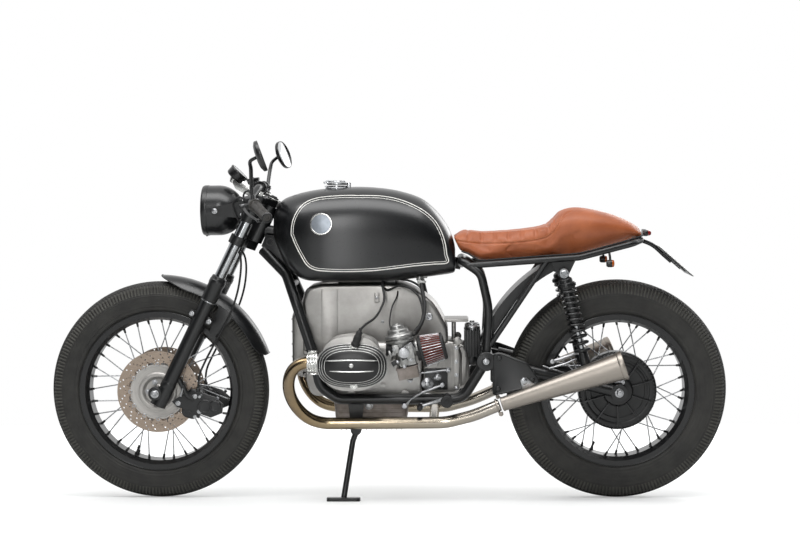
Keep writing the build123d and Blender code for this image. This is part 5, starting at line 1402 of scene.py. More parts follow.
    def filler(self) -> None:
        """Makes the quick release filler: a collar on the tank, and a lid with its lever."""
        x, z, reach = self.cap
        collar = Form()
        collar.lathe((x, 0, z - 14), (0, 0, 1), ((0, reach + 5), (5, reach + 5), (8, reach + 1),
                                                 (12, reach + 1), (12, reach - 5), (0, reach - 5)), 64,
                     wrap=True)
        for side in SIDES:
            collar.slab((x - 38, side * 11.6, z - 1), (11, 4.4, 16))
        collar.tube(((x + 36, -7, z - 4), (x + 36, 7, z - 4)), 3.0, 12)
        piece("filler_collar", collar, Body.FRAME, CHROME, bevel=0.5)
        lid = Form()
        lid.lathe((x, 0, z), (0, 0, 1), ((0.3, reach - 2), (2, reach), (6, reach), (8, reach - 2),
                                         (9.4, reach - 5), (10.6, reach - 12), (10.6, reach - 14),
                                         (13.6, reach - 15), (14, reach - 18), (14.4, reach - 27),
                                         (14.4, 0.4)), 64)
        lid.tube(((x - 38, -8.6, z + 5), (x - 38, 8.6, z + 5)), 4, 20)
        lid.slab((x - 29, 0, z + 5), (18, 15, 5))
        lid.slab((x + 33, 0, z + 8), (15, 11, 5))
        lid.tube(((x + 39, -7.5, z + 8), (x + 39, 7.5, z + 8)), 4.2, 18)
        lid.tube(((x - 26, 0, z + 12), (x + 36, 0, z + 12.5)), (2.2, 3.2), 12)
        piece("filler_lid_pressing", lid, Body.LID, CHROME, ("filler_cap",), bevel=0.5)

    def taps(self) -> None:
        """Makes the two fuel taps under the tank."""
        form = Form()
        tap_profile = ((0, 11), (12, 11), (13, 8), (20, 8), (21, 6), (30, 6), (31, 4))
        for side in SIDES:
            x, y, z = -108, 92 * side, 706
            form.lathe((x, y, z + 12), (0, 0, -1), tap_profile, 20)
            form.lathe((x, y + 6 * side, z - 4), (0, side, 0), ((0, 6), (10, 6), (11, 8), (14, 8)), 18)
            form.slab((x - 8, y + 19 * side, z - 4), (24, 3, 7))
        piece("fuel_taps", form, Body.FRAME, DIE_ALLOY, bevel=0.5)

    def build(self) -> None:
        """Builds the tank."""
        piece("tank_shell", self.shell(), Body.FRAME, TANK_ENAMEL, ("fuel_tank",), sharp=50)
        tree = self.skin_tree()
        self.stripes(tree)
        self.badges(tree)
        self.filler()
        self.taps()


def cut_away(mesh: bpy.types.Mesh, tool: bpy.types.Mesh) -> bpy.types.Mesh:
    """Takes the space of one closed mesh out of another."""
    body, knife = placed("body", mesh), placed("knife", tool)
    modifier = body.modifiers.new("cut", "BOOLEAN")
    modifier.operation, modifier.solver, modifier.object = "DIFFERENCE", "EXACT", knife
    bpy.context.view_layer.update()
    result = evaluated(body)
    bpy.data.objects.remove(body)
    bpy.data.objects.remove(knife)
    return result


@dataclass
class Seat:
    """The padded single seat with its raised tail: hide stretched over foam."""

    top: tuple[tuple[float, float], ...] = (
        (-213, 850), (-222, 856), (-240, 858), (-270, 853), (-310, 849), (-345, 850), (-383, 852),
        (-430, 856), (-470, 861), (-500, 868), (-524, 880), (-540, 898), (-553, 914), (-575, 926),
        (-600, 931), (-630, 930), (-661, 925), (-690, 919), (-716, 912), (-745, 901), (-772, 888),
        (-793, 872), (-806, 858), (-816, 843))
    bottom: tuple[tuple[float, float], ...] = (
        (-213, 846), (-222, 826), (-236, 800), (-262, 788), (-280, 776), (-296, 768), (-360, 771.5),
        (-440, 777), (-520, 782.5), (-600, 788), (-640, 796), (-700, 811.5), (-775, 831), (-806, 839),
        (-816, 841))
    widths: tuple[tuple[float, float], ...] = (
        (-213, 92), (-222, 103), (-240, 110), (-300, 114), (-400, 115), (-640, 114), (-700, 105), (-740, 95),
        (-780, 80), (-800, 66), (-810, 52), (-816, 40))
    shrink: float = 5.0
    voxel_m: float = 0.005
    pressure: float = 4.0
    frames: int = 20
    cap_mm: float = 22.0
    channels: tuple[float, ...] = (-262, -304, -346, -388, -430, -472, -512)
    stitch_pitch_m: float = 0.0062

    def section(self, x: float, less: float) -> tuple[float, float, float]:
        """Gives the lowest and highest point and the half width at a place along the seat."""
        low, high, half = between(self.bottom, x)[0], between(self.top, x)[0], between(self.widths, x)[0]
        less = min(less, (high - low) * 0.3)
        return low + less * 0.4, high - less, half - less

    def base(self) -> Form:
        """Makes the foam's plain shape, a little smaller than the finished seat."""
        places = [-213.5, -215, -218, -222, -228]
        places += [-236 - step * 7.25 for step in range(79)]
        places += [-808, -812, -815.5]
        form = Form()
        rings = []
        for x in places:
            low, high, half = self.section(x, self.shrink)
            power = 3.6 - 1.0 * min(max((-x - 500) / 80, 0), 1)
            middle, tall = (low + high) / 2, (high - low) / 2
            rings.append([Vector((x, half * across, middle + tall * up))
                          for across, up in oval(1, 1, power, 64)])
        return form.skin(rings)

    def padded(self) -> bpy.types.Mesh:
        """Blows the foam up under its hide by cloth simulation, and holds each point near its start."""
        holder = placed("foam", self.base().drawn())
        remesh = holder.modifiers.new("voxels", "REMESH")
        remesh.mode, remesh.voxel_size = "VOXEL", self.voxel_m
        bpy.context.view_layer.update()
        even = evaluated(holder)
        bpy.data.objects.remove(holder)
        puffed = placed("hide", even)
        cloth = puffed.modifiers.new("hide", "CLOTH")
        settings = cloth.settings
        settings.quality, settings.mass = 5, 0.4
        settings.tension_stiffness = settings.compression_stiffness = 40
        settings.shear_stiffness, settings.bending_stiffness = 20, 3
        settings.use_pressure, settings.uniform_pressure_force = True, self.pressure
        settings.effector_weights.gravity = 0
        cloth.collision_settings.use_collision = False
        scene = bpy.context.scene
        for number in range(1, self.frames + 1):
            scene.frame_set(number)
        blown = evaluated(puffed)
        scene.frame_set(1)
        cap = self.cap_mm * MM
        for start, end in zip(even.vertices, blown.vertices):
            move = end.co - start.co
            if move.length > cap:
                end.co = start.co + move.normalized() * cap
        bpy.data.objects.remove(puffed)
        return blown

    def seam_height(self, x: float) -> float:
        """Gives the height of the seam between the top panel and the side."""
        seam_heights = ((-816, 900), (-600, 924), (-566, 912), (-550, 892), (-536, 868), (-516, 846),
                        (-490, 834), (-440, 826), (-383, 822), (-310, 820), (-250, 826), (-213, 832))
        return between(seam_heights, x)[0]

    @staticmethod
    def bell(off: float) -> float:
        """Gives the depth of a soft groove, 1 in its middle and almost 0 at twice its half width."""
        return pow(2.718, -off ** 2)

    def shaped(self, mesh: bpy.types.Mesh) -> bpy.types.Mesh:
        """Presses the channels and the seam into the pad, and keeps it inside its space."""
        tools = bmesh.new()
        tools.from_mesh(mesh)
        tools.transform(PARKED.inverted())
        bmesh.ops.subdivide_edges(tools, edges=tools.edges, cuts=1, use_grid_fill=True, smooth=0.0)
        for _ in range(2):
            bmesh.ops.smooth_vert(tools, verts=tools.verts, factor=0.5, use_axis_x=True, use_axis_y=True,
                                  use_axis_z=True)
        tools.normal_update()
        for corner in tools.verts:
            spot = corner.co
            low, high, half = self.section(spot.x, 0)
            seam = self.seam_height(spot.x)
            over = min(max((spot.z - seam) / 14, 0), 1)
            if spot.x > -532:
                press = sum(4.4 * self.bell((spot.x - place) / 5.5) for place in self.channels)
                edge = min(max((half - 8 - abs(spot.y)) / 18, 0), 1)
                spot -= corner.normal * press * over * edge
                spot += corner.normal * 2.2 * over * edge * min(max((-228 - spot.x) / 20, 0), 1)
            if spot.x > -590 and abs(spot.y) > half * 0.55:
                spot -= corner.normal * 2.4 * self.bell((spot.z - seam) / 3.2)
            spot.z = max(spot.z, low - 0.2)
            spot.z = min(spot.z, high + 5)
            spot.y = max(min(spot.y, half + 2), -half - 2)
            spot.x = max(min(spot.x, -213.3), -816.8)
        tools.transform(PARKED)
        tools.to_mesh(mesh)
        tools.free()
        return mesh

    def seam_line(self, tree: BVHTree, side: int, shift: float) -> list[Vector]:
        """Gives points on the hide beside the seam, in parked metres."""
        spots = []
        for step in range(150):
            x = -222 - step * 2.25
            start = PARKED @ Vector((x, 300 * side, self.seam_height(x) + shift))
            spot, normal, _, _ = tree.ray_cast(start, PARKED.to_3x3() @ beside(-side))
            if spot:
                spots.append(spot + normal * 0.0003)
        return spots

    def stitches(self, hide: bpy.types.Mesh) -> None:
        """Sews a row of thread above and below each seam."""
        tools = bmesh.new()
        tools.from_mesh(hide)
        tree = BVHTree.FromBMesh(tools)
        tools.free()
        runs = []
        for side in SIDES:
            for shift in (4.6, -4.6):
                path = bpy.data.meshes.new("seam")
                spots = self.seam_line(tree, side, shift)
                path.from_pydata(spots, [(at, at + 1) for at in range(len(spots) - 1)], [])
                line = placed("seam", path)
                stitch = Form().tube(((0, 0, -2.0), (0, 0, -1.2), (0, 0, 1.2), (0, 0, 2.0)),
                                     (0.3, 0.62, 0.62, 0.3), 6)
                plain = stitch.drawn()
                plain.transform(Matrix.Scale(MM, 4) @ PARKED.inverted())
                runs.append(grown(plain, "stitches", THREAD, {"Path": line, "Spacing": self.stitch_pitch_m}))
                bpy.data.objects.remove(line)
        piece("seat_stitches", joined(runs), Body.FRAME, THREAD)

    def pan(self) -> None:
        """Makes the black edge of the seat pan below the hide."""
        form = Form()
        spots = []
        for step in range(90):
            x = -240 - step * 6.4
            low, _, half = self.section(x, 0)
            spots.append((x, half - 1.5, low + 1.4))
        for side in SIDES:
            form.tube([flip(spot, side) for spot in spots], 2.6, 8)
        piece("seat_pan_edge", form, Body.FRAME, RUBBER)

    def build(self) -> None:
        """Builds the seat."""
        hide = self.shaped(self.padded())
        made = piece("seat_hide", hide, Body.FRAME, TAN_LEATHER, ("seat",), sharp=80)
        self.stitches(hide)
        self.pan()


def arc_points(start: tuple[float, float], middle: tuple[float, float], end: tuple[float, float],
               count: int) -> list[tuple[float, float]]:
    """Gives points along the circle through three points, both ends among them."""
    (ax, ay), (bx, by), (cx, cy) = start, middle, end
    twice = 2 * (ax * (by - cy) + bx * (cy - ay) + cx * (ay - by))
    a, b, c = ax * ax + ay * ay, bx * bx + by * by, cx * cx + cy * cy
    ox = (a * (by - cy) + b * (cy - ay) + c * (ay - by)) / twice
    oy = (a * (cx - bx) + b * (ax - cx) + c * (bx - ax)) / twice
    reach = hypot(ax - ox, ay - oy)
    first, half, last = (atan2(y - oy, x - ox) for x, y in (start, middle, end))
    sweep = (last - first) % (2 * pi)
    if (half - first) % (2 * pi) > sweep:
        sweep -= 2 * pi
    return [(ox + reach * cos(first + sweep * step / (count - 1)),
             oy + reach * sin(first + sweep * step / (count - 1))) for step in range(count)]


@dataclass
class Tyre:
    """A cured tyre: ribbed walls, winding grooves on the crown and sawn blocks at the shoulders."""

    name: str
    body: Body
    centre_x: float
    half: float
    seat: float
    crown_drop: float = 46.0 * (1 - cos(radians(50)))
    shoulder_share: float = 0.86
    bead_inset: float = 9.0
    flange: float = 14.0
    steps: int = 760
    teeth: int = 190
    block_depth: float = 3.0
    block_rows: int = 7
    groove_depth: float = 2.6

    def crown(self) -> list[tuple[float, float]]:
        """Gives the crown's points, from the right shoulder to the left."""
        shoulder, half = TYRE_R - self.crown_drop, self.half * self.shoulder_share
        return arc_points((-half, shoulder), (0, TYRE_R - 0.15), (half, shoulder), 39)

    def wall(self) -> list[tuple[float, float]]:
        """Gives the left wall's points, from the shoulder down to the bead."""
        shoulder, half = TYRE_R - self.crown_drop, self.half * self.shoulder_share
        middle = (self.half, self.seat + (TYRE_R - self.seat) * 0.5)
        return arc_points((half, shoulder), middle, (self.half - self.bead_inset, self.seat + self.flange),
                          30)[1:]

    def ribs(self, number: int) -> float:
        """Gives the height of the fine rings moulded round the wall."""
        return {5: 0.9, 7: 0.7, 9: 0.9, 16: -0.7, 21: 0.8, 24: 1.3, 25: 1.3, 27: -0.9}.get(number, 0.0)

    def press(self, number: int, count: int, step: int) -> float:
        """Gives how deep the tread is cut at a point of the crown and a step round the tyre."""
        share = abs(number / (count - 1) * 2 - 1)
        phase = step * self.teeth / self.steps % 1
        if share > 0.8:
            return self.block_depth if phase < 0.49 else 0.0
        wave = abs(phase * 2 - 1) * 2 - 1
        for place, reach in ((0.0, 0.028), (0.27, 0.03), (0.52, 0.03), (0.76, 0.034)):
            if abs(share - place - 0.045 * wave) < reach:
                return self.groove_depth
        if 0.58 < share < 0.72 and phase < 0.21:
            return self.groove_depth * 0.6
        return 0.0

    def build(self) -> None:
        """Builds the tyre."""
        crown, wall = self.crown(), self.wall()
        normals = []
        ring = [(y, r, number, len(crown), True) for number, (y, r) in enumerate(crown)]
        ring += [(y, r, number, 0, False) for number, (y, r) in enumerate(wall)]
        bead = self.half - self.bead_inset
        ring += [(bead, self.seat, 0, -1, False), (-bead, self.seat, 0, -1, False)]
        ring += [(-y, r, len(wall) - 1 - number, 0, False) for number, (y, r) in enumerate(reversed(wall))]
        for at, (y, r, *_) in enumerate(ring):
            before, after = ring[at - 1], ring[(at + 1) % len(ring)]
            way = Vector((after[0] - before[0], after[1] - before[1])).normalized()
            normals.append(Vector((-way.y, way.x)))
        rings = []
        for step in range(self.steps):
            turn = 2 * pi * step / self.steps
            phase = step * self.teeth / self.steps % 1
            spots = []
            for (y, r, number, count, tread), normal in zip(ring, normals):
                lift = 0.0
                if tread:
                    lift = -self.press(number, count, step)
                elif count == 0:
                    lift = self.ribs(number)
                    if number < self.block_rows and phase < 0.49:
                        lift = -self.block_depth * (1 - number / (self.block_rows + 1))
                y, r = y + normal.x * lift, r + normal.y * lift
                spots.append(Vector((self.centre_x + r * cos(turn), y, AXLE_Z + r * sin(turn))))
            rings.append(spots)
        form = Form().skin(rings, wrap=True)
        form.mesh.faces.ensure_lookup_table()
        # The raised block faces get the paler rubber: a painted highlight on the blocks, with dust
        for step in range(self.steps):
            if step * self.teeth / self.steps % 1 < 0.49:
                continue
            for at, (_, _, number, count, tread) in enumerate(ring):
                edge = tread and abs(number / (count - 1) * 2 - 1) > 0.8
                if edge or (not tread and count == 0 and number < self.block_rows):
                    form.mesh.faces[step * len(ring) + at].material_index = 1
        made = piece(self.name + "_tread", form, self.body, TYRE, (self.name,), sharp=30)
        # Second slot: the paler rubber of the painted highlight on the blocks
        made.data.materials.append(TYRE_DUST_AND_HIGHLIGHT.material())


@dataclass
class Wheel:
    """What both wire wheels share: the tyre, the spokes' nipples and the air valve."""

    side_name: str
    body: Body
    centre_x: float
    half: float
    seat: float
    hub_radii: tuple[float, float]
    hub_offsets: tuple[float, float]
    spokes: int = 18
    flange_top: float = 13.0

    def nipples(self) -> None:
        """Makes the spokes' nipples, repeated round the rim."""
        rim = self.seat - 0.3 - 13.0
        step = 360 / self.spokes
        meshes = []
        axle = Vector((self.centre_x, 0, AXLE_Z))
        nipple_profile = ((-2, 6.6), (3, 6.4), (5, 4.2), (17, 3.4), (18, 2.1))
        for side, hub, offset in zip(SIDES, self.hub_radii, self.hub_offsets):
            form = Form()
            for number in range(2):
                swing = 1 if number % 2 else -1
                foot_turn = radians(number * step + (step / 2 if side < 0 else 0))
                turn = foot_turn + radians(swing * step * (2 if hub < 90 else 1))
                tip = axle + Vector(((rim + 6) * cos(turn), (13 + 3 * swing) * side, (rim + 6) * sin(turn)))
                foot = axle + Vector(((hub - 4) * cos(foot_turn), (offset + 3 * swing) * side,
                                      (hub - 4) * sin(foot_turn)))
                way = (foot - tip).normalized()
                start = tip + way * 2
                form.lathe(start, way, nipple_profile, 8)
            meshes.append(ring_of(form, self.spokes // 2, RIM_ENAMEL, axle, total=-360.0))
        piece(self.side_name + "_nipples", joined(meshes), self.body, RIM_ENAMEL)

    def valve(self) -> None:
        """Makes the air valve and its cap."""
        turn = radians(-68)
        way = Vector((cos(turn), 0, sin(turn)))
        rim = self.seat - 14
        start = Vector((self.centre_x, 0, AXLE_Z)) + way * (rim + 4)
        valve_profile = ((0, 5), (8, 5), (9, 3.4), (22, 3.2), (22.5, 4), (32, 4), (33, 3))
        form = Form().lathe(start, -way, valve_profile, 14)
        piece(self.side_name + "_valve", form, self.body, RUBBER, bevel=0.2)

    def beads(self) -> None:
        """Makes the rim's rolled edges."""
        form = Form()
        centre = (self.centre_x, 0, AXLE_Z)
        edge, top = self.half - 4.8, self.seat + self.flange_top
        for side in SIDES:
            form.lathe(centre, (0, side, 0), [(edge - 2.2 + 2.4 * cos(2 * pi * step / 8),
                                               top + 2.4 * sin(2 * pi * step / 8)) for step in range(8)], 120,
                       wrap=True)
        piece(self.side_name + "_rim_beads", form, self.body, RIM_ENAMEL)

    def build(self) -> None:
        """Builds the shared pieces."""
        Tyre(self.side_name + "_tyre", self.body, self.centre_x, self.half, self.seat).build()
        self.nipples()
        self.valve()
        self.beads()


@dataclass
class FrontWheel(Wheel):
    """The front wheel, with its two drilled brake discs on dished carriers."""

    side_name: str = "front"
    body: Body = Body.FRONT_WHEEL
    centre_x: float = FRONT_X
    half: float = 52.5
    seat: float = 241.0
    hub_radii: tuple[float, float] = (58.0, 58.0)
    hub_offsets: tuple[float, float] = (36.0, 36.0)
    disc_reach: float = 130.0
    disc_inner: float = 86.0
    disc_faces: tuple[float, float] = (60.5, 65.5)
    holes: tuple[tuple[float, float, float], ...] = (
        (99, 3, 2.5), (108, 7, 2.9), (117, 11, 2.9), (125, 15, 2.5), (99, 18, 2.5), (110, 21, 2.9),
        (121, 25, 2.9), (102, 27.5, 2.5))

    def circle(self, x: float, y: float, reach: float, steps: int = 10) -> list[tuple[float, float]]:
        """Draws a hole's corners."""
        return [(x + reach * cos(2 * pi * step / steps), y + reach * sin(2 * pi * step / steps))
                for step in range(steps)]

    def sector(self, side: int) -> Form:
        """Makes the twelfth part of a disc, with its cooling holes and the cut for a floating button."""
        def polar(reach: float, angle: float) -> tuple[float, float]:
            return reach * cos(radians(angle)), reach * sin(radians(angle))
        outline = [polar(self.disc_reach, step * 3) for step in range(11)]
        inner = [(self.disc_inner, 0), (self.disc_inner, 3), (self.disc_inner, 6), (self.disc_inner + 7, 8),
                 (self.disc_inner + 9, 11), (self.disc_inner + 9, 15), (self.disc_inner + 9, 19),
                 (self.disc_inner + 7, 22), (self.disc_inner, 24), (self.disc_inner, 27),
                 (self.disc_inner, 30)]
        outline += [polar(reach, angle) for reach, angle in reversed(inner)]
        holes = [self.circle(*polar(reach, angle), size) for reach, angle, size in self.holes]
        low, high = self.disc_faces
        return Form().drilled(outline, holes, (self.centre_x, 0, AXLE_Z), (0, side, 0), low, high,
                              open_edges=True)

    def discs(self) -> None:
        """Makes the discs, their carriers, buttons and bolts."""
        centre = (self.centre_x, 0, AXLE_Z)
        meshes = [ring_of(self.sector(side), 12, DISC_STEEL, centre) for side in SIDES]
        piece("disc_rings", joined(meshes), self.body, DISC_STEEL, ("brake_discs",), sharp=30)
        form = Form()
        carrier_profile = ((53.6, 9), (62, 9), (62, 20), (59, 24), (59, 40), (62, 44), (66, 47), (67.5, 50),
                           (67.5, 57), (66, 60), (64, 62), (63, 76), (64.4, 80), (64.4, 88.5), (61.6, 88.5),
                           (61, 82), (55, 56), (53.6, 46))
        for side in SIDES:
            form.lathe(centre, (0, side, 0), carrier_profile, 96)
        piece("disc_carriers", form, self.body, CARRIER_ALLOY, sharp=28)
        button, bolt = Form(), Form()
        button_profile = ((0, 7), (5.6, 7), (6.4, 6), (6.4, 3.4), (5.6, 3.2), (5.6, 0.3))
        for side in SIDES:
            spot = Vector((self.centre_x + 88.5, 64.6 * side, AXLE_Z))
            button.lathe(spot - beside(5 * side), (0, side, 0), button_profile, 18)
            bolt.bolt(Vector((self.centre_x + 32, 59 * side, AXLE_Z)), (0, side, 0), 12, 8)
        meshes = [ring_of(button, 12, ZINC, centre), ring_of(bolt, 5, ZINC, centre)]
        piece("disc_buttons", joined(meshes), self.body, ZINC)

    def build(self) -> None:
        """Builds the front wheel."""
        super().build()
        self.discs()


@dataclass
class RearWheel(Wheel):
    """The rear wheel, with its ribbed brake drum on the left."""

    side_name: str = "rear"
    body: Body = Body.REAR_WHEEL
    centre_x: float = REAR_X
    half: float = 59.0
    seat: float = 228.5
    hub_radii: tuple[float, float] = (124.0, 72.0)
    hub_offsets: tuple[float, float] = (34.0, 39.0)

    def drum(self) -> None:
        """Makes the drum's dished cover with its radiating ribs and rings."""
        centre = Vector((self.centre_x, 0, AXLE_Z))
        form = Form()
        cover_profile = ((60.0, 96), (62.5, 96), (63.5, 92), (63.5, 86), (61.5, 84), (61.2, 50), (66, 46),
                         (70, 44), (71, 34), (71, 26), (67, 24), (60, 24))
        form.lathe(centre, (0, 1, 0), cover_profile, 96, wrap=True)
        lip_profile = ((44, 124.2), (50, 124.2), (58, 121), (61.8, 116), (62.4, 108), (61.6, 102), (60, 100),
                       (44, 100))
        form.lathe(centre, (0, 1, 0), lip_profile, 96, wrap=True)
        rib = Form().slab(centre + Vector((0, 66, 79)), (5, 13, 66))
        mesh = ring_of(rib, 10, RIM_ENAMEL, centre, bevel=1.8)
        fine = Form().slab(centre + Vector((0, 58.5, 118.5)), (3, 8, 9))
        piece("drum_cover", joined([with_finish(form.drawn(0.5), COVER_BLACK), mesh,
                                    ring_of(fine, 60, RIM_ENAMEL, centre, bevel=0.6)]), self.body, FRAME_COAT)

    def build(self) -> None:
        """Builds the rear wheel."""
        super().build()
        self.drum()


def with_finish(mesh: bpy.types.Mesh, finish: Finish) -> bpy.types.Mesh:
    """Gives a mesh its only finish."""
    mesh.materials.append(finish.material())
    return mesh


@dataclass
class Exhaust:
    """Header pipes joined by a balance pipe, clamps, and a megaphone on each side."""

    pipe: float = 18.5
    balance: float = 15.5
    route: tuple[tuple[float, float, float], ...] = (
        (206, 232, 462), (228, 232, 462), (250, 232, 460), (273, 231, 449), (289, 229, 428), (296, 227, 401),
        (295, 222, 372), (286, 215, 343), (271, 207, 317), (250, 199, 294), (224, 191, 277),
        (190, 184.4, 267.5), (150, 182, 266), (60, 178.8, 266), (-60, 174.6, 266), (-140, 171.6, 266),
        (-186, 170.6, 267.5), (-225, 172.8, 276), (-280, 177, 292), (-355, 183, 323))
    bend: tuple[float, float, float] = (-185.0, 170.0, 266.0)
    tail: tuple[float, float, float] = (-740.0, 212.0, 451.0)
    nose_share: float = 0.32
    nose_reach: float = 21.5
    tail_reach: float = 43.0

    def nose(self, side: int) -> Vector:
        """Gives the front end of a megaphone."""
        bend, tail = flip(self.bend, side), flip(self.tail, side)
        return bend + (tail - bend) * self.nose_share

    def headers(self) -> None:
        """Makes the header pipes and the balance pipe under the engine."""
        form = Form()
        for side in SIDES:
            line = smooth_line([flip(spot, side) for spot in self.route], 6)
            form.tube(line, self.pipe, 32)
        form.tube([(-150, y, self.bend[2]) for y in (-165, -120, 0, 120, 165)], self.balance, 28)
        piece("header_pipes", form, Body.FRAME, HEADER, ("exhaust_pipes",), sharp=50)

    def megaphones(self) -> None:
        """Makes the megaphones: a rolled cone with a welded end ring and an inner cone."""
        form, rings, inside = Form(), Form(), Form()
        ring_profile = ((0, 20), (0, 22.3), (1, 22.8), (4, 22.8), (5, 22.3), (5, 20))
        for side in SIDES:
            nose, tail = self.nose(side), flip(self.tail, side)
            way, length = (tail - nose).normalized(), (tail - nose).length
            wall = [(0, self.nose_reach - 1.5)]
            for step in range(25):
                share = step / 24
                wall.append((1 + (length - 17) * share, self.nose_reach + (self.tail_reach - self.nose_reach)
                             * (0.92 * share + 0.08 * share ** 2)))
            form.lathe(nose, way, wall + [(length - 16, self.tail_reach - 3)], 72)
            rings.lathe(nose, way, (
                (length - 17, 41), (length - 17, 43.6), (length - 15, 45.2), (length - 12, 45.9),
                (length - 3, 46), (length - 1, 45.4), (length - 0.1, 44), (length - 0.2, 42.4),
                (length - 1.6, 41.2), (length - 4, 40.6)), 72, wrap=True)
            inside.lathe(nose, way, (
                (length - 3, 41.3), (length - 14, 38), (length - 30, 31), (length - 38, 29.4),
                (length - 60, 29.2), (length - 60, 0.5), (length - 62, 0.5), (length - 62, 31),
                (length - 38, 31), (length - 14, 40), (length - 3, 42.6)), 72, wrap=True)
            for along in (1, -18):
                rings.lathe(nose + way * along, way, ring_profile, 48, wrap=True)
        piece("megaphone_cones", form, Body.FRAME, MEGAPHONE, ("silencers",))
        piece("megaphone_rings", rings, Body.FRAME, MEGAPHONE)
        piece("megaphone_throats", inside, Body.FRAME, MEGAPHONE_THROAT)

    def clamps(self) -> None:
        """Makes the clamp bolts at the noses and the brackets that hang the megaphones."""
        form = Form()
        for side in SIDES:
            nose = self.nose(side)
            way = (flip(self.tail, side) - nose).normalized()
            below = Vector((way.z, 0, -way.x)).normalized()
            below = below if below.z < 0 else -below
            form.slab(nose - way * 12 + below * 27, (9, 13, 9), basis(below, way))
            form.bolt(nose - way * 12 + below * 27 + beside(6 * side), (0, side, 0), 10, 7)
        piece("exhaust_clamp_bolts", form, Body.FRAME, MEGAPHONE, bevel=0.5)
        plates = Form()
        for side in SIDES:
            outline = [(-430, 362), (-421, 396), (-429, 405), (-441, 405), (-450, 396), (-478, 376),
                       (-472, 366)]
            plates.board(outline, side * 156.2, side * 160.2)
        piece("hanger_brackets", plates, Body.FRAME, ZINC, bevel=0.8)
        pins = Form()
        pin_profile = ((0, 5), (6.4, 5), (6.6, 10), (8.4, 10), (8.8, 8), (13, 7.6), (13.4, 6), (13.4, 0.4))
        for side in SIDES:
            pins.lathe((-434, side * 154, 393), (0, side, 0), pin_profile, 24)
            pins.tube(((-452, side * 160, 372), (-452, side * 172, 366)), 6, 12)
        piece("hanger_bolts", pins, Body.FRAME, CHROME)

    def build(self) -> None:
        """Builds the exhaust."""
        self.headers()
        self.megaphones()
        self.clamps()


@dataclass
class Shocks:
    """The two shock absorbers: a chrome rod and black coil between two spring seats."""

    top: tuple[float, float, float] = (-557.0, 140.0, 729.0)
    low: tuple[float, float, float] = (-634.0, 140.0, 409.0)
    coil_radius: float = 23.0
    wire: float = 3.9
    turns: float = 7.5

    def coil(self, side: int) -> bpy.types.Mesh:
        """Winds the spring round the damper's body."""
        top, low = flip(self.top, side), flip(self.low, side)
        way = (low - top).normalized()
        spring = grown(bpy.data.meshes.new("seed"), "coil", SPRING_COAT, {
            "Turns": self.turns, "Radius": self.coil_radius * MM, "Height": 132 * MM, "Wire": self.wire * MM})
        place = Matrix.Translation(top + way * 49) @ basis(way).to_4x4()
        spring.transform(PARKED @ place @ Matrix.Scale(1 / MM, 4))
        return spring

    def build(self) -> None:
        """Builds the shock absorbers."""
        piece("shock_springs", joined([self.coil(side) for side in SIDES]), Body.FRAME, SPRING_COAT,
              ("shock_absorbers",), sharp=60)
        black, bright = Form(), Form()
        upper_seat = ((10, 9), (14, 15), (18, 20), (20, 21.5), (30, 22), (31, 26), (34, 27.4), (44, 27.4),
                      (46, 25), (50, 25), (50, 12), (49, 4))
        lower_ring = ((180, 13), (180, 25), (182, 27), (185, 27), (187, 24), (187, 13))
        eye_bush = ((0, 8), (0, 15), (1, 16), (26, 16), (27, 15), (27, 8))
        eye_nut = ((0, 6.4), (0, 15), (3, 15.4), (5, 14), (5, 11), (8, 10.6), (9.6, 8.6), (9.6, 5.4),
                   (7.6, 5), (7.6, 0.4), (0, 0.4))
        for side in SIDES:
            top, low = flip(self.top, side), flip(self.low, side)
            way, length = (low - top).normalized(), (low - top).length
            black.lathe(top, way, upper_seat, 48)
            for step in range(20):
                spoke = basis(way) @ Vector((cos(2 * pi * step / 20), sin(2 * pi * step / 20), 0))
                black.slab(top + way * 39 + spoke * 27.5, (2.2, 3.4, 9),
                           Matrix((spoke.cross(way), spoke, way)).transposed())
            black.lathe(top, way, ((48, 17), (166, 17), (168, 13), (168, 4)), 40)
            black.lathe(top, way, lower_ring, 48, wrap=True)
            for along in (199, 220, 243):
                black.lathe(top, way, ((along, 11), (along, 23), (along + 2, 26), (along + 5, 26.6),
                                       (along + 8, 24), (along + 9, 18), (along + 9, 11)), 48, wrap=True)
            black.lathe(top, way, ((252, 14), (length - 26, 16), (length - 14, 15), (length - 9, 9)), 40)
            bright.lathe(top, way, ((166, 8), (length - 30, 8)), 28)
            for eye in (top, low):
                black.lathe(eye - beside(14 * side), (0, side, 0), eye_bush, 40, wrap=True)
                bright.lathe(eye + beside(14 * side), (0, side, 0), eye_nut, 40)
        piece("shock_bodies", black, Body.FRAME, FRAME_COAT, bevel=0.4)
        piece("shock_rods", bright, Body.FRAME, CHROME)


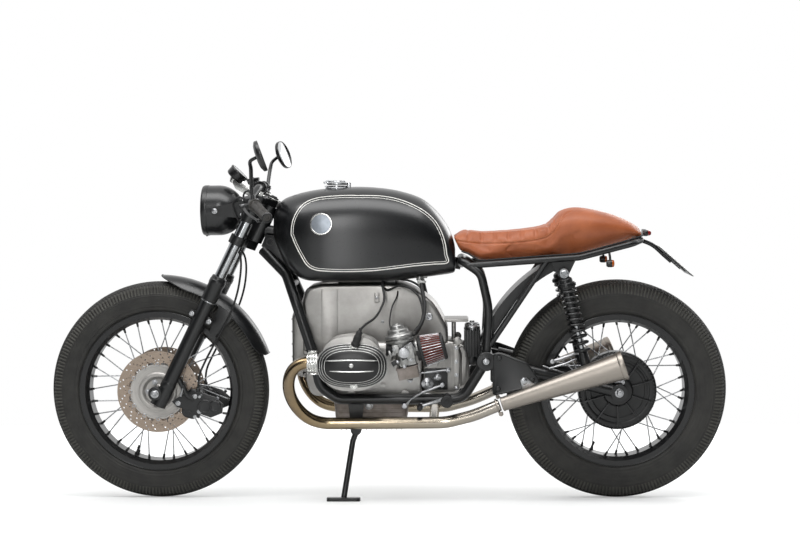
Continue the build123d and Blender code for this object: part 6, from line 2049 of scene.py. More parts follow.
@dataclass
class FrontEnd:
    """Mudguard, fork fittings, brake calipers and the axle's nuts."""

    guard_radius: float = 371.0
    guard_half: float = 60.5
    guard_depth: float = 34.0
    sheet: float = 2.4
    first: float = -1.5
    last: float = -71.5
    pad_up: float = -201.0

    def section(self, turn: float, drop: float, wide: float) -> list[Vector]:
        """Gives the closed section of the mudguard at an angle behind the top.

        Args:
            turn: Angle in degrees.
            drop: How far the lips hang below the crown.
            wide: Half width.

        Returns:
            The ring of points, outer skin first.
        """
        way = Vector((sin(radians(turn)), 0, cos(radians(turn))))
        centre = Vector((FRONT_X, 0, AXLE_Z))
        ring = []
        for skin, steps in ((0.0, range(-14, 15)), (self.sheet, range(14, -15, -1))):
            reach = wide - skin * 0.8
            for step in steps:
                y = reach * sin(step / 14 * pi / 2)
                crease = abs(y / reach) ** 2.6
                ring.append(centre + way * (self.guard_radius - skin - drop * crease) + beside(y))
        return ring

    def mudguard(self) -> None:
        """Makes the blade of the mudguard with a wired edge and its stays."""
        form, rings, edges = Form(), [], ([], [])
        span = self.last - self.first
        for step in range(49):
            share = step / 48
            turn = self.first + span * share
            nose = min(1.0, share / 0.24)
            end = min(1.0, (1 - share) / 0.14)
            round_nose, round_end = sqrt(1 - (1 - nose) ** 2), sqrt(1 - (1 - end) ** 2)
            drop = self.guard_depth * (0.08 + 0.92 * sin(nose * pi / 2)) * (0.25 + 0.75 * round_end)
            wide = self.guard_half * (0.24 + 0.76 * round_nose) * (0.6 + 0.4 * round_end)
            ring = self.section(turn, drop, wide)
            rings.append(ring)
            edges[0].append(ring[0])
            edges[1].append(ring[28])
        form.skin(rings)
        for edge in edges:
            form.tube(edge, 1.9, 8)
        form.tube(rings[0][:29], 1.9, 8)
        form.tube(rings[-1][:29], 1.9, 8)
        piece("front_mudguard_blade", form, Body.STEERING, TANK_ENAMEL, ("front_mudguard",),
              sharp=60)
        stays, bolts = Form(), Form()
        stay_outline = [(532, 628), (496, 604), (487, 588), (546, 526), (566, 540)]
        for side in SIDES:
            top = steer_point(FORK_LEAD, side * 62, self.pad_up)
            low = steer_point(FORK_LEAD, side * 62, self.pad_up - 34)
            stays.slab((top + low) / 2 - STEER_AHEAD * 4, (34, 4.6, 52), STEER_TURN)
            stays.board(stay_outline, side * 62.2, side * 65)
            for lift in (-8, -28):
                bolts.bolt(steer_point(FORK_LEAD - 14, side * 65, self.pad_up + lift), (0, side, 0), 9, 5)
        piece("mudguard_stays", stays, Body.STEERING, FRAME_COAT, bevel=0.8)
        piece("mudguard_bolts", bolts, Body.STEERING, ZINC, bevel=0.4)

    def legs(self) -> None:
        """Makes the seals, rings, lugs, bolts and drain plugs of the fork legs."""
        black, bright = Form(), Form()
        seal_profile = ((-58, 23.4), (-56, 25.2), (-3, 25.2), (0, 26.5), (12, 26.5), (14, 25), (24, 24),
                        (26, 21.5), (26, 18.3))
        foot_profile = ((-13, 12), (-11, 20), (0, 24), (14, 24), (18, 23.2))
        axle_nut = ((0, 11), (6, 11), (7.6, 9), (7.6, 6), (5, 5.4), (5, 0.4))
        for side in SIDES:
            seal = steer_point(FORK_LEAD, side * FORK_HALF, -196)
            black.lathe(seal, STEER_UP, seal_profile, 48)
            bright.lathe(seal, STEER_UP, ((-62, 23.3), (-61.6, 24.6), (-58.6, 24.6), (-58, 23.3)), 48,
                         wrap=True)
            for ahead in (-30, 30):
                lug = steer_point(FORK_LEAD + ahead, side * (FORK_HALF + 3), -312)
                black.lathe(lug - beside(side * 11), (0, side, 0), ((0, 10), (1, 11), (19, 11), (20, 10)), 28)
                black.slab(steer_point(FORK_LEAD + ahead * 0.55, side * (FORK_HALF + 1), -312), (34, 15, 24),
                           STEER_TURN)
                bright.bolt(lug + beside(side * 9), (0, side, 0), 11, 7)
            black.lathe(steer_point(FORK_LEAD, side * FORK_HALF, -560), STEER_UP, foot_profile, 44)
            black.lathe((FRONT_X, side * 92, AXLE_Z), (0, side, 0), ((0, 22), (23, 22), (26, 20), (26, 14)),
                        40)
            bright.lathe((FRONT_X, side * 118, AXLE_Z), (0, side, 0),
                         ((0, 13), (2, 13), (2.4, 11), (2.4, 0.4)), 32)
            bright.lathe((FRONT_X, side * 119, AXLE_Z), (0, side, 0), axle_nut, 6)
            bright.bolt((FRONT_X - 21, side * 109, AXLE_Z - 27), (0, side, 0), 8, 5)
        piece("fork_seals", black, Body.STEERING, FRAME_COAT, bevel=0.7)
        piece("fork_bolts", bright, Body.STEERING, ZINC, ("front_axle",), bevel=0.5)
        tops = Form()
        cap_rim = ((0, 17), (2, 17.6), (5, 17.2), (7, 15.5), (7, 13))
        for side in SIDES:
            cap = steer_point(FORK_LEAD, side * FORK_HALF, 117.2)
            tops.lathe(cap, STEER_UP, cap_rim, 40)
            tops.lathe(cap, STEER_UP, ((7, 11), (12.5, 11), (13.5, 10)), 6)
        tops.lathe(steer_point(0, 0, 117), STEER_UP, ((0, 18), (2, 18.6), (4, 18.6), (5, 17)), 48)
        piece("fork_top_caps", tops, Body.STEERING, BRIGHT_ALLOY, bevel=0.5)

    @staticmethod
    def squared(share: float) -> float:
        """Turns a share of a circle's radius, from -1 to 1, into that of a rounded square."""
        return abs(share) ** 0.62 * (1 if share > 0 else -1)

    def calipers(self) -> None:
        """Makes the two brake calipers with their bridges, pistons, pins and hose ends."""
        black, bright = Form(), Form()
        angle = radians(198)
        out = Vector((cos(angle), 0, sin(angle)))
        along = Vector((-sin(angle), 0, cos(angle)))
        middle = Vector((FRONT_X, 0, AXLE_Z)) + out * 120
        piston_cap = ((0, 15.5), (2.5, 15), (3.4, 13.6), (3.4, 8), (2.6, 7.4), (2.6, 0.4))
        hose_end = ((0, 7), (2, 7.6), (12, 7.6), (14, 5.5), (19, 5), (19, 3.4))
        for side in SIDES:
            turn = Matrix((out, beside(side), along)).transposed()
            for low, high in ((46, 56.5), (69.5, 84)):
                rings = []
                for y, shrink in ((low, 3), (low + 2, 0), (high - 4, 0), (high - 1, 3), (high, 7)):
                    ring = []
                    for step in range(28):
                        turned = 2 * pi * step / 28
                        ring.append(middle + out * (30 - shrink) * self.squared(cos(turned))
                                    + along * (48 - shrink) * self.squared(sin(turned)) + beside(y * side))
                    rings.append(ring)
                black.skin(rings)
            black.slab(middle + out * 25 + beside(64 * side), (14, 24, 78), turn)
            for lift in (-18, 18):
                spot = middle + along * lift - out * 2
                black.lathe(spot + beside(82 * side), (0, side, 0), piston_cap, 36)
                bright.bolt(middle + along * lift * 2.05 + out * 19 + beside(83 * side), (0, side, 0), 8, 5)
            for lift in (-9, 9):
                bright.tube((middle + along * lift + out * 27 + beside(52 * side),
                             middle + along * lift + out * 27 + beside(86.5 * side)), 2.6, 12)
            arm = [Vector((648, 86 * side, 372)), Vector((640, 88 * side, 352)),
                   Vector((630, 86 * side, 338)), Vector((612, 84 * side, 330))]
            black.tube(arm, (8, 8.5, 9, 9), 16)
            black.tube((Vector((664, 88 * side, 400)), Vector((646, 87 * side, 366))), (9, 8), 16)
            bright.tube((Vector((646, 91 * side, 374)), Vector((655, 91 * side, 338))), 3.4, 12)
            hose = Vector((601, 76.5 * side, 367))
            black.lathe(hose + Vector((0, 2 * side, -18)), (0, 0, 1), hose_end, 24)
            black.slab(hose + Vector((-18, 0, -40)), (40, 15, 20), turn)
            black.tube((hose + Vector((-20, 0, -36)), hose + Vector((-44, 2 * side, -50))), (7, 6), 14)
            bright.bolt(hose + Vector((-6, 9 * side, -30)), (0, side, 0), 10, 6)
            bright.bolt(hose + Vector((-30, 9 * side, -52)), (0, side, 0), 8, 6)
        piece("caliper_castings", black, Body.STEERING, FRAME_COAT, ("brake_calipers",),
              bevel=0.9)
        piece("caliper_pins", bright, Body.STEERING, ZINC, bevel=0.4)

    def hoses(self) -> None:
        """Makes the brake hoses from the splitter below the yoke to the calipers, and the upper hose."""
        low = Form()
        fork = steer_point(30, 15, -64)
        for side in SIDES:
            line = [(fork.x, fork.y + 1.3, fork.z), (478, 26, 806), (466, 44, 786), (461, 60, 760),
                    (462, 74, 722), (470, 83, 672), (487, 87, 618), (514, 87, 562), (548, 84, 502),
                    (580, 81, 442), (597, 78, 400), (601, 76.5, 350)]
            low.tube(smooth_line([flip(spot, side) for spot in line], 6), 3.3, 12)
        low.lathe(fork + Vector((0, -15, -2)) - STEER_UP * 4, STEER_UP, ((-9, 8), (-8, 10), (8, 10), (9, 8)),
                  20)
        low.tube(smooth_line([fork + Vector((0, -15, 6)), steer_point(52, 0, -20), steer_point(58, -26, 20),
                              steer_point(56, -60, 70), steer_point(24, -92, 112), (430, -148, 992),
                              (452, -170, 988)], 6), 3.3, 12)
        piece("brake_hose_runs", low, Body.STEERING, RUBBER, ("brake_hoses",))

    def build(self) -> None:
        """Builds the front end."""
        self.mudguard()
        self.legs()
        self.calipers()
        self.hoses()


@dataclass
class Headlight:
    """The lamp's ring, reflector, bulb and ribbed glass."""

    x: float = 540.0
    z: float = 927.0
    radius: float = 80.0
    front: float = 40.0
    lens: float = 73.0

    def build(self) -> None:
        """Builds the headlight."""
        centre, ahead = (self.x, 0, self.z), (1, 0, 0)
        ring_profile = ((27.5, 75), (27.5, 80.4), (28.5, 81), (33, 81), (40, 80.6), (44, 79.4), (47, 77),
                        (47.4, 75), (46, 73.4), (42, 73.2), (40.2, 73.2), (40.2, 69.6), (39, 69))
        ring = Form().lathe(centre, ahead, ring_profile, 96, wrap=True)
        ring.bolt((self.x + 37, 0, self.z - 80.2), (0, 0, -1), 7, 3)
        piece("headlight_ring", ring, Body.STEERING, FRAME_COAT, bevel=0.2)
        bowl_back = [(-14, 11), (-14, 14), (-8, 26), (4, 46), (20, 62), (37, 71.5)]
        bowl = Form().lathe(centre, ahead, [(39.8 - 52 * (1 - (reach / 70) ** 2), reach) for reach in
                                            (70, 66, 60, 52, 43, 33, 23, 15, 11)]
                            + bowl_back, 72, wrap=True)
        piece("headlight_reflector", bowl, Body.STEERING, MIRROR, ("headlight_rim",))
        bulb_profile = ((-15, 10.5), (-11, 10.5), (-10, 6), (2, 6.4), (14, 6), (18, 4), (20, 1))
        bulb = Form().lathe(centre, ahead, bulb_profile, 24)
        piece("headlight_bulb", bulb, Body.STEERING, LAMP_GLASS)
        glass = Form()
        outer, inner = [], []
        curve = (self.lens ** 2 + 12 ** 2) / 24
        for step in range(19):
            reach = self.lens * (1 - step / 18)
            rise = sqrt(max(curve ** 2 - reach ** 2, 0)) - (curve - 12)
            outer.append((44 + rise, max(reach, 0.3)))
            inner.append((41.4 + rise * 0.94, max(reach - 1.4, 0.3)))
        glass.lathe(centre, ahead, [(40.4, self.lens - 0.4)] + outer + inner[::-1], 96, wrap=True)
        for rib in range(-9, 10):
            y = rib * 7.2
            tall = sqrt(66 ** 2 - y ** 2)
            rise = sqrt(curve ** 2 - y ** 2) - (curve - 12)
            line = []
            for step in range(9):
                z = tall * (step / 4 - 1)
                bow = sqrt(curve ** 2 - y ** 2 - z ** 2) - (curve - 12)
                line.append(Vector((self.x + 41 + bow * 0.94, y, self.z + z)))
            glass.tube(line, 1.3, 6)
        piece("headlight_glass", glass, Body.STEERING, LAMP_GLASS, ("headlight_lens",),
              sharp=25)
        mounts = Form()
        for side in SIDES:
            mounts.lathe((self.x, side * 84.2, self.z), (0, side, 0), ((0, 9), (1.6, 9), (2.2, 8), (2.2, 6)),
                         32)
            mounts.lathe((self.x, side * 86, self.z), (0, side, 0), ((0, 6.4), (3, 6), (4, 4.8), (4, 0.4)),
                         24)
            for lift in (36, 64):
                mounts.bolt(steer_point(FORK_LEAD + 22.6, side * (FORK_HALF - 4), lift), STEER_AHEAD, 8, 5)
        piece("headlight_bolts", mounts, Body.STEERING, ZINC, bevel=0.5)


@dataclass
class Controls:
    """Grips, levers, perches, switches, mirrors and the speedometer on the handlebar."""

    bend: tuple[float, float, float] = (406.0, 200.0, 956.0)
    end: tuple[float, float, float] = (346.0, 336.0, 914.0)
    grip: float = 120.0
    mirror: tuple[float, float, float] = (380.0, 335.0, 1104.0)
    dial: tuple[float, float, float] = (478.0, 0.0, 1040.0)
    middle: tuple[float, float, float] = (398.0, 0.0, 1000.0)

    def grips(self) -> None:
        """Makes the ribbed grips with flanges and bar end plugs."""
        rubber, ends = Form(), Form()
        end_ring = ((0.2, 11), (0.2, 16), (2, 16.5), (6.5, 16.5), (8.2, 15), (8.2, 12.2), (3, 11))
        end_plug = ((0, 11.4), (4.5, 11.4), (4.5, 6), (2.5, 5), (2.5, 0.4))
        for side in SIDES:
            end = flip(self.end, side)
            way = (end - flip(self.bend, side)).normalized()
            start = end - way * self.grip
            outline = [(-6, 12), (-6, 19.5), (-4.5, 21), (-1, 21), (0.5, 19.5), (1, 16.4)]
            for step in range(28):
                at = 3 + step * 4.1
                outline += [(at, 15.2), (at + 0.7, 16.3), (at + 2.9, 16.3), (at + 3.5, 15.2)]
            rubber.lathe(start, way, outline + [(118.5, 16.3), (120, 15.6), (120, 12)], 40)
            ends.lathe(end, way, end_ring, 40, wrap=True)
            rubber.lathe(end, way, end_plug, 32)
        piece("grip_rubbers", rubber, Body.STEERING, GRIP_RUBBER, ("grips",))
        piece("bar_end_rings", ends, Body.STEERING, RIM_ENAMEL, bevel=0.3)

    def levers(self) -> None:
        """Makes the perches, the blade levers, the switches and the master cylinder."""
        black, bright = Form(), Form()
        ahead = Vector((cos(radians(12)), 0, -sin(radians(12))))
        ball_tip = ((-7, 2), (-5, 5.6), (0, 7), (5, 5.6), (7, 2))
        for side in SIDES:
            end = flip(self.end, side)
            way = (end - flip(self.bend, side)).normalized()
            perch = end - way * (self.grip + 24)
            black.lathe(perch, way, ((-1, 15.5), (0, 17.5), (20, 17.5), (22, 16)), 32)
            black.lathe(end - way * (self.grip + 2), way, ((-20, 17), (-19, 19.6), (-2, 19.6), (-1, 17)), 32)
            cross = way.cross(ahead).normalized()
            turn = Matrix((ahead, cross, way)).transposed()
            black.slab(perch + way * 11 + ahead * 24, (26, 15, 17), turn)
            knuckle = perch + way * 11 + ahead * 34
            black.slab(knuckle, (17, 12, 26), turn)
            bright.lathe(knuckle - cross * 8, cross, ((0, 5), (2, 5.4), (14, 5.4), (16, 5)), 20)
            blade = []
            for step in range(19):
                share = step / 18
                spot = knuckle + way * (6 + 138 * share) + ahead * (7 * sin(share * pi) - 5 * share)
                ring = []
                for corner in range(16):
                    a = 2 * pi * corner / 16
                    thick = 4.6 if share < 0.94 else 5.4
                    broad = 9.5 - 3.8 * share if share < 0.93 else 6.8
                    ring.append(spot + ahead * broad * cos(a) * 0.62 + cross * thick * sin(a) * 0.8)
                blade.append(ring)
            black.skin(blade)
            black.lathe(knuckle + way * 146 + ahead * -5, way, ball_tip, 20)
            switch = end - way * (self.grip + 46)
            black.slab(switch + Vector((0, 0, 1)), (34, 30, 28), turn)
            bright.lathe(switch + Vector((-19, 0, 4)), (-1, 0, 0.2), ((0, 4.5), (3, 4.5), (4, 3)), 20)
            bright.slab(switch + Vector((-18, 0, -9)), (6, 10, 4), turn)
        # Master cylinder and its round pot on the right
        base = Vector((425, -166, 992))
        black.tube((base + Vector((14, 30, -6)), base + Vector((18, -34, -14))), 10.5, 24)
        fluid_pot = ((0, 15), (2, 20), (26, 20), (27, 22), (33, 22), (35, 20), (35, 4))
        black.lathe(base + Vector((18, -2, 2)), (0.15, 0, 1), fluid_pot, 40)
        bright.lathe(base + Vector((22.6, -2, 37)), (0.15, 0, 1), ((-1, 5), (1.6, 5), (2.2, 4)), 6)
        piece("lever_castings", black, Body.STEERING, FRAME_COAT, ("control_levers",),
              bevel=0.8)
        piece("lever_pins", bright, Body.STEERING, ZINC, bevel=0.3)

    def mirrors(self) -> None:
        """Makes the round mirrors: cast stems, shallow shells and the glass."""
        shells, glass = Form(), Form()
        grip_way = (Vector(self.end) - Vector(self.bend)).normalized()
        perch = Vector(self.end) - grip_way * (self.grip + 13)
        root_boss = ((0, 9), (2, 9.6), (10, 9.6), (12, 8), (22, 7.4), (24, 6))
        shell_profile = ((-8.6, 1), (-8.4, 18), (-6, 34), (0, 46.6), (2, 47.6), (9.5, 48), (11.6, 47.4),
                         (11.8, 45.6), (10.4, 45))
        for side in SIDES:
            root = Vector((perch.x + 4, side * perch.y, perch.z + 10))
            centre = Vector((368, side * (self.mirror[1] - 2), 1096 if side > 0 else 1103.8))
            line = smooth_line([root, root + Vector((2, side * 2, 24)), root + Vector((3, side * 8, 46)),
                                Vector((root.x - 1, side * (perch.y + 44), self.mirror[2] - 46)),
                                Vector((root.x - 4, side * (perch.y + 84), self.mirror[2] - 22)),
                                centre + Vector((9, -side * 8, -2))], 6)
            shells.tube(line, [4.4 + 1.9 * min(1, at / 12) - 1.2 * max(0, (at - 18) / 12)
                               for at in range(len(line))], 18)
            shells.lathe(root - Vector((0, 0, 4)), (0, 0, 1), root_boss, 24)
            facing = Vector((-0.93, -0.11 if side > 0 else 0.29, 0.34)).normalized()
            shells.lathe(centre, facing, shell_profile, 72)
            glass.lathe(centre, facing, ((8, 44.8), (10.6, 44.8), (11.1, 44), (11.1, 0.4)), 72)
        piece("mirror_shells", shells, Body.STEERING, FRAME_COAT, ("mirrors",), sharp=45)
        piece("mirror_glasses", glass, Body.STEERING, MIRROR)

    def speedometer(self) -> None:
        """Makes the small speedometer: a black drum with a dial of plain marks and numbers."""
        facing = Vector((-0.7, 0, 0.72)).normalized()
        centre = Vector(self.dial)
        drum_profile = ((-15.2, 0.5), (-15.2, 24), (-13, 29), (-9, 31.5), (8, 31.8), (9, 33), (13.4, 33),
                        (15, 31.8), (15, 29.4), (12.6, 28.8))
        drum = Form().lathe(centre, facing, drum_profile, 64)
        drum.tube((centre - facing * 15, centre - facing * 22 + Vector((-2, 0, -3))), (9, 7), 20)
        piece("speedometer_case", drum, Body.STEERING, FRAME_COAT, ("instrument",), sharp=40)
        bracket = Form()
        low = steer_point(44, 0, 104)
        bracket.board([(low.x - 14, low.z - 6), (low.x - 10, low.z + 12), (centre.x - 6, centre.z - 10),
                       (centre.x + 10, centre.z - 15), (centre.x + 14, centre.z - 24),
                       (centre.x + 4, centre.z - 44), (low.x + 14, low.z - 4)], -13, 13)
        bracket.tube((centre - facing * 12, centre - facing * 24 + Vector((-3, 0, -6))), (14, 11), 24)
        bracket.bolt(centre - facing * 16 + Vector((6, 0, -6)), -facing, 10, 6)
        piece("speedometer_bracket", bracket, Body.STEERING, BRIGHT_ALLOY, bevel=1.0)
        face = Form().lathe(centre, facing, ((10.5, 28.9), (11.6, 28.9), (11.6, 0.3)), 64)
        piece("speedometer_face", face, Body.STEERING, DIAL_BLACK)
        turn = basis(facing, (0.72, 0, 0.7))
        marks = Form()
        for step in range(25):
            a = radians(225 - step * 270 / 24)
            long = 5.0 if step % 2 == 0 else 2.6
            spoke = turn @ Vector((cos(a), sin(a), 0))
            marks.slab(centre + facing * 11.8 + spoke * (27 - long / 2),
                       (long, 0.7 if step % 2 else 1.0, 0.3),
                       Matrix((spoke, facing.cross(spoke), facing)).transposed())
        a = radians(214)
        spoke = turn @ Vector((cos(a), sin(a), 0))
        marks.slab(centre + facing * 12.3 + spoke * 9, (26, 1.2, 0.5),
                   Matrix((spoke, facing.cross(spoke), facing)).transposed())
        marks.lathe(centre, facing, ((11.7, 3), (12.8, 3), (13, 2.4), (13, 0.3)), 24)
        numbers = [self.number(str(20 * step), centre, facing, turn, radians(225 - step * 33.75))
                   for step in range(9)]
        piece("speedometer_marks", joined([marks.drawn()] + numbers), Body.STEERING, STRIPE)
        glass_profile = ((12.8, 28.9), (13.6, 29.2), (14.6, 28.9), (14.9, 20), (15, 0.3), (13.8, 0.3),
                         (13.6, 20), (13.2, 28))
        glass = Form().lathe(centre, facing, glass_profile, 64, wrap=True)
        piece("speedometer_glass", glass, Body.STEERING, LAMP_GLASS)

    def number(self, text: str, centre: Vector, facing: Vector, turn: Matrix, angle: float) -> bpy.types.Mesh:
        """Sets a number on the dial.

        Args:
            text: The digits.
            centre: Middle of the dial.
            facing: Direction that the dial faces.
            turn: The dial's own axes.
            angle: Place of the number, anticlockwise from the dial's right.

        Returns:
            The parked mesh of the number.
        """
        curve = bpy.data.curves.new("digits", "FONT")
        curve.body, curve.size, curve.extrude = text, 4.6, 0.12
        curve.align_x, curve.align_y = "CENTER", "CENTER"
        holder = placed("digits", curve)
        bpy.context.view_layer.update()
        mesh = evaluated(holder)
        bpy.data.objects.remove(holder)
        mesh.materials.clear()
        spot = centre + facing * 11.9 + turn @ Vector((cos(angle), sin(angle), 0)) * 18.2
        mesh.transform(PARKED @ Matrix.Translation(spot) @ turn.to_4x4())
        return mesh

    def clamps(self) -> None:
        """Makes the handlebar's clamps and their bolts, and the nut on top of the stem."""
        silver = Form()
        clamp_profile = ((0, 11.3), (0, 19.2), (1, 20), (23, 20), (24, 19.2), (24, 11.3))
        for side in SIDES:
            clamp = Vector(self.middle) + beside(side * 38)
            silver.lathe(clamp - beside(side * 12), (0, side, 0), clamp_profile, 40, wrap=True)
            silver.slab(clamp + STEER_UP * 3, (46, 23, 9), STEER_TURN)
            for ahead in (-17.5, 17.5):
                silver.bolt(clamp + STEER_UP * 7.6 + STEER_AHEAD * ahead, STEER_UP, 8, 6)
        silver.lathe(steer_point(0, 0, 117), STEER_UP, ((0, 16.5), (8, 16.5), (9.6, 15)), 6)
        silver.lathe(steer_point(0, 0, 126), STEER_UP, ((0, 10), (3, 10), (4, 8.6)), 32)
        piece("bar_clamps", silver, Body.STEERING, FRAME_COAT, bevel=0.8)

    def build(self) -> None:
        """Builds the controls."""
        self.grips()
        self.levers()
        self.mirrors()
        self.speedometer()
        self.clamps()


@dataclass
class RearDrive:
    """What the swinging arm carries: shaft boot, final drive, axle nuts, brake arm and rods."""

    pivot: tuple[float, float] = (-315.0, 455.0)
    arm_y: float = 94.0
    drive_y: float = -50.0

    def slope(self) -> Vector:
        """Gives the swinging arm's direction, towards the wheel."""
        return Vector((REAR_X - self.pivot[0], 0, AXLE_Z - self.pivot[1])).normalized()

    def boot(self) -> None:
        """Makes the ribbed rubber boot between gearbox and shaft, with its two clips."""
        form, clips = Form(), Form()
        outline = [(1, 20)]
        for fold in range(6):
            outline += [(1.5 + fold * 7.6, 24.5), (4.4 + fold * 7.6, 28.6), (7.2 + fold * 7.6, 25)]
        form.lathe((-268, -68, self.pivot[1]), (-1, 0, 0), outline + [(47.5, 20)], 40)
        for along in (2.5, 44):
            clips.lathe((-268 - along, -68, self.pivot[1]), (-1, 0, 0),
                        ((-2, 24), (-2, 28.9), (2, 28.9), (2, 24)), 40, wrap=True)
        piece("shaft_boot_bellows", form, Body.FRAME, RUBBER, ("shaft_boot",))
        piece("shaft_boot_clips", clips, Body.FRAME, ZINC, bevel=0.3)

    def drive(self) -> None:
        """Makes the final drive's casting with its ribs, cover, plugs and bolts."""
        form, bolts = Form(), Form()
        centre = Vector((REAR_X, 0, AXLE_Z))
        casting_profile = ((0, 30), (0, 76), (3, 78), (14, 78), (17, 74), (52, 74), (56, 77.5), (64, 77.5),
                           (66, 74), (70, 62), (75, 54), (86, 46), (86, 26), (80, 24), (80, 9.2), (0, 9.2))
        form.lathe(centre + beside(self.drive_y), (0, -1, 0), casting_profile, 72, wrap=True)
        neck = centre - self.slope() * 40 - beside(self.arm_y)
        neck_profile = ((0, 34), (40, 33.5), (44, 38), (52, 38), (53, 30))
        form.lathe(neck + self.slope() * 8, -self.slope(), neck_profile, 40)
        for step in range(8):
            turn = radians(step * 45 + 22)
            spoke = Vector((cos(turn), 0, sin(turn)))
            form.slab(centre + beside(-122) + spoke * 60, (34, 8, 5), basis(beside(1), spoke))
            bolts.bolt(centre + beside(-113) + spoke * 70, (0, -1, 0), 9, 6)
        for x, z in ((30, -62), (-34, 60)):
            bolts.bolt(centre + Vector((x, -112, z)), (0, -1, 0), 17, 9)
        piece("final_drive_casting", form, Body.FRAME, FRAME_COAT, ("final_drive",), bevel=0.8)
        piece("final_drive_bolts", bolts, Body.FRAME, ZINC, bevel=0.4)

    def axle(self) -> None:
        """Makes the axle with its nut and washers."""
        form = Form()
        centre = Vector((REAR_X, 0, AXLE_Z))
        axle_profile = ((-142, 0.4), (-142, 8.3), (132, 8.3), (133.5, 7), (133.5, 0.4))
        form.lathe(centre, (0, 1, 0), axle_profile, 24)
        form.lathe(centre + beside(114.5), (0, 1, 0), ((0, 14), (2.4, 14), (3, 13), (3, 8.4)), 32)
        form.bolt(centre + beside(117), (0, 1, 0), 20, 11, washer=False)
        form.lathe(centre + beside(-136), (0, -1, 0), ((0, 15), (4, 15), (5.6, 13), (5.6, 8)), 32)
        piece("rear_axle_fittings", form, Body.FRAME, ZINC, ("rear_axle",), bevel=0.5)

    def brake(self) -> None:
        """Makes the brake arm, its clevis and rod, the stay, and the rod beside the shock absorber."""
        form, bright = Form(), Form()
        y = 122.0
        hub = Vector((REAR_X, y, AXLE_Z))
        form.board([(REAR_X + 8, AXLE_Z + 30), (REAR_X + 8, AXLE_Z + 42), (REAR_X + 70, AXLE_Z + 36),
                    (REAR_X + 74, AXLE_Z + 30), (REAR_X + 70, AXLE_Z + 24)], 78, 84)
        arm_boss = ((0, 11), (9, 11), (10, 9), (16, 8.5), (17, 6), (17, 0.4))
        bright.lathe(hub + Vector((6, -44, 36)), (0, 1, 0), arm_boss, 24)
        bright.bolt(hub + Vector((-12, -42, 30)), (0, 1, 0), 12, 7)
        bright.bolt(hub + Vector((-8, -42, -20)), (0, 1, 0), 13, 7)
        bright.tube([(REAR_X + 66, 84, AXLE_Z + 30), (REAR_X + 150, 86, AXLE_Z + 52),
                     (-494, 92, AXLE_Z + 84)], 3.2, 12)
        bright.tube([(-522, 126, 452), (-566, 126, 466), (-606, 126, 480)], [5.5, 5.5, 5.5], 16)
        bright.tube([(-512, 128, 430), (-560, 128, 444), (-598, 128, 460)], 3.4, 12)
        for x, z in ((-522, 452), (-606, 480)):
            bright.lathe((x, 114, z), (0, 1, 0), ((0, 8), (16, 8), (18, 6.5), (18, 0.4)), 20)
        piece("brake_arm_pressing", form, Body.FRAME, FRAME_COAT, bevel=0.6)
        piece("brake_rods", bright, Body.FRAME, ZINC, bevel=0.4)

    def build(self) -> None:
        """Builds the arm's fittings."""
        self.boot()
        self.drive()
        self.axle()
        self.brake()


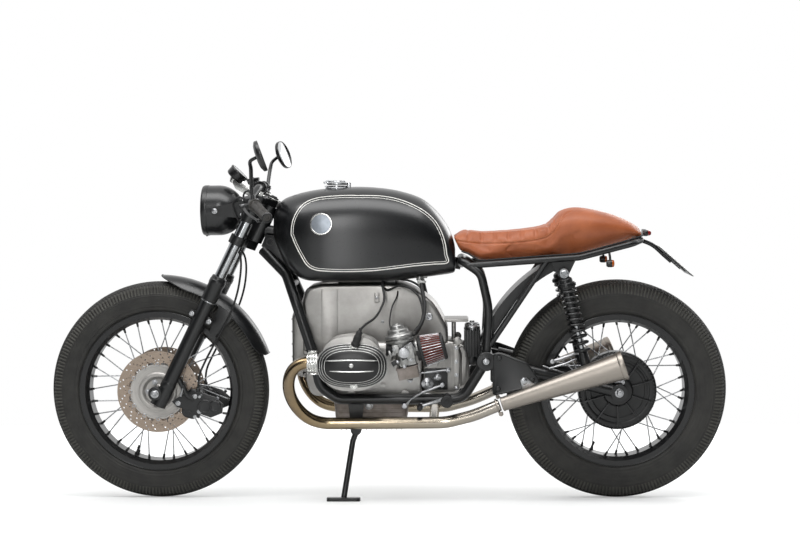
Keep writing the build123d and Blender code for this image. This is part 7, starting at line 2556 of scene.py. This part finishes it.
@dataclass
class Tail:
    """Number plate on its arm, the red lamp under the seat's end, and the two indicators."""

    plate_centre: tuple[float, float, float] = (-912.0, 0.0, 761.0)
    plate_turn: float = radians(41.3)
    plate: tuple[float, float] = (200.0, 144.0)
    arm_from: tuple[float, float, float] = (-806.0, 0.0, 827.0)

    def plates(self) -> None:
        """Makes the bare plate with its pressed border, its backing, its arm and four screws."""
        normal = Vector((-sin(self.plate_turn), 0, cos(self.plate_turn)))
        rise = Vector((cos(self.plate_turn), 0, sin(self.plate_turn)))
        centre = Vector(self.plate_centre)
        plate, arm, bolts = Form(), Form(), Form()
        rings = []
        sheet_steps = ((0, 0.6), (0, 1.9), (2.5, 2.4), (4.5, 2.4), (6, 1.7))
        for inset, up in sheet_steps:
            outline = rounded_box(self.plate[0] / 2 - inset, self.plate[1] / 2 - inset, 8)
            rings.append([centre + normal * up + beside(across) + rise * along for across, along in outline])
        plate.skin(rings)
        turn = Matrix((rise, beside(1), normal)).transposed()
        arm.slab(centre - normal * 0.5, (self.plate[1] - 6, self.plate[0] - 6, 1.6), turn)
        high = centre - normal * 6 + rise * 79
        arm.tube(smooth_line([Vector(self.arm_from), high, centre - normal * 6 + rise * 30,
                              centre - normal * 6], 8), 6.8, 16)
        for across in (-60, 60):
            arm.slab(centre - normal * 3.5 + beside(across), (90, 14, 3), turn)
            for up in (-36, 36):
                bolts.lathe(centre + normal * 1.7 + beside(across) + rise * up, normal,
                            ((0, 5), (0.6, 4.6), (0.8, 0.3)), 16)
        piece("number_plate_sheet", plate, Body.FRAME, PLATE_ENAMEL, bevel=0.0)
        piece("number_plate_bracket", arm, Body.FRAME, FRAME_COAT, ("number_plate",),
              bevel=0.4)
        piece("number_plate_screws", bolts, Body.FRAME, ZINC)

    def lamps(self) -> None:
        """Makes the tail lamp's body and lens, and the indicators with their stems."""
        body, red, orange = Form(), Form(), Form()
        x, z = -817.6, 849.0
        across, height = 122, 758
        body.skin([[Vector((x - step, y, z + up)) for y, up in oval(46 - inset, 11 - inset, 4.0, 48)]
                   for step, inset in ((0, 0.4), (7, 0.0), (11, 0.6))])
        red.skin([[Vector((x - step, y, z + up)) for y, up in oval(45 - inset, 10 - inset, 4.0, 48)]
                  for step, inset in ((11, 0.6), (17, 1.0), (20, 2.2), (21.6, 4.6))])
        lamp_profile = ((0, 7), (1.2, 9.6), (6, 11.6), (17, 11.9), (17.6, 11))
        lens_profile = ((0, 11.2), (4, 11.2), (6.6, 9.4), (8, 5.5), (8, 0.4))
        for side in SIDES:
            body.tube([(-700, side * 110, 796), (-702, side * 117, 780), (-703, side * across, 766)], 3.8, 14)
            body.lathe((-690.5, side * across, height), (-1, 0, 0), lamp_profile, 32)
            orange.lathe((-707.8, side * across, height), (-1, 0, 0), lens_profile, 32)
        piece("tail_lamp_bodies", body, Body.FRAME, FRAME_COAT, ("rear_lamps",), bevel=0.4)
        piece("tail_lamp_lens", red, Body.FRAME, RED_LENS, bevel=0.3)
        piece("indicator_lenses", orange, Body.FRAME, ORANGE_LENS)

    def build(self) -> None:
        """Builds the tail."""
        self.plates()
        self.lamps()


@dataclass
class Feet:
    """Foot rests, gear lever and brake pedal with their rods."""

    rest: tuple[float, float] = (-192.0, 342.0)
    toe: tuple[float, float] = (-108.0, 316.0)
    start: float = 141.7

    def rests(self) -> None:
        """Makes the ribbed rubbers of the foot rests, with their pivots."""
        rubber, metal = Form(), Form()
        x, z = self.rest
        outer_end = [(99, 17), (101, 19), (106, 19), (107.6, 17), (107.6, 9), (105, 8.4), (105, 0.5)]
        for side in SIDES:
            metal.lathe((x, side * self.start, z), (0, side, 0), ((0, 13.6), (12, 13.6), (14, 11), (14, 0.5)),
                        28)
            outline = [(13, 9)]
            for rib in range(11):
                outline += [(14 + rib * 8, 12.9), (18.5 + rib * 8, 12.9), (19.2 + rib * 8, 11.6),
                            (21.4 + rib * 8, 11.6)]
            rubber.lathe((x, side * self.start, z), (0, side, 0), outline + outer_end, 36)
            metal.slab((x + 6, side * (self.start + 4), z - 13), (30, 8, 12))
        piece("foot_rest_rubbers", rubber, Body.FRAME, RUBBER, ("foot_controls",), bevel=0.4)
        piece("foot_rest_pivots", metal, Body.FRAME, FRAME_COAT, bevel=0.8)

    def levers(self) -> None:
        """Makes the gear lever and the pedal, the adjusting rod and its ends."""
        form, bright, toes = Form(), Form(), Form()
        x, z = self.rest
        tx, tz = self.toe
        toe_profile = ((0, 6), (2, 8.6), (10, 9), (11, 8.2), (20, 8.2), (21, 9), (30, 9), (31, 8.2),
                       (40, 8.2), (41, 9), (49, 8.6), (52, 6), (52, 0.4))
        for side in SIDES:
            y = self.start
            form.tube([(x, side * (y + 5), z), (x + 40, side * (y + 14), z - 14), (tx, side * (y + 18), tz)],
                      [6.5, 5.5, 6], 14)
            toes.lathe((tx, side * (y + 14), tz), (0, side, 0), toe_profile, 28)
            bright.tube([(-59, side * (y - 5), 314), (-80, side * (y - 4), 336), (-118, side * (y - 2), 358),
                         (-177, side * y, 380)], 4.2, 12)
            bright.lathe((-59, side * (y - 12), 314), (0, side, 0), ((0, 9), (12, 9), (14, 7), (14, 0.4)), 20)
            bright.lathe((-177, side * (y - 8), 380), (0, side, 0), ((0, 7.5), (11, 7.5), (12, 6), (12, 0.4)),
                         20)
            bright.lathe((tx - 4, side * (y + 12), tz), (0, side, 0), ((0, 9.4), (2, 9.4), (2, 6)), 20)
        piece("foot_levers", form, Body.FRAME, ZINC, bevel=0.4)
        piece("foot_lever_rods", bright, Body.FRAME, ZINC, bevel=0.4)
        piece("foot_lever_rubbers", toes, Body.FRAME, RUBBER, bevel=0.4)

    def build(self) -> None:
        """Builds what the feet work."""
        self.rests()
        self.levers()


@dataclass
class Stem:
    """The headstock's gussets, the calipers' carriers at the fork's feet, and the bars' cables."""

    gusset: tuple[tuple[float, float], ...] = (
        (397, 806), (386, 850), (300, 838), (306, 742), (330, 742), (352, 762))
    carrier: tuple[tuple[float, float], ...] = (
        (684, 322), (668, 304), (612, 288), (560, 270), (524, 284), (520, 312), (548, 336), (600, 352),
        (640, 350))
    runs: tuple[tuple[float, tuple[Point, ...]], ...] = (
        (3.2, ((412, 196, 948), (446, 182, 972), (474, 132, 948), (462, 84, 892), (448, 40, 846))),
        (2.6, ((408, 178, 940), (438, 158, 930), (450, 116, 904), (446, 76, 868), (440, 44, 836))),
        (3.0, ((398, 168, 962), (424, 140, 990), (446, 96, 974), (440, 70, 916), (436, 52, 866))))

    def gussets(self) -> None:
        """Makes the two plates that stiffen the headstock, between the backbone and the downtubes."""
        form = Form()
        for side in SIDES:
            form.board(list(self.gusset), side * 22, side * 27)
            for x, z in ((372, 826), (330, 800)):
                form.lathe((x, side * 27, z), (0, side, 0), ((-1, 12), (1.4, 12), (1.4, 9), (-0.5, 9)), 28,
                           wrap=True)
        piece("headstock_gussets", form, Body.FRAME, FRAME_COAT, bevel=0.8)

    def carriers(self) -> None:
        """Makes the arms that hold the calipers to the fork, with the pistons' caps and their bolts."""
        form, bolts = Form(), Form()
        bleed_nipple = ((0, 5), (9, 5), (9, 3), (15, 2.6), (15, 0.4))
        for side in SIDES:
            form.board(list(self.carrier), side * 80, side * 88)
            for x, z, reach in ((578, 306, 23), (544, 306, 19)):
                form.lathe((x, side * 84, z), (0, side, 0), ((0, reach), (10, reach), (12, reach - 2),
                                                             (12, reach - 6), (10.5, reach - 7), (10.5, 0.5)),
                           36)
            for x, z in ((610, 338), (596, 290), (664, 316)):
                bolts.bolt((x, side * 88, z), (0, side, 0), 11, 7)
            bolts.lathe((536, side * 86, 330), (0.2, side, 0.4), bleed_nipple, 16)
        piece("caliper_carriers", form, Body.STEERING, FRAME_COAT, bevel=1.2)
        piece("caliper_carrier_bolts", bolts, Body.STEERING, ZINC, bevel=0.4)

    def cables(self) -> None:
        """Makes the bars' cables, which drop beside the lamp to guides on the steering stem."""
        form, ends = Form(), Form()
        for side in SIDES:
            for reach, spots in self.runs:
                line = [flip(spot, side) for spot in spots]
                form.tube(smooth_line(line, 8), reach, 10)
                ends.lathe(line[0], line[1] - line[0], ((-4, 3), (-3, reach + 2), (12, reach + 1.6),
                                                        (14, reach)), 18)
        piece("bar_cables", form, Body.STEERING, RUBBER)
        piece("bar_cable_ends", ends, Body.STEERING, DIE_ALLOY, bevel=0.3)

    def build(self) -> None:
        """Builds the gussets, the carriers and the cables."""
        self.gussets()
        self.carriers()
        self.cables()


@dataclass
class Studio:
    """The floor, the light and the camera round the parked machine."""

    eye: tuple[float, float, float] = (-220.25, 5263.94, 1067.57)
    look_deg: tuple[float, float, float] = (86.4834, 0.3619, -178.0898)
    focal_px: float = 1646.0
    image_px: int = 800
    sensor_mm: float = 36.0
    floor_m: float = 7.0
    ground: float = 1.0
    sky: tuple[tuple[float, str], ...] = ((0.0, "#17181A"), (0.16, "#37393C"), (0.45, "#C4C8CD"),
                                          (0.8, "#FFFFFF"))

    def floor(self) -> None:
        """Lays a round floor, which the camera and mirrors see as pale paper with the machine's shadow."""
        tools = bmesh.new()
        bmesh.ops.create_circle(tools, cap_ends=True, segments=64, radius=self.floor_m)
        mesh = bpy.data.meshes.new("floor")
        tools.to_mesh(mesh)
        tools.free()
        made = placed("floor", mesh)
        made.data.materials.append(self.floor_finish())

    def floor_finish(self) -> bpy.types.Material:
        """Builds the floor's material: pale, matt, and brighter to the camera far from the machine."""
        material = FLOOR.material()
        tree = material.node_tree
        shader = tree.nodes["Principled BSDF"]
        spot = add(tree, "ShaderNodeTexCoord").outputs["Object"]
        reach = add(tree, "ShaderNodeVectorMath", {"operation": "LENGTH"}, {0: spot}).outputs["Value"]
        fade = add(tree, "ShaderNodeMapRange", {"From Min": 1.4, "From Max": 5.0, "To Min": 0.28,
                                                "To Max": 0.75}, {"Value": reach})
        glow = add(tree, "ShaderNodeEmission", {"Color": linear("#FFFFFF")},
                   {"Strength": fade.outputs["Result"]})
        seen = add(tree, "ShaderNodeAddShader", {}, {0: shader.outputs[0], 1: glow.outputs[0]})
        rays = add(tree, "ShaderNodeLightPath")
        mirrored = add(tree, "ShaderNodeMath", {"operation": "MAXIMUM"},
                       {0: rays.outputs["Is Camera Ray"], 1: rays.outputs["Is Transmission Ray"]})
        mixed = add(tree, "ShaderNodeMixShader", {}, {0: mirrored.outputs[0], 1: shader.outputs[0],
                                                      2: seen.outputs[0]})
        tree.links.new(mixed.outputs[0], tree.nodes["Material Output"].inputs["Surface"])
        return material

    def backdrop(self) -> None:
        """Makes the white surround that the camera and glass see, and gloss behind and above the machine."""
        world = bpy.data.worlds.new("surround")
        bpy.context.scene.world = world
        world.use_nodes = True
        tree = world.node_tree
        tree.nodes.clear()
        way = add(tree, "ShaderNodeTexCoord").outputs["Generated"]
        split = add(tree, "ShaderNodeSeparateXYZ", {}, {"Vector": way})
        rise = add(tree, "ShaderNodeMath", {"operation": "MULTIPLY_ADD", 1: -0.55}, {0: split.outputs["Y"],
                                                                                 2: split.outputs["Z"]})
        ramp = add(tree, "ShaderNodeValToRGB", {}, {"Fac": rise.outputs[0]})
        elements = ramp.color_ramp.elements
        elements.new(0.5)
        elements.new(0.7)
        for stop, (place, tone) in zip(elements, self.sky):
            stop.position, stop.color = place, linear(tone)
        rays = add(tree, "ShaderNodeLightPath")
        gloss = add(tree, "ShaderNodeMath", {"operation": "MULTIPLY"},
                    {0: rays.outputs["Is Glossy Ray"], 1: ramp.outputs["Color"]})
        glass = add(tree, "ShaderNodeMath", {"operation": "MAXIMUM"},
                    {0: rays.outputs["Is Transmission Ray"], 1: gloss.outputs[0]})
        clear = add(tree, "ShaderNodeMath", {"operation": "MAXIMUM"},
                    {0: rays.outputs["Is Camera Ray"], 1: glass.outputs[0]})
        white = add(tree, "ShaderNodeBackground", {"Color": linear("#FFFFFF"), "Strength": 1.0})
        soft = add(tree, "ShaderNodeBackground", {"Strength": self.ground}, {"Color": ramp.outputs["Color"]})
        mixed = add(tree, "ShaderNodeMixShader", {}, {0: clear.outputs[0], 1: soft.outputs[0],
                                                      2: white.outputs[0]})
        add(tree, "ShaderNodeOutputWorld", {}, {"Surface": mixed.outputs[0]})

    def lamp(self, name: str, place: tuple[float, float, float], aim: tuple[float, float, float],
             size: tuple[float, float], power: float) -> None:
        """Hangs a soft box, in metres, aimed at a point."""
        light = bpy.data.lights.new(name, "AREA")
        light.shape, light.size, light.size_y, light.energy = "RECTANGLE", size[0], size[1], power
        hung = placed(name, light)
        way = Vector(aim) - Vector(place)
        hung.matrix_world = Matrix.Translation(place) @ way.to_track_quat("-Z", "Y").to_matrix().to_4x4()
        hung.visible_camera = False

    def lights(self) -> None:
        """Hangs a wide soft box overhead, one on each side, and stands a narrow one beside the tank."""
        self.lamp("overhead", (0.2, 1.4, 3.4), (0, 0, 0.4), (4.4, 1.5), 95)
        self.lamp("side", (0.4, 4.6, 2.3), (0, 0, 0.5), (0.8, 1.9), 46)
        self.lamp("strip", (0.2, 2.9, 0.62), (0.03, 0, 0.8), (0.26, 1.15), 7)
        self.lamp("rim", (-2.4, -3.2, 2.4), (0, 0, 0.6), (2.6, 1.6), 40)

    def camera(self) -> None:
        """Sets the camera where the photographer stood, turned as their camera was."""
        lens = bpy.data.cameras.new("camera")
        lens.sensor_width = self.sensor_mm
        lens.lens = self.focal_px / self.image_px * self.sensor_mm
        lens.clip_end = 100
        made = placed("camera", lens)
        turn = Matrix.LocRotScale(None, PARKED.to_quaternion(), None) @ \
            Euler([radians(angle) for angle in self.look_deg]).to_matrix().to_4x4()
        made.matrix_world = Matrix.Translation(PARKED @ Vector(self.eye)) @ turn
        bpy.context.scene.camera = made

    def build(self) -> None:
        """Sets up everything round the machine."""
        bpy.context.scene.view_settings.view_transform = "Standard"
        self.floor()
        self.backdrop()
        self.lights()
        self.camera()


@dataclass
class SolidFinishes:
    """Finishes of the solids that stay as the frame brings them."""

    finishes: dict[str, Finish] = field(default_factory=lambda: {
        "cylinder_barrels": CAST_ALLOY, "pushrod_tubes": CHROME, "headlight_shell": TANK_ENAMEL,
        "front_rim": RIM_ENAMEL, "rear_rim": RIM_ENAMEL, "front_hub": BRIGHT_ALLOY, "front_spokes": ZINC,
        "rear_spokes": ZINC, "fork_stanchions": CHROME})

    def dress(self) -> None:
        """Gives every solid its finish, the frame's coat where none is named."""
        for name, solid in frame["nodes"].items():
            made = self.finishes.get(name, FRAME_COAT).material()
            slots = solid.data.materials
            if not slots:
                slots.append(made)
            for number in range(len(slots)):
                slots[number] = made


def main() -> None:
    """Builds the machine's pieces in order, then the studio."""
    logging.basicConfig(level=logging.INFO, format="%(message)s")
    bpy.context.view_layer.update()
    SolidFinishes().dress()
    for assembly in ASSEMBLIES:
        LOG.info("Building %s", assembly.__name__)
        assembly().build()
    Studio().build()


ASSEMBLIES: tuple[type, ...] = (
    FrontWheel, RearWheel, Tank, Seat, EngineCase, Cylinders, Carburettors, Exhaust, Shocks, FrontEnd,
    Headlight, Controls, SidePlates, RearDrive, Tail, Feet, Stem)

if __name__ == "__main__":
    main()
